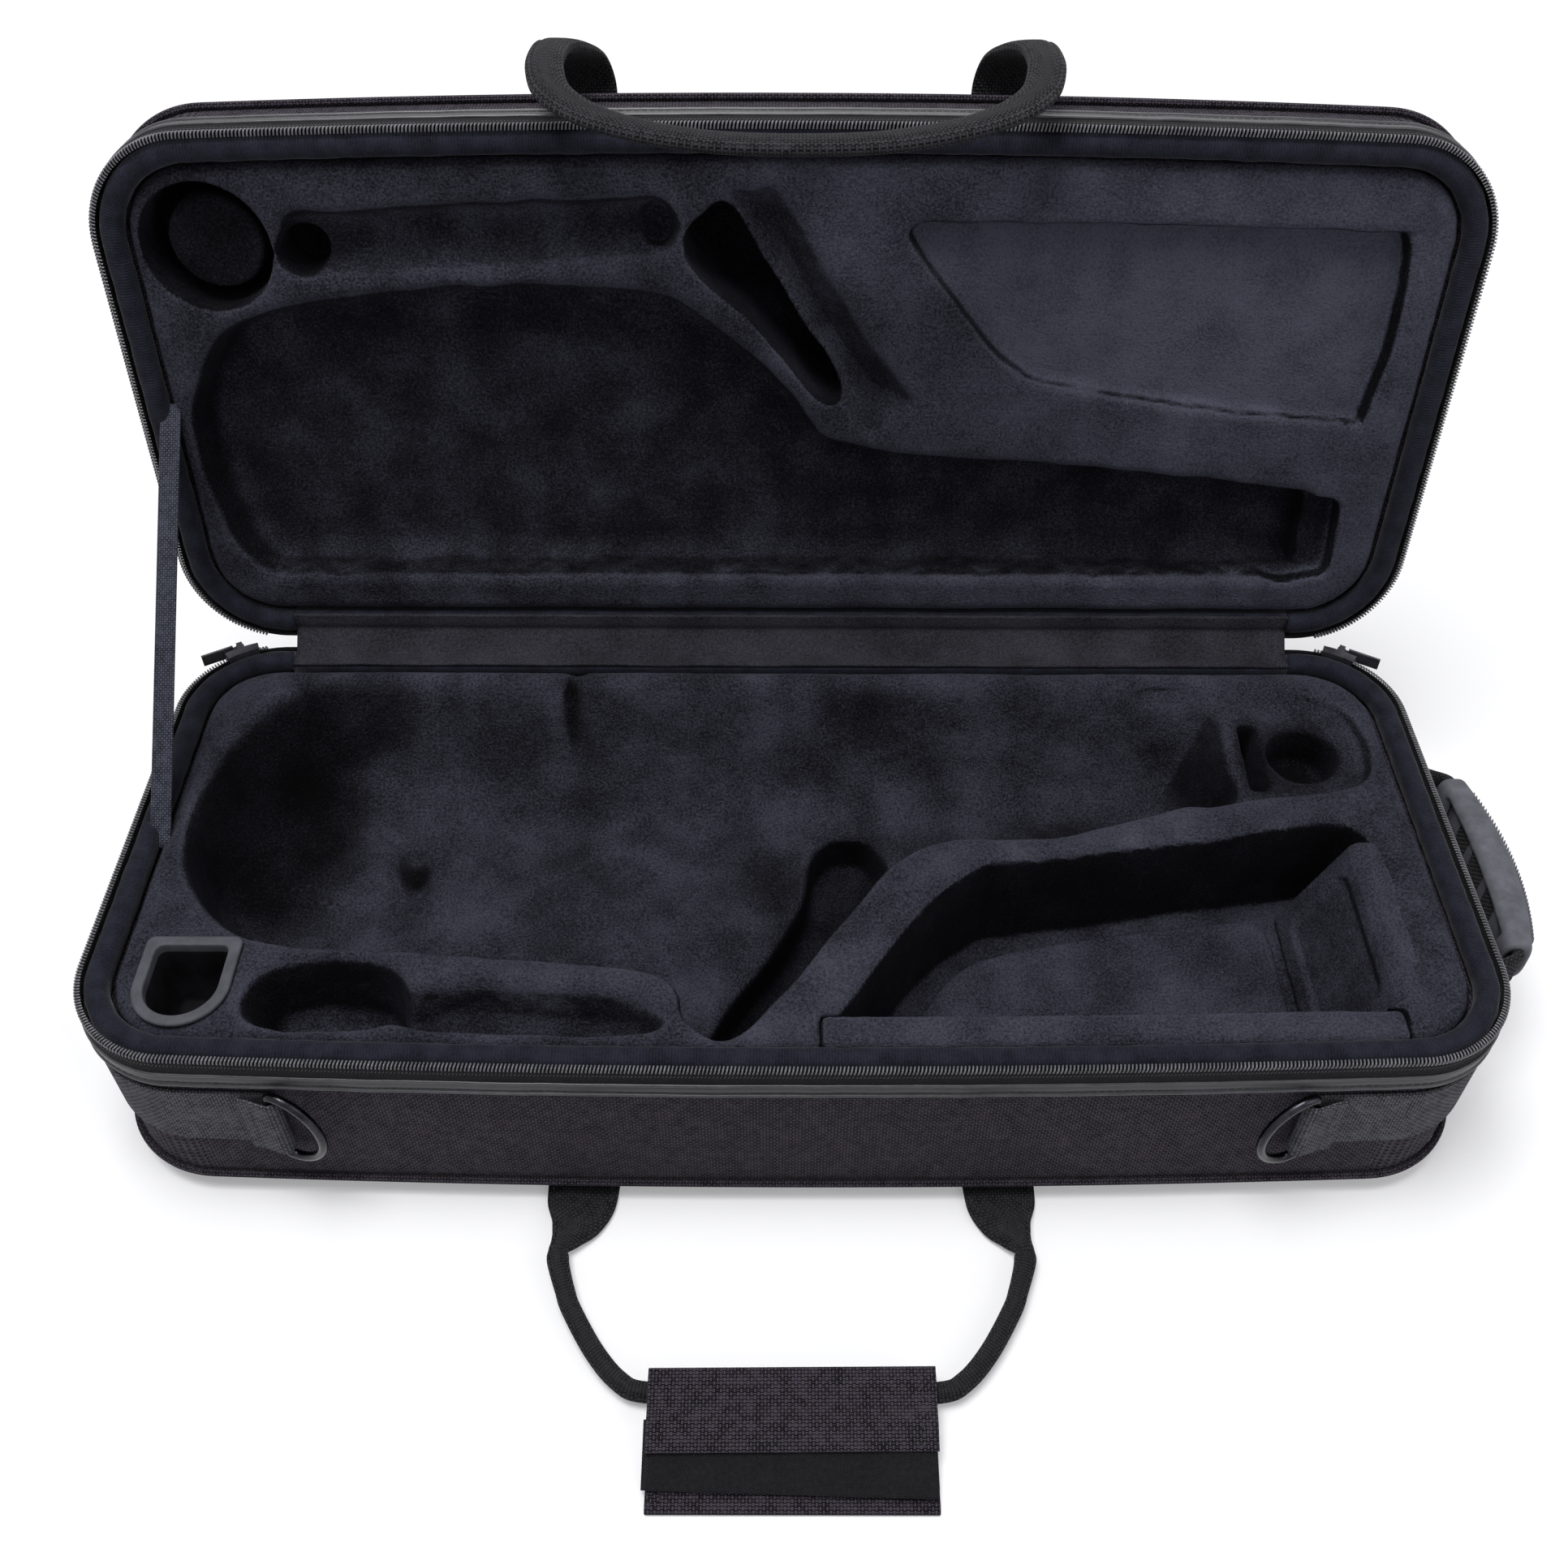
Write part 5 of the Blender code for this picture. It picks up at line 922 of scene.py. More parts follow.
def wall_profile(height, edge_radius):
    """(inset, drop) points from the floor's middle, outside, to the floor's middle, inside."""
    points = [(WALL_CORE, height), (20 * MM, height)]
    for turn in np.radians(np.linspace(0, 90, 9)):
        points.append((WALL_SETBACK + edge_radius * (1 - sin(turn)),
                       height - edge_radius * (1 - cos(turn))))
    start = height - edge_radius
    points += [(WALL_SETBACK, start - share * (start - RIM_STEP))
               for share in np.linspace(0, 1, 12)[1:-1]]
    return points + [(WALL_SETBACK, RIM_STEP + 0.6 * MM), (WALL_SETBACK + 0.6 * MM, RIM_STEP),
                     (WALL_INSIDE - 0.6 * MM, RIM_STEP), (WALL_INSIDE, RIM_STEP + 0.6 * MM),
                     (WALL_INSIDE, height - 4 * MM), (WALL_CORE, height - 4 * MM)]


def add_wall(side, tag, height, edge_radius):
    def ripple(run, k):
        if k not in OUTER_POINTS:
            return 0.0
        low = 0.5 * noise.noise(Vector((run / (55 * MM), k / 5, 3 * side)))
        return MM * abs(low + 0.25 * noise.noise(Vector((run / (16 * MM), k / 3, 9 * side))))
    rings = round_the_plan(wall_profile(height, edge_radius), side=side, closed=True,
                           ripple=ripple, spacing=4 * MM)
    made = loft(tag + "_wall", rings.transpose(1, 0, 2)[:, ::-1], SHELL_CLOTH)
    weave_level_faces(made)
    return made


for side, tag, height in HALVES:
    wall = add_wall(side, tag, height, 10 * MM if side < 0 else 11 * MM)
    if side > 0:
        to_open_lid(wall)
    finish(wall, tag, "shell_cloth", tag + "_shell")

# %% [markdown]
# Stitches, coil teeth and ribs are one small shape repeated along a path. A Geometry Nodes tree
# walks the path at an even pitch, turns each copy so that its height points outward and its
# length along the path, and makes the copies real. Pitch, size and slant are named inputs, so
# one tree serves every seam.

# %% Repeating along a path
def stitch_shape(tree, given):
    """A thread's short bulge: a small ball, and the size that it is stretched to."""
    ball = add(tree, "GeometryNodeMeshUVSphere", {"Segments": 6, "Rings": 4, "Radius": 0.5})
    return ball.outputs["Mesh"], given.outputs["Size"]


def tooth_shape(tree, given):
    """A turn of the coil: a wire arch that leans along the chain, in its real size."""
    ends = [add(tree, "ShaderNodeVectorMath", {0: place, 1: given.outputs["Size"]},
                operation="MULTIPLY").outputs[0]
            for place in ((-0.5, -0.5, -0.5), (0.0, 0.0, 1.5), (0.5, 0.5, -0.5))]
    arch = add(tree, "GeometryNodeCurveQuadraticBezier",
               {"Resolution": 6, "Start": ends[0], "Middle": ends[1], "End": ends[2]})
    wire = add(tree, "GeometryNodeCurvePrimitiveCircle",
               {"Resolution": 5, "Radius": given.outputs["Wire"]})
    swept = add(tree, "GeometryNodeCurveToMesh", {"Curve": arch.outputs[0],
                                                  "Profile Curve": wire.outputs[0],
                                                  "Fill Caps": True})
    return swept.outputs[0], (1, 1, 1)


def row_tree(name, shape):
    """A node tree that sets one small shape along the edges of a path mesh."""
    tree = bpy.data.node_groups.new(name, "GeometryNodeTree")
    for title, kind in (("Geometry", "Geometry"), ("Pitch", "Float"), ("Size", "Vector"),
                        ("Wire", "Float"), ("Slant", "Float"), ("Material", "Material")):
        tree.interface.new_socket(title, in_out="INPUT", socket_type="NodeSocket" + kind)
    tree.interface.new_socket("Geometry", in_out="OUTPUT", socket_type="NodeSocketGeometry")
    given = add(tree, "NodeGroupInput")
    path = add(tree, "GeometryNodeMeshToCurve", {"Mesh": given.outputs["Geometry"]})
    steps = add(tree, "GeometryNodeResampleCurve", {"Curve": path.outputs[0]}, mode="LENGTH")
    tree.links.new(given.outputs["Pitch"], steps.inputs["Length"])
    out = add(tree, "GeometryNodeInputNamedAttribute", {"Name": "out"},
              data_type="FLOAT_VECTOR")
    up = add(tree, "FunctionNodeAlignRotationToVector", {"Vector": out.outputs["Attribute"]},
             axis="Z")
    ahead = add(tree, "FunctionNodeAlignRotationToVector",
                {"Rotation": up.outputs[0],
                 "Vector": add(tree, "GeometryNodeInputTangent").outputs[0]},
                axis="X", pivot_axis="Z")
    slant = add(tree, "ShaderNodeCombineXYZ", {"Z": given.outputs["Slant"]})
    turn = add(tree, "FunctionNodeEulerToRotation", {"Euler": slant.outputs[0]})
    turned = add(tree, "FunctionNodeRotateRotation",
                 {"Rotation": ahead.outputs[0], "Rotate By": turn.outputs[0]},
                 rotation_space="LOCAL")
    unit, scale = shape(tree, given)
    copies = add(tree, "GeometryNodeInstanceOnPoints",
                 {"Points": steps.outputs[0], "Instance": unit, "Rotation": turned.outputs[0],
                  "Scale": scale})
    real = add(tree, "GeometryNodeRealizeInstances", {"Geometry": copies.outputs[0]})
    smooth = add(tree, "GeometryNodeSetShadeSmooth", {"Geometry": real.outputs[0]})
    dressed = add(tree, "GeometryNodeSetMaterial", {"Geometry": smooth.outputs[0],
                                                    "Material": given.outputs["Material"]})
    add(tree, "NodeGroupOutput", {"Geometry": dressed.outputs[0]})
    return tree


STITCH_ROW = row_tree("stitch_row", stitch_shape)
COIL_ROW = row_tree("coil_row", tooth_shape)


def repeat(name, tree, paths, material, closed=False, **values):
    """Runs a tree along paths of (points, outward ways) and keeps the result as plain mesh."""
    points, ways, edges = [], [], []
    for path, outs in paths:
        first, count = len(points), len(path)
        points += [tuple(p) for p in path]
        ways += [tuple(way) for way in np.broadcast_to(outs, np.shape(path))]
        edges += [(first + i, first + i + 1) for i in range(count - 1)]
        if closed:
            edges.append((first + count - 1, first))
    mesh = bpy.data.meshes.new(name + "_path")
    mesh.from_pydata(points, edges, [])
    stored = mesh.attributes.new("out", "FLOAT_VECTOR", "POINT")
    stored.data.foreach_set("vector", np.array(ways, float).ravel())
    source = bpy.data.objects.new(name + "_path", mesh)
    bpy.context.scene.collection.objects.link(source)
    rows = source.modifiers.new("rows", "NODES")
    rows.node_group = tree
    values["Material"] = material
    for item in tree.interface.items_tree:
        if item.in_out == "INPUT" and item.name in values:
            rows[item.identifier] = values[item.name]
    graph = bpy.context.evaluated_depsgraph_get()
    made = bpy.data.meshes.new_from_object(source.evaluated_get(graph))
    bpy.data.objects.remove(source)
    return new_object(name, made, material)


STITCH = {"Pitch": 3.4 * MM, "Size": (2.5 * MM, 0.55 * MM, 0.5 * MM)}


def stitch(name, paths, material=DARK_THREAD, closed=False):
    """A row of stitches of one length along each path."""
    return repeat(name, STITCH_ROW, paths, material, closed, **STITCH)


def rim_path(inset, drop, side, start_deg=0.0, closed=False):
    """Points round the plan at one inset and level, with their outward ways."""
    rings = round_the_plan([(inset, drop), (inset - MM, drop)], start_deg, spacing=4 * MM,
                           side=side, closed=closed)
    return rings[:, 0], rings[:, 1] - rings[:, 0]


print("row trees ready")

# %% [markdown]
# Round each rim run five trims: a corded seam low on the wall, a band of grey vinyl with piped
# edges, the zip's tape, its coil, and a jersey roll. Each has its own section, drawn along the
# same plan. The vinyl is pulled a little by its stitches, so its edges are not dead straight.

# %% Trim round the rims
def oval(wide, tall, power, turns):
    """Points of an oval, or of a squarer shape where power is above 2."""
    across, up = np.cos(turns), np.sin(turns)
    return np.c_[wide * np.sign(across) * abs(across) ** (2 / power),
                 tall * np.sign(up) * abs(up) ** (2 / power)]


def roll(inset, drop, wide, tall, power=2.0, steps=24):
    """A round or squarer section about one point of the profile plane."""
    turns = np.linspace(0, 2 * pi, steps, endpoint=False)
    return oval(wide, tall, power, turns) + (inset, drop)


BINDING_SECTION = [(inset * MM, drop * MM) for inset, drop in (
    (2.9, 11.4), (1.4, 11.3), (0.9, 11.6), (0.75, 12.2), (0.65, 13.4), (0.6, 15.0), (0.7, 16.4),
    (1.0, 17.1), (1.1, 17.5), (0.8, 18.0), (0.7, 18.8), (0.8, 19.6), (1.4, 20.0), (2.9, 20.0))]
BAND_SEAM = (0.9 * MM, 17.4 * MM)
# The drops of the two cords in the band's edges, near the zip and far from it.
BAND_CORDS = (("near", 11.7 * MM), ("far", 19.1 * MM))
PIPING = {"base": ("base_bottom_piping", BASE_HEIGHT - 12.5 * MM),
          "lid": ("lid_edge_piping", 39.5 * MM)}
# The coil ends a little way round the back corners, where the sliders stand.
COIL_START_DEG = 15


def add_trim(side, tag):
    def pulled(run, k):
        pull = noise.noise(Vector((run / (14 * MM), side, 0.5)))
        return 0.22 * MM * pull * (1 if 3 < k < 10 else 0.4)

    def puckered(run, k):
        return 0.45 * MM * noise.noise(Vector((run / (9 * MM), k / 2.5, 20 + side)))

    def around(name, section, material, ripple=None):
        rings = round_the_plan(section, side=side, closed=True, ripple=ripple)
        return loft(tag + name, rings, material, closed_run=True)

    def along_back(name, section, material, back_run, ripple=None):
        rings = round_the_plan(section, side=side, back_run=back_run, ripple=ripple)
        return loft(tag + name, rings, material)
    cord, cord_drop = PIPING[tag]
    coil, coil_outs = rim_path(1.9 * MM, 2.1 * MM, side, COIL_START_DEG)
    made = [(around("_vinyl_band", BINDING_SECTION, VINYL, pulled), "binding_vinyl",
             [tag + "_binding"]),
            (stitch(tag + "_band_stitches", [rim_path(*BAND_SEAM, side, closed=True)],
                    closed=True), "binding_vinyl", [])]
    for edge, drop in BAND_CORDS:
        # The cords take the vinyl painted paler for the highlight along them.
        section = roll(0.95 * MM, drop, 0.85 * MM, 0.8 * MM, steps=10)
        made.append((around("_band_cord_" + edge, section, HIGHLIT_CORD_VINYL, pulled),
                     "binding_vinyl", []))
    section = roll(1.6 * MM, cord_drop, 1.7 * MM, 1.7 * MM, steps=12)
    made.append((around("_corded_seam", section, SHELL_CLOTH), "shell_cloth", [cord]))
    section = roll(1.75 * MM, 7.4 * MM, 0.65 * MM, 4.5 * MM, power=5, steps=20)
    made.append((along_back("_woven_zip_tape", section, ZIP_TAPE, SEAM_X), "zip_tape",
                 [tag + "_zip_tape"]))
    coil_outs = coil_outs + (0, 0, -side * 0.75 * MM)
    made.append((repeat(tag + "_coil_teeth", COIL_ROW, [(coil, coil_outs)], COIL,
                        Pitch=1.6 * MM, Size=(0.9 * MM, 3.2 * MM, 1.7 * MM), Wire=0.46 * MM),
                 "zip_coil", [tag + "_zip_coil"]))
    seam = rim_path(1.1 * MM, 5.6 * MM, side, COIL_START_DEG)
    made.append((repeat(tag + "_coil_seam", STITCH_ROW, [seam], THREAD, Pitch=1.6 * MM,
                        Size=(2.0 * MM, 0.5 * MM, 0.45 * MM), Slant=1.0), "zip_tape", []))
    section = roll(9.5 * MM, 6.0 * MM, 5.25 * MM, 5.5 * MM, power=2.3, steps=22)
    collar = along_back("_jersey_roll", section, COLLAR_CLOTH, SEAM_X + 0.3 * MM, puckered)
    made.append((collar, "collar_cloth", [tag + "_collar"]))
    for piece, slot, replaced in made:
        if side > 0:
            to_open_lid(piece)
        finish(piece, tag, slot, *replaced)


for side, tag, _ in HALVES:
    add_trim(side, tag)

# %% [markdown]
# A strap is a flat section with round edges carried along a line in space. The same sweep makes
# webbing bands, handles and folded tubes, because the section may change on the way. Rows of
# numbers for a few stations are joined by smooth curves first.

# %% Sweeps
def smooth_run(rows, steps=6):
    """Rows of numbers with smooth rows between them."""
    rows = np.array(rows, float)
    last = len(rows) - 1
    made = [bend(*(rows[min(max(i + k, 0), last)] for k in (-1, 0, 1, 2)), t)
            for i in range(last) for t in np.arange(steps) / steps]
    return np.array(made + [rows[-1]])


def strap_section(half_width, half_thick):
    """A flat strap's section with round edges, as (across, out) points."""
    flat = half_width - half_thick
    across = np.linspace(flat, -flat, 11)
    face = np.full(11, half_thick)
    return np.r_[np.c_[across, face], arc(-flat, 0, half_thick, 90, 270, 4)[1:-1],
                 np.c_[-across, -face], arc(flat, 0, half_thick, -90, 90, 4)[1:-1]]


def soft_section(half, thick, power, seam=0.0, steps=28):
    """A full section between flat and round. A seam sinks one side of it."""
    turns = np.linspace(0, 2 * pi, steps, endpoint=False)
    dent = 1 - seam * np.exp(-((turns - 0.30 * pi) / 0.16) ** 2)
    return oval(half, thick, power, turns) * dent[:, None]


def sweep(name, path, outs, section, material, closed_run=False):
    """A section of (across, out) points, or one for each point, carried along a path."""
    path = np.array(path, float)
    ahead = np.gradient(path, axis=0)
    if closed_run:
        ahead = np.roll(path, -1, axis=0) - np.roll(path, 1, axis=0)
    ahead /= np.linalg.norm(ahead, axis=1)[:, None]
    across = np.cross(ahead, np.broadcast_to(outs, path.shape))
    across /= np.linalg.norm(across, axis=1)[:, None]
    lift = np.cross(across, ahead)
    section = np.broadcast_to(section, (len(path),) + np.shape(section)[-2:])
    rings = (path[:, None] + across[:, None] * section[..., 0:1]
             + lift[:, None] * section[..., 1:2])
    return loft(name, rings, material, closed_run=closed_run)


print("sweeps ready")

# %% [markdown]
# Two strips close the hinge: a plush lining inside and a cloth strip outside. Both are sewn to
# the base and to the lid; each is drawn as it lies with the lid open.

# %% Hinge strips
def on_lid(x, reach, rise):
    """A point of the open lid: reach from the hinge line, rise from the rim plane."""
    return np.array(OPEN_LID @ Vector((x, HINGE_Y - reach, RIM_Z + rise)))


def square_to(line):
    """Unit vectors square to a line of (y, z) points, at each of them."""
    turn = np.gradient(line, axis=0)
    return np.c_[-turn[:, 1], turn[:, 0]] / np.linalg.norm(turn, axis=1)[:, None]


def across_hinge(name, line, thickness, material, drift):
    """A strip along X whose section follows a line of (y, z) points."""
    line = smooth_run(line, 5)
    normal = square_to(line)
    half = thickness / 2
    rings = []
    for x in np.arange(-SEAM_X, SEAM_X + 2 * MM, 4 * MM):
        lift = drift * swell(x, line[:, 0], 38 * MM, 31)[:, None]
        ring = np.r_[line + normal * (half + lift), (line - normal * (half - lift))[::-1]]
        rings.append(np.c_[np.full(len(ring), x), ring])
    return loft(name, rings, material)


# How far from the rim plane each strip is sewn to a half.
SEWN = 3.7 * MM
lining_line = [(y * MM, z * MM) for y, z in ((113.8, 102.3), (119, 102.2), (123.6, 102.3))]
lining_line += [on_lid(0, reach * MM, SEWN)[1:] for reach in (4.4, 9.0, 14.2)]
lining = across_hinge("hinge_plush_lining", lining_line, 1.7 * MM, LINING_PLUSH, 0.35 * MM)
finish_across(lining, "base", "lid", (0, 124.0 * MM, RIM_Z - SEWN), on_lid(0, 4.0 * MM, SEWN),
              "lining_plush", "hinge_lining")
cloth_line = [(128.8 * MM, z * MM) for z in (92.4, 97.5, 102.3)]
cloth_line += [on_lid(0, -0.8 * MM, rise * MM)[1:] for rise in (3.7, 8.5, 13.6)]
cloth = across_hinge("hinge_outer_cloth", cloth_line, 1.0 * MM, SHELL_CLOTH, 0.15 * MM)
finish_across(cloth, "base", "lid", (0, 128.8 * MM, RIM_Z - SEWN), on_lid(0, -0.8 * MM, SEWN),
              "shell_cloth", "hinge_cloth")

for side, tag, _ in HALVES:
    section = roll(9.1 * MM, 8.25 * MM, 5.5 * MM, 3.45 * MM, power=6, steps=20)
    rings = [[(x, HINGE_Y - inset, level(side, drop)) for inset, drop in section]
             for x in np.arange(-SEAM_X, SEAM_X + 2 * MM, 12 * MM)]
    foam = loft(tag + "_hinge_foam", rings, COLLAR_CLOTH)
    if side > 0:
        to_open_lid(foam)
    finish(foam, tag, "collar_cloth", tag + "_back_foam")

# %% [markdown]
# The stay is a flat strap sewn into both halves that stops the lid. It is taut when the case is
# open and has to crumple when the case shuts; it is drawn taut, as it is with the case open.

# %% Stay strap
STAY_X = -INSERT_HALF_LENGTH
STAY_SEAM = 6 * MM
stay_low = np.array([STAY_X, -3.4 * MM, 102 * MM])
stay_high = on_lid(STAY_X, 126.9 * MM, 4 * MM)
stay_free = float(np.linalg.norm(stay_high - stay_low))
stay_run = (stay_high - stay_low) / stay_free
stay_length = stay_free + 2 * STAY_SEAM
stay_path = [stay_low + stay_run * (along - STAY_SEAM)
             for along in np.arange(0, stay_length, 3 * MM)]
stay = sweep("lid_stay_webbing", stay_path, np.cross(stay_run, (1, 0, 0)),
             strap_section(4.9 * MM, 0.6 * MM), STAY_WEBBING)
finish_across(stay, "base", "lid", stay_low, stay_high, "stay_webbing", "stay_strap")
print("stay strap", round(stay_length / MM), "mm long")

# %% [markdown]
# A D-ring hangs at each front corner in a fold of webbing. The webbing comes round the corner
# on the wall, passes behind the ring's bar, turns back over itself and is sewn down in rows.

# %% Ring bands
SIDES = ((-1, "left"), (1, "right"))
RING_X, RING_Z = 221 * MM, 61.2 * MM
RING_WIRE = 2.1 * MM
WEBBING_HALF, WEBBING_HALF_THICK = 19 * MM, 0.8 * MM


def bow_at(x):
    """How far the front bows forward at x."""
    return FRONT_BOW * (1 - (2 * x / CASE_LENGTH) ** 2)


RING_Y = -CASE_DEPTH / 2 + WALL_SETBACK - bow_at(RING_X) - 4.55 * MM


def ring_band(side):
    """The band's middle line in plan, from the case's side to the end of its turned fold."""
    inset = 2.2 * MM
    points = [(CASE_LENGTH / 2 - inset, y) for y in np.linspace(-50 * MM, -CORNER_Y, 8)[:-1]]
    points += list(arc(CORNER_X, -CORNER_Y, CORNER_RADIUS - inset, 360, 270, 22))
    points += [(x * MM, -CASE_DEPTH / 2 + inset) for x in (252, 243, 235, 228)]
    points = list(bowed(points))
    points += list(arc(RING_X, RING_Y, RING_WIRE + 1.15 * MM, 95, 275, 12))
    points += [points[-1] + step for step in np.array([(4, 1.2), (9, 3.1), (14, 3.9)]) * MM]
    return even(np.array(points) * (side, 1), 1.6 * MM)


for side, tag in SIDES:
    line = ring_band(side)
    path = np.c_[line, np.full(len(line), RING_Z)]
    band = sweep(tag + "_ring_band", path, (0, 0, 1),
                 strap_section(WEBBING_HALF, WEBBING_HALF_THICK)[:, ::-1], PALER_WEBBING)
    finish(band, "base", "webbing", tag + "_ring_webbing")
    back = (line[-4] - line[-1]) / np.linalg.norm(line[-4] - line[-1])
    rows = []
    for reach in (5 * MM, 8 * MM, 11 * MM):
        x, y = line[-1] + back * reach
        rows.append(([(x, y - 1.05 * MM, RING_Z + z * MM) for z in np.linspace(-17.5, 17.5, 12)],
                     (0, -1, 0)))
    finish(stitch(tag + "_ring_band_stitches", rows), "base", "webbing")

# %% [markdown]
# Each D-ring is bent from round wire: a straight bar in the fold, and an arc that hangs free.
# A path with round corners carries a fine round section, so no facet shows on the plate.

# %% D-rings
RING_HALF, RING_DEPTH, RING_CORNER = 23 * MM, 21.5 * MM, 3 * MM
RING_SWING = radians(20)


def d_ring(side, tag):
    half, corner = RING_HALF, RING_CORNER
    points = [(0, z) for z in np.linspace(corner - half, half - corner, 9)]
    points += [(corner - corner * cos(a), half - corner + corner * sin(a) * 0.9)
               for a in np.radians((30, 60))]
    points += [(RING_DEPTH * sin(turn) ** 0.9, half * cos(turn))
               for turn in np.radians(np.linspace(14, 166, 40))]
    points += [(corner - corner * cos(a), corner - half - corner * sin(a) * 0.9)
               for a in np.radians((60, 30))]
    path = np.array([(side * (RING_X - out), RING_Y, RING_Z + z) for out, z in points])
    section = roll(0, 0, RING_WIRE, RING_WIRE, steps=14)
    ring = sweep(tag + "_d_ring", path, (0, -1, 0), section, RING_METAL, closed_run=True)
    centre = Vector((side * RING_X, RING_Y, RING_Z))
    ring.data.transform(Matrix.Translation(centre) @ Matrix.Rotation(RING_SWING * side, 4, "Z")
                        @ Matrix.Translation(-centre))
    finish(ring, "ring_" + tag, "ring_metal", tag + "_shoulder_ring")


for side, tag in SIDES:
    d_ring(side, tag)

# %% [markdown]
# Both carry handles are one webbing each: flat where it is sewn to the case, then folded round
# a cord to make a tube. Stations along half of the handle say where its middle runs, how flat
# it is and which way it faces, and the other half mirrors them. Where the webbing is rolled to
# a tube, the seam along it shows as a groove.

# %% Handle helper
LEG_HALF_WIDTH, LEG_HALF_THICK = 16.5 * MM, 1.1 * MM


def handle(name, rows, half, thick, place):
    """A handle through rows of shares. Place gives a row's centre and the way it faces."""
    stations = []
    for side, ordered in ((-1, rows), (1, rows[-2::-1])):
        for row in ordered:
            centre, way, flat = place(side, row)
            stations.append((*centre, *way, flat))
    run = smooth_run(stations, 7)
    sections = []
    for flat in np.clip(run[:, 6], 0, 1):
        sections.append(soft_section(half + (LEG_HALF_WIDTH - half) * flat,
                                     thick + (LEG_HALF_THICK - thick) * flat,
                                     2.3 + 3.2 * flat, seam=0.16 * (1 - flat)))
    return sweep(name, run[:, :3], run[:, 3:6], np.array(sections), WEBBING)


print("handle helper ready")

# %% [markdown]
# The base handle lies on the floor in front of the case. Its grip is a padded cloth sleeve: the
# lower half is sewn round the tube and runs out into a flat tongue, the upper flap folds over
# it, and a strip of hook tape under the flap's edge holds them together.

# %% Base handle
HANDLE_HALF_SPAN, HANDLE_REACH = 102 * MM, 96.5 * MM
LEG_SHARE = 0.935
TUBE_HEIGHT, LEG_HEIGHT = 6.3 * MM, 1.7 * MM
# Rows: across, forward, and how flat the webbing is.
CARRY_SHARES = [
    (0.93, -0.02, 1.00), (0.935, 0.10, 0.92), (0.95, 0.19, 0.66), (0.98, 0.27, 0.28),
    (1.008, 0.335, 0.00), (1.01, 0.38, 0.05), (1.00, 0.43, 0.03), (0.965, 0.54, 0.00),
    (0.93, 0.63, 0.00), (0.82, 0.82, 0.00), (0.71, 0.95, 0.00), (0.60, 1.00, 0.00),
    (0.30, 1.00, 0.00), (0.00, 1.00, 0.00)]
SEAM_Y = -CASE_DEPTH / 2 + WALL_SETBACK - bow_at(HANDLE_HALF_SPAN) + 1.6 * MM
WRAP_MID = SEAM_Y - HANDLE_REACH


def carry_station(side, row):
    across, forward, flat = row
    height = TUBE_HEIGHT + (LEG_HEIGHT - TUBE_HEIGHT) * flat
    centre = (side * across * HANDLE_HALF_SPAN, SEAM_Y - forward * HANDLE_REACH, height)
    return centre, (0, -0.25 * (1 - flat), 1), flat


carry = handle("base_handle_webbing", CARRY_SHARES, 4.3 * MM, 4.0 * MM, carry_station)
finish(carry, "carry_handle", "webbing", "carry_handle_strap")
leg_rows = []
for side, _ in SIDES:
    for edge in (-13.5 * MM, 13.5 * MM):
        x = side * LEG_SHARE * HANDLE_HALF_SPAN + edge
        leg_rows.append(([(x, SEAM_Y - y * MM, 2.9 * MM) for y in (1, 4, 7)], (0, 0, 1)))
finish(stitch("base_handle_stitches", leg_rows), "carry_handle", "webbing")

# %% [markdown]
# The sleeve's section bulges round the tube and thins toward its front, where both layers lie
# on the floor. Its ends are open, so the skin turns in round each mouth.

# %% Grip sleeve
WRAP_BACK = WRAP_MID + 7.1 * MM
WRAP_FRONT = WRAP_BACK - 45.5 * MM
WRAP_HALF = 59 * MM
FLOOR_GAP = 0.6 * MM


def wrap_top(y):
    """Height of the sleeve's upper face."""
    share = (y - WRAP_FRONT) / (WRAP_BACK - WRAP_FRONT)
    return (3.4 + 11.6 * share) * MM


def sleeve_ring(x, shrink):
    """One section of the sleeve. Shrink draws it in toward the tube for the mouths."""
    points = [(WRAP_FRONT - 6 * MM, FLOOR_GAP), (WRAP_FRONT - 6 * MM, 2.0 * MM),
              (WRAP_FRONT - 1 * MM, 2.2 * MM), (WRAP_FRONT + 1 * MM, 3.6 * MM)]
    for share in np.linspace(0.12, 0.86, 7):
        y = WRAP_FRONT + share * (WRAP_BACK - WRAP_FRONT)
        points.append((y, wrap_top(y) - 0.4 * MM - 1.6 * MM * sin(pi * share) ** 2))
    points += [(WRAP_BACK - back * MM, z * MM) for back, z in (
        (3.6, 13.9), (1.2, 12.4), (0.1, 9.6), (0, 6.5), (0.4, 3.2), (2.2, 1.2))]
    points += [(WRAP_BACK - 6 * MM, FLOOR_GAP), (WRAP_MID - 14 * MM, FLOOR_GAP)]
    points = smooth_loop(points, 3)
    centre = np.array([WRAP_MID - 3 * MM, 6.6 * MM])
    edge = np.linalg.norm(points - centre, axis=1)[:, None]
    points = centre + (points - centre) * np.clip(1 - shrink / edge, 0.15, 1)
    points[:, 1] = np.maximum(points[:, 1], FLOOR_GAP)
    points[:, 1] += 0.35 * MM * swell(x, points[:, 0], 30 * MM, 41) * (points[:, 1] > 2 * MM)
    return np.c_[np.full(len(points), x), points]


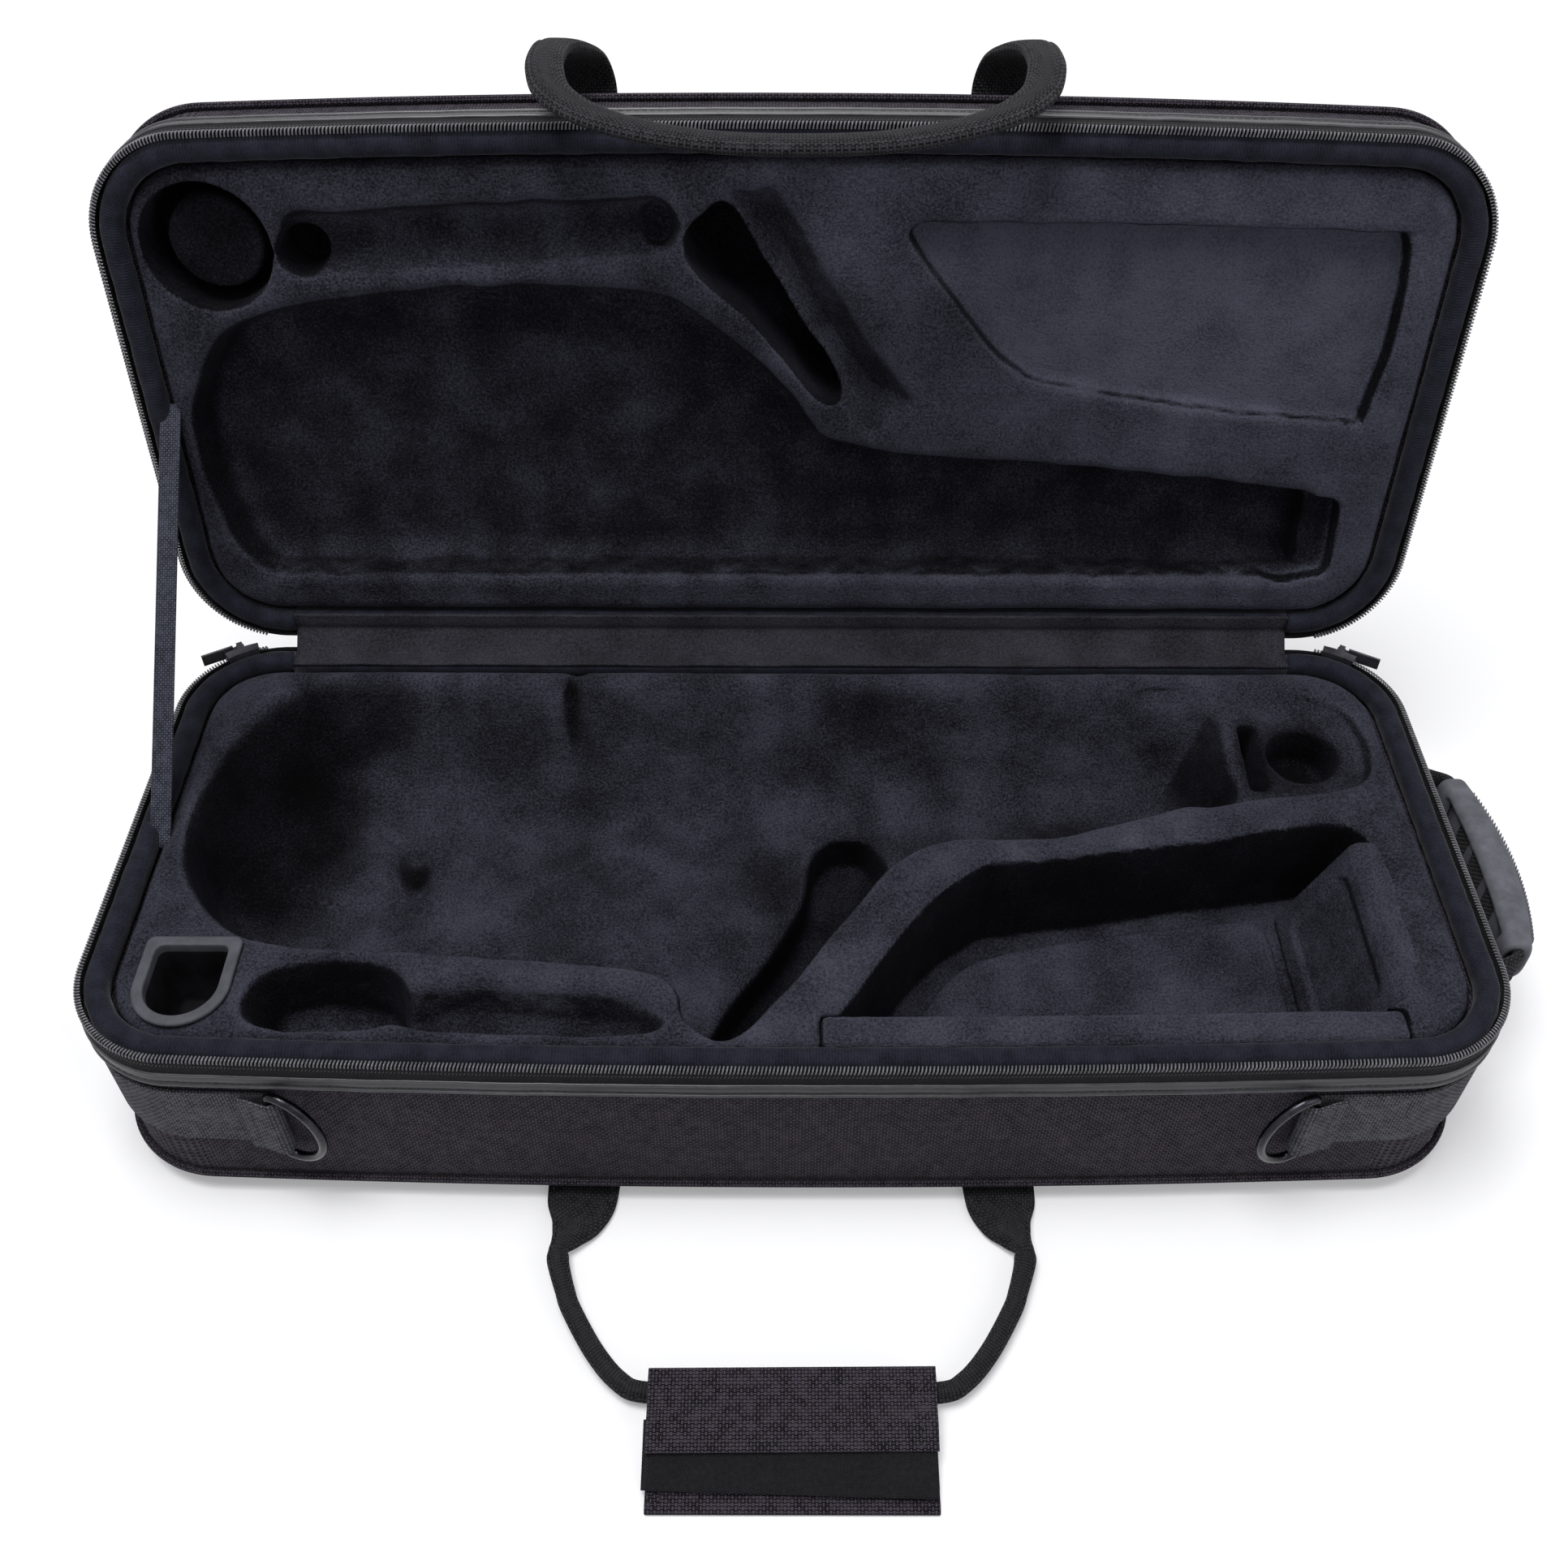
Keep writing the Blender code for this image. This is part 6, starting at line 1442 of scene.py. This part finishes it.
# How far from the end each ring of a mouth stands, and how far it is drawn in.
SLEEVE_MOUTH = [(6 * MM, 3.4 * MM), (0.9 * MM, 2.6 * MM), (0.15 * MM, 1.2 * MM), (0.0, 0.4 * MM),
                (0.5 * MM, 0.0), (3 * MM, 0.0)]
sleeve_xs = [(-WRAP_HALF + back, shrink) for back, shrink in SLEEVE_MOUTH]
sleeve_xs += [(x, 0.0) for x in np.arange(-WRAP_HALF + 7 * MM, WRAP_HALF - 6 * MM, 4 * MM)]
sleeve_xs += [(WRAP_HALF - back, shrink) for back, shrink in SLEEVE_MOUTH[::-1]]
sleeve = loft("grip_sleeve", [sleeve_ring(x, shrink) for x, shrink in sleeve_xs], SHELL_CLOTH)
finish(sleeve, "carry_handle", "shell_cloth", "carry_handle_wrap")


def sheet_grid(name, line, xs, thickness, material, lift):
    """A thin sheet through a (y, z) line, swept over xs, with a rise and slide for each spot."""
    line = smooth_run(line, 6)
    normal = square_to(line)
    normal *= np.sign(normal[:, 1:2] + 1e-9)
    rings = []
    for i, x in enumerate(xs):
        rise, slide = lift(x, line)
        thin = 0.35 if i in (0, len(xs) - 1) else 1.0
        middle = line + normal * (rise + thickness / 2)[:, None] + np.array([slide, 0.0])
        half = normal * thickness / 2 * thin
        ring = np.r_[middle + half, middle[-1:] + (middle[-1:] - middle[-2:-1]) * 0.2,
                     (middle - half)[::-1], middle[:1] - (middle[1:2] - middle[:1]) * 0.2]
        rings.append(np.c_[np.full(len(ring), x), ring])
    return loft(name, rings, material)


FLAP_FRONT = WRAP_FRONT + 13 * MM
flap_line = [(WRAP_BACK - 0.6 * MM, 14.0 * MM)]
flap_line += [(y, wrap_top(y) + 0.5 * MM)
              for y in np.linspace(WRAP_BACK - 6 * MM, WRAP_FRONT + 30 * MM, 4)]
flap_line += [(y, wrap_top(y) + 2.3 * MM)
              for y in np.linspace(WRAP_FRONT + 23 * MM, FLAP_FRONT, 3)]


def flap_lift(x, line):
    share = (WRAP_BACK - line[:, 0]) / (WRAP_BACK - FLAP_FRONT)
    rise = 0.45 * MM * swell(x, line[:, 0], 40 * MM, 51) * share
    return rise + 0.3 * MM, 0.5 * MM * x / WRAP_HALF


flap_xs = np.r_[-WRAP_HALF - 0.3 * MM, np.linspace(-WRAP_HALF, WRAP_HALF, 33),
                WRAP_HALF + 0.3 * MM]
flap = sheet_grid("grip_flap", flap_line, flap_xs, 2.0 * MM, SHELL_CLOTH, flap_lift)
finish(flap, "carry_flap", "shell_cloth", "carry_wrap_flap")


hem = []
for x in (-WRAP_HALF + 3.2 * MM, WRAP_HALF - 3.2 * MM, WRAP_HALF - 6.2 * MM):
    ys = np.linspace(WRAP_BACK - 5 * MM, FLAP_FRONT + 2 * MM, 14)
    hem.append(([(x, y, wrap_top(y) + (2.75 if y > WRAP_FRONT + 27 * MM else 4.5) * MM)
                 for y in ys], (0, 0, 1)))
front_row = [(x, FLAP_FRONT + 3.4 * MM + 0.5 * MM * x / WRAP_HALF)
             for x in np.linspace(-WRAP_HALF + 2 * MM, WRAP_HALF - 2 * MM, 30)]
hem.append(([(x, y, wrap_top(y) + 4.7 * MM) for x, y in front_row], (0, 0, 1)))
finish(stitch("grip_flap_stitches", hem), "carry_flap", "shell_cloth")

STRIP_BACK = WRAP_FRONT + 24 * MM
strip_line = [(y, wrap_top(y) + 0.2 * MM)
              for y in np.linspace(STRIP_BACK, WRAP_FRONT - 1.5 * MM, 6)]


def strip_lift(x, line):
    share = (STRIP_BACK - line[:, 0]) / (26 * MM)
    curl = 0.6 * MM * np.exp(-((abs(x) - 56 * MM) / (9 * MM)) ** 2) * share
    rise = curl + 0.25 * MM * (1 + swell(x, line[:, 0], 25 * MM, 61)) * share
    return rise, -1.6 * MM * x / WRAP_HALF


strip_xs = np.linspace(-60.5 * MM, 58.5 * MM, 34)
strip = sheet_grid("grip_hook_tape", strip_line, strip_xs, 1.7 * MM, HOOK_TAPE, strip_lift)
finish(strip, "carry_flap", "hook_tape", "carry_wrap_hook_strip")

# %% [markdown]
# The lid's handle stands over its top edge: flat legs rise behind the lid, fold over in a knot
# and hang in front as a tube. Each leg is sewn under a webbing patch with a crossed box seam.

# %% Lid handle
LID_HANDLE_HALF_SPAN = 104.5 * MM
LID_SEAM_Y = HINGE_Y - CASE_DEPTH + 18 * MM
LID_OVERHANG = 56 * MM
LID_FORWARD, LID_FALL = 46.5 * MM, LID_HEIGHT + 6.2 * MM + LID_OVERHANG
# Rows: across, forward, rise, how flat the webbing is, and how far it leans forward.
LID_SHARES = [
    (0.925, 0.00, 1.000, 1.00, -25), (0.925, 0.24, 1.050, 1.00, -12),
    (0.925, 0.49, 1.060, 0.95, 15), (0.935, 0.74, 1.000, 0.70, 40),
    (0.955, 0.92, 0.860, 0.30, 65), (0.98, 1.00, 0.735, 0.05, 85), (0.99, 1.01, 0.600, 0.00, 92),
    (0.985, 0.97, 0.480, 0.00, 95), (0.94, 0.88, 0.340, 0.00, 95), (0.81, 0.80, 0.210, 0.00, 92),
    (0.60, 0.75, 0.090, 0.00, 90), (0.33, 0.71, 0.020, 0.00, 90), (0.00, 0.70, 0.000, 0.00, 90)]


def lid_station(side, row):
    across, forward, rise, flat, lean_deg = row
    lean = radians(lean_deg)
    centre = (side * across * LID_HANDLE_HALF_SPAN, LID_SEAM_Y - forward * LID_FORWARD,
              RIM_Z + rise * LID_FALL - LID_OVERHANG)
    return centre, (0, -sin(lean), cos(lean)), flat


lid_handle = handle("lid_handle_webbing", LID_SHARES, 8.0 * MM, 3.5 * MM, lid_station)
finish(to_open_lid(lid_handle), "lid_handle", "webbing", "lid_handle_strap")

LID_LEG_SHARE = 0.925
PATCH_FRONT = LID_SEAM_Y + 1.4 * MM
PATCH_LOW = RIM_Z + LID_HEIGHT + 5.1 * MM
PATCH_HALF_THICK = 1.1 * MM


def lid_patch(side, tag):
    """The patch swells from its front end, where it comes off the leg."""
    x = side * LID_LEG_SHARE * LID_HANDLE_HALF_SPAN
    runs = np.linspace(0.6, 30, 14) * MM
    swells = PATCH_HALF_THICK * np.minimum(1, 0.25 + runs / (7.4 * MM))
    path = [(x, PATCH_FRONT + run, PATCH_LOW + half) for run, half in zip(runs, swells)]
    sections = np.array([strap_section(LEG_HALF_WIDTH, half) for half in swells])
    patch = sweep("lid_handle_patch_" + tag, path, (0, 0, 1), sections, WEBBING)
    finish(to_open_lid(patch), "lid", "webbing", "lid_handle_anchor_" + tag)
    a, b, c, d = [(x + u * 13.5 * MM, PATCH_FRONT + v * MM, PATCH_LOW + 2.35 * MM)
                  for u, v in ((-1, 9), (1, 9), (1, 27), (-1, 27))]
    seams = [(pair, (0, 0, 1)) for pair in ([a, b], [b, c], [c, d], [d, a], [a, c], [b, d])]
    finish(to_open_lid(stitch("lid_handle_box_seam_" + tag, seams, THREAD)), "lid", "webbing")


for side, tag in SIDES:
    lid_patch(side, tag)

# %% [markdown]
# The end handle is a moulded rubber grip on a webbing loop. It bows out from the wall, its
# inner side has hollows for the fingers, and fine ribs cross its outer face.

# %% End handle
GRIP_BACK, GRIP_FRONT = 56 * MM, -50 * MM
GRIP_MID, GRIP_HALF = (GRIP_BACK + GRIP_FRONT) / 2, (GRIP_BACK - GRIP_FRONT) / 2
GRIP_Z = 68 * MM
END_WALL = CASE_LENGTH / 2 - WALL_SETBACK
GRIP_WALL = END_WALL + 2.2 * MM
GRIP_X = GRIP_WALL + 25 * MM
GRIP_HALF_THICK, GRIP_BOW = 7 * MM, 8 * MM
# The finger hollows and the ribs stop short of the grip's ends.
HOLLOW_SHARE, RIB_SHARE = 0.8, 0.86


def grip_section(share):
    """The grip's section at a share from -1 to 1 of its length, as (x, z) points."""
    bow = GRIP_BOW * (1 - share ** 2)
    inner, outer = -GRIP_HALF_THICK + 0.35 * bow, GRIP_HALF_THICK + bow
    turns = np.linspace(0, 2 * pi, 40, endpoint=False)
    section = oval((outer - inner) / 2, 12.5 * MM, 3.4, turns)
    section[:, 0] += GRIP_X + (inner + outer) / 2
    if abs(share) < HOLLOW_SHARE:
        hollows = 1.1 * MM * (1 - cos(2 * pi * 2.5 * (share + 1))) + 1.6 * MM
        face = np.clip(-np.cos(turns), 0, 1) ** 2
        section[:, 0] += hollows * face * (abs(section[:, 1]) < 8.5 * MM)
    return section


# Rings near each end shrink, so that the rubber turns in round its mouth.
GRIP_MOUTH = [(0.93, 0.45), (0.985, 0.55), (1.0, 0.8), (0.995, 0.96)]
grip_rings = []
for share, scale in ([(-share, scale) for share, scale in GRIP_MOUTH]
                     + [(share, 1.0) for share in np.linspace(-0.97, 0.97, 78)]
                     + GRIP_MOUTH[::-1]):
    section = grip_section(share)
    middle = section.mean(axis=0)
    section = middle + (section - middle) * scale
    grip_rings.append([(x, GRIP_MID + share * GRIP_HALF, GRIP_Z + z) for x, z in section])
grip = loft("end_handle_rubber_grip", grip_rings, GRIP_RUBBER)
finish(grip, "end_handle", "grip_rubber", "end_handle_grip")
rib_path = [(GRIP_X + GRIP_HALF_THICK + GRIP_BOW * (1 - share ** 2) + 0.1 * MM,
             GRIP_MID + share * GRIP_HALF, GRIP_Z)
            for share in np.linspace(-RIB_SHARE, RIB_SHARE, 60)]
ribs = repeat("end_grip_ribs", STITCH_ROW, [(rib_path, (1, 0, 0))], GRIP_RUBBER,
              Pitch=2.3 * MM, Size=(1.5 * MM, 22 * MM, 2.2 * MM))
finish(ribs, "end_handle", "grip_rubber")

# Rows: share of the way from the wall to the grip, reach past the grip's end, and its turn.
LOOP_SHARES = [(0.00, 1.00, 0), (0.00, 0.72, 8), (0.22, 0.48, 55), (0.62, 0.28, 60),
               (0.92, 0.14, 30), (1.00, 0.03, 5), (1.00, -0.10, 0)]
LOOP_X, LOOP_REACH = GRIP_WALL + 1.5 * MM, 24 * MM
loop_rows = [(LOOP_X + (GRIP_X - LOOP_X) * across, GRIP_HALF + forward * LOOP_REACH,
              cos(radians(lean)), sin(radians(lean))) for across, forward, lean in LOOP_SHARES]
back_loop = smooth_run(loop_rows, 6)
inside = [(GRIP_X, share * GRIP_HALF, 1.0, 0.0) for share in np.linspace(0.85, -0.85, 12)]
end_loop_rows = np.r_[back_loop, inside, back_loop[::-1] * (1, -1, 1, -1)]
end_loop = sweep("end_handle_loop", [(x, GRIP_MID + y, GRIP_Z) for x, y, _, _ in end_loop_rows],
                 [(u, v, 0) for _, _, u, v in end_loop_rows],
                 strap_section(10.5 * MM, 2.3 * MM), WEBBING)
finish_across(end_loop, "base", "end_handle", (GRIP_WALL + 3 * MM, 0, GRIP_Z),
              (GRIP_X - 3 * MM, 0, GRIP_Z), "webbing", "end_handle_strap")

patch_path = [(END_WALL + 1.1 * MM, y, RING_Z)
              for y in np.linspace(GRIP_BACK, GRIP_BACK + LOOP_REACH, 9)]
patch = sweep("end_handle_wall_patch", patch_path, (1, 0, 0),
              strap_section(WEBBING_HALF, WEBBING_HALF_THICK), WEBBING)
finish(patch, "base", "webbing", "end_handle_patch")

# %% [markdown]
# The outer pocket is a padded panel on the lid. Its cloth crowns over the foam, is bound at the
# edge and quilted down by one seam round the margin. A tape with a coil closes it.

# %% Outer pocket
POCKET_FACE = RIM_Z + LID_HEIGHT + 0.3 * MM
# Rings in mm: inset from the panel's edge, and rise from the lid's face.
POCKET_RINGS = [(0.4, 0.1), (0.0, 0.5), (0.0, 1.6), (0.4, 2.6), (1.2, 3.4), (2.6, 3.9),
                (4.6, 3.9), (6.4, 3.3), (7.2, 3.0), (8.0, 3.3), (11, 4.1), (18, 4.7), (30, 5.0),
                (50, 5.2), (80, 5.3)]


# The zip lies in front of the panel, along the case's top edge when it stands.
ZIP_Y = HINGE_Y - CASE_DEPTH + 14 * MM
POCKET_MARGIN, POCKET_CORNER = 13 * MM, 35 * MM


def pocket_outline(inset):
    """The panel's outline, drawn in from its edge, with evenly shared points."""
    back = HINGE_Y - POCKET_MARGIN - inset
    front = ZIP_Y + 6.3 * MM + inset
    half = CASE_LENGTH / 2 - POCKET_MARGIN - inset
    radius = max(POCKET_CORNER - inset, 6 * MM)
    across, high, low = half - radius, back - radius, front + radius
    sides = [arc(x, y, radius, first, first + 90, 10)
             for x, y, first in ((across, high, 0), (-across, high, 90), (-across, low, 180),
                                 (across, low, 270))]
    points = []
    for one, two, count in zip(sides, sides[1:] + sides[:1], (60, 24, 60, 24)):
        share = np.arange(1, count)[:, None] / count
        points += [*one, *(one[-1] + (two[0] - one[-1]) * share)]
    return np.array(points)


def fan_middle(work):
    """Parts the big middle face into triangles, so that its crown can be shaded."""
    bmesh.ops.poke(work, faces=[face for face in work.faces if len(face.verts) > 8])


pocket_rings = []
for inset, rise in POCKET_RINGS:
    outline = pocket_outline(inset * MM)
    wave = 0.35 * MM * swell(outline[:, 0], outline[:, 1], 50 * MM, 71) * min(1, inset / 12)
    pocket_rings.append(np.c_[outline, POCKET_FACE + rise * MM + wave])
pocket = loft("lid_outer_pocket", pocket_rings, SHELL_CLOTH)
rework(pocket.data, fan_middle)
weave_level_faces(pocket)
finish(to_open_lid(pocket), "lid", "shell_cloth", "lid_pocket_panel")
seam = pocket_outline(7.2 * MM)
seam = np.c_[seam, np.full(len(seam), POCKET_FACE + 3.15 * MM)]
pocket_stitches = stitch("pocket_quilt_seam", [(seam, (0, 0, 1))], THREAD, closed=True)
finish(to_open_lid(pocket_stitches), "lid", "shell_cloth")

tape_path = [(x, ZIP_Y, POCKET_FACE + 0.4 * MM) for x in np.arange(-220, 221, 5) * MM]
tape = sweep("pocket_zip_tape", tape_path, (0, 0, 1), strap_section(6 * MM, 0.4 * MM), ZIP_TAPE)
finish(to_open_lid(tape), "lid", "zip_tape", "pocket_zip")
coil_line = [(x, ZIP_Y, POCKET_FACE + 1.35 * MM) for x in np.arange(-214, 215, 4) * MM]
pocket_coil = repeat("pocket_coil_teeth", COIL_ROW, [(coil_line, (0, 0, 1))], COIL,
                     Pitch=1.45 * MM, Size=(0.8 * MM, 2.3 * MM, 0.9 * MM), Wire=0.4 * MM)
finish(to_open_lid(pocket_coil), "lid", "zip_coil")

# %% [markdown]
# The mouthpiece cup is moulded ABS: a D-shaped flange that rests on the plush, a thin wall and
# a floor with a round hole. Rings of the same plan at different insets make one closed wall.

# %% Mouthpiece cup
SPACE_TOP = RIM_Z - FACE_DROP
# Rings in mm: inset from the flange's edge, and depth below the plush.
CUP_PROFILE = [(4.2, 40.0), (4.2, 20.0), (4.2, -0.3), (0.6, -0.3), (0.1, -0.8), (0.0, -1.5),
               (0.1, -2.2), (0.6, -2.6), (1.1, -2.7), (2.7, -2.7), (4.4, -2.7), (4.8, -2.6),
               (5.0, -2.2), (5.1, -1.6), (5.2, 2.0), (5.3, 18.0), (5.7, 36.0), (6.8, 37.7),
               (9.0, 38.0)]
CUP_HOLE_RADIUS = 10.5 * MM
CUP_HOLE_CENTRE = np.array([CUP_X, CUP_BACK - CUP_LENGTH + CUP_HALF_WIDTH])

cup_rings = [np.c_[cup_plan(inset * MM), np.full(CUP_POINTS, SPACE_TOP - depth * MM)]
             for inset, depth in CUP_PROFILE]
ways = cup_plan(9 * MM) - CUP_HOLE_CENTRE
hole = CUP_HOLE_CENTRE + ways / np.linalg.norm(ways, axis=1)[:, None] * CUP_HOLE_RADIUS
cup_rings += [np.c_[hole, np.full(CUP_POINTS, SPACE_TOP - depth * MM)] for depth in (38, 40)]
cup = loft("moulded_mouthpiece_cup", cup_rings, CUP_PLASTIC, closed_run=True)
cup.data.materials.append(CUP_SHADED_INSIDE)
# Below the flange the cup takes the copy painted dark for the shade inside it.
for face in cup.data.polygons:
    if face.center.z < SPACE_TOP - 1.5 * MM:
        face.material_index = 1
finish(cup, "base", "cup_plastic", "mouthpiece_cup")

# %% [markdown]
# Three loose pads line the accessory space: a strip in front, a sloping board at its end and a
# thin floor pad. They are distance fields too, on a finer grid, so plush rounds every edge.

# %% Pads of the accessory space
def field_piece(name, low, high, cell, field, facing):
    """A closed skin of a field that is given for x, y and z in metres."""
    low = np.array(low) - 3 * cell
    counts = np.ceil((np.array(high) + 3 * cell - low) / cell).astype(int) + 1
    axes = [low[d] + cell * np.arange(counts[d]) for d in range(3)]
    spots, quads = skin(field(*np.meshgrid(*axes, indexing="ij")), low, cell)
    mesh = bpy.data.meshes.new(name)
    mesh.from_pydata(spots.tolist(), [], quads.tolist())

    def ruffle(work):
        for v in work.verts:
            v.co += v.normal * 0.18 * MM * noise.noise(v.co / (4 * MM))
    rework(mesh, turn_outward, ruffle)
    # Painted light and shade: dark walls, lighter lips and faces.
    lay_painted_light(mesh, facing, SPACE_TOP - np.array([v.co.z for v in mesh.vertices]))
    return new_object(name, mesh, INSERT_PLUSH)


SPACE_FLOOR = SPACE_TOP - 60 * MM
PAD_FACE = 0.922 * INSERT_HALF_LENGTH + 4.2 * MM
PAD_FOOT, PAD_TOP, PAD_BORDER = 39 * MM, 14 * MM, 12 * MM
PAD_BACK, PAD_FRONT = -0.040 * INSERT_HALF_DEPTH, -0.840 * INSERT_HALF_DEPTH
RAIL_HEIGHT = 13 * MM
FLOOR_PAD_THICK = 3 * MM
FLOOR_PAD_SHARES = [
    (0.150, -0.880), (0.185, -0.620), (0.260, -0.330), (0.350, -0.215), (0.480, -0.145),
    (0.640, -0.085), (0.745, -0.060), (0.785, -0.120), (0.790, -0.400), (0.785, -0.820),
    (0.750, -0.885), (0.500, -0.900), (0.250, -0.900)]


def end_pad_field(x, y, z):
    """A board that slopes, with a shallow panel pressed in its face."""
    low = SPACE_FLOOR + 0.6 * MM
    slope = float(np.arctan2(SPACE_TOP - low, PAD_FOOT - PAD_TOP))
    length = (SPACE_TOP - low) / sin(slope)
    x0, z0 = x - (PAD_FACE - PAD_FOOT), z - low
    gap = z0 * cos(slope) - x0 * sin(slope)
    along = x0 * cos(slope) + z0 * sin(slope)
    sides = np.maximum(y - PAD_BACK, PAD_FRONT - y)
    shell = meet(np.maximum(x - PAD_FACE, low - z), sides, 3 * MM)
    pad = meet(meet(gap, z - SPACE_TOP + 0.6 * MM, 4 * MM), shell, 2 * MM)
    inside = meet(np.maximum(PAD_BORDER - along, along - (length - PAD_BORDER)),
                  sides + PAD_BORDER, 5 * MM)
    return meet(pad, -meet(inside, -gap - 1.6 * MM, 1.2 * MM), 2 * MM)


def rail_field(x, y, z):
    """A strip that follows the mould's edge, a little proud, and flush at its end."""
    edge = loop_distance(MOULD_EDGE, x[:, :, 0], y[:, :, 0])[..., None]
    ends = np.maximum(RAIL_START - x, x - RAIL_START - RAIL_LENGTH)
    sides = meet(np.maximum(edge, -edge - RAIL_WIDTH), ends, 3 * MM)
    top = SPACE_TOP + 1.2 * MM - 1.2 * MM * np.clip((x - 228 * MM) / (22 * MM), 0, 1)
    return meet(sides, np.maximum(z - top, top - RAIL_HEIGHT - z), 3.2 * MM)


def floor_pad_field(x, y, z):
    gap = loop_distance(smooth_loop(placed(FLOOR_PAD_SHARES)), x[:, :, 0], y[:, :, 0])[..., None]
    low = SPACE_FLOOR + 0.3 * MM
    return meet(gap, np.maximum(low - z, z - low - FLOOR_PAD_THICK), 1.3 * MM)


PADS = (
    # Piece, node, the corners of its grid, cell, field, the way its painted light faces, fill.
    ("accessory_end_board", "accessory_end_pad", (PAD_FACE - PAD_FOOT, PAD_FRONT, SPACE_FLOOR),
     (PAD_FACE, PAD_BACK, SPACE_TOP), 1.3 * MM, end_pad_field, (-0.42, 0, 0.9), 0.9),
    ("accessory_front_strip", "accessory_front_rail",
     (RAIL_START, -124 * MM, SPACE_TOP - 12 * MM),
     (RAIL_START + RAIL_LENGTH, -96 * MM, SPACE_TOP + 2 * MM), 1.5 * MM, rail_field,
     (0, 0, 1), 0.9),
    ("accessory_floor_cushion", "accessory_floor_pad", (40 * MM, -108 * MM, SPACE_FLOOR),
     (236 * MM, -2 * MM, SPACE_FLOOR + 4 * MM), 1.1 * MM, floor_pad_field, (0, 0, 1), 0.8),
)
for piece_name, node_name, low, high, cell, field, facing, fill in PADS:
    pad = field_piece(piece_name, low, high, cell, field, facing)
    finish(pad, "base", "insert_plush", node_name)

# %% [markdown]
# Sliders and pulls are small zinc castings under dark enamel. Their solids already have the
# right shape, so they stay, with a fine bevel for the light to catch and the metal's finish.

# %% Sliders and pulls
for name in sorted(nodes):
    if "slider" in name or "pull" in name:
        casting = bpy.data.objects[name]
        edge = casting.modifiers.new("soft_edges", "BEVEL")
        edge.width = 0.22 * MM
        edge.segments = 2
        edge.limit_method = "ANGLE"
        edge.angle_limit = radians(40)
        casting.data.materials.clear()
        casting.data.materials.append(SLIDER_METAL)
        print(name, "enamelled")

# %% [markdown]
# A soft studio: a pale floor, a pale backdrop seen only by the camera and in gloss, a broad
# lamp above, a fill from the front right and a soft light from behind. The floor keeps the
# case's shadow, and farther from the case it glows, as paper does that is lit on its own.

# %% Studio
def soft_lamp(name, place, target, size, power):
    lamp = bpy.data.lights.new(name, "AREA")
    lamp.shape = "SQUARE"
    lamp.size = size
    lamp.energy = power
    made = bpy.data.objects.new(name, lamp)
    bpy.context.scene.collection.objects.link(made)
    made.location = place
    made.rotation_euler = (Vector(target) - Vector(place)).to_track_quat("-Z", "Y").to_euler()


def looked_at(tree):
    """1 for rays from the camera, in gloss or through glass, else 0."""
    seen = add(tree, "ShaderNodeLightPath").outputs
    return maths(tree, "MAXIMUM", seen["Is Camera Ray"],
                 maths(tree, "MAXIMUM", seen["Is Glossy Ray"], seen["Is Transmission Ray"]))


def studio_world():
    world = bpy.data.worlds.new("studio")
    bpy.context.scene.world = world
    world.use_nodes = True
    tree = world.node_tree
    tree.nodes.clear()
    sky = add(tree, "ShaderNodeBackground", {"Color": (0.95, 0.95, 1.0, 1.0), "Strength": 0.28})
    plain = add(tree, "ShaderNodeBackground", {"Color": tint("fdfdfe"), "Strength": 1.0})
    mixed = add(tree, "ShaderNodeMixShader",
                {0: looked_at(tree), 1: sky.outputs[0], 2: plain.outputs[0]})
    add(tree, "ShaderNodeOutputWorld", {"Surface": mixed.outputs[0]})


def add_floor():
    """A wide pale floor that keeps the case's soft shadow."""
    bpy.ops.mesh.primitive_plane_add(size=8, location=(0, 0, -0.2 * MM))
    floor = bpy.context.object
    floor.name = "studio_floor"
    made, tree, shader, place = new_material("pale_paper_sweep", "Object")
    set_inputs(tree, shader, {"Base Color": tint("f4f4f5"), "Roughness": 0.9,
                              "Specular IOR Level": 0.1})
    away = add(tree, "ShaderNodeVectorMath", {0: place}, operation="LENGTH").outputs["Value"]
    share = add(tree, "ShaderNodeMapRange", {"Value": away, "From Min": 0.3, "From Max": 0.75,
                                             "To Min": 0.25, "To Max": 1.0}).outputs[0]
    glow = add(tree, "ShaderNodeEmission", {"Color": tint("fefeff"), "Strength": 1.04})
    mixed = add(tree, "ShaderNodeMixShader",
                {0: maths(tree, "MULTIPLY", share, looked_at(tree)), 1: shader.outputs[0],
                 2: glow.outputs[0]})
    output = next(node for node in tree.nodes if node.type == "OUTPUT_MATERIAL")
    tree.links.new(mixed.outputs[0], output.inputs["Surface"])
    floor.data.materials.append(made)


soft_lamp("key", (-0.3, -0.2, 2.0), (0, 0, 0.1), 0.9, 36)
soft_lamp("fill", (1.3, -0.9, 1.2), (0, 0, 0.15), 1.2, 7)
soft_lamp("back", (0.2, 1.3, 1.4), (0, 0.1, 0.3), 1.0, 8)
studio_world()
add_floor()
bpy.context.scene.view_settings.view_transform = "Standard"
print("studio lit")
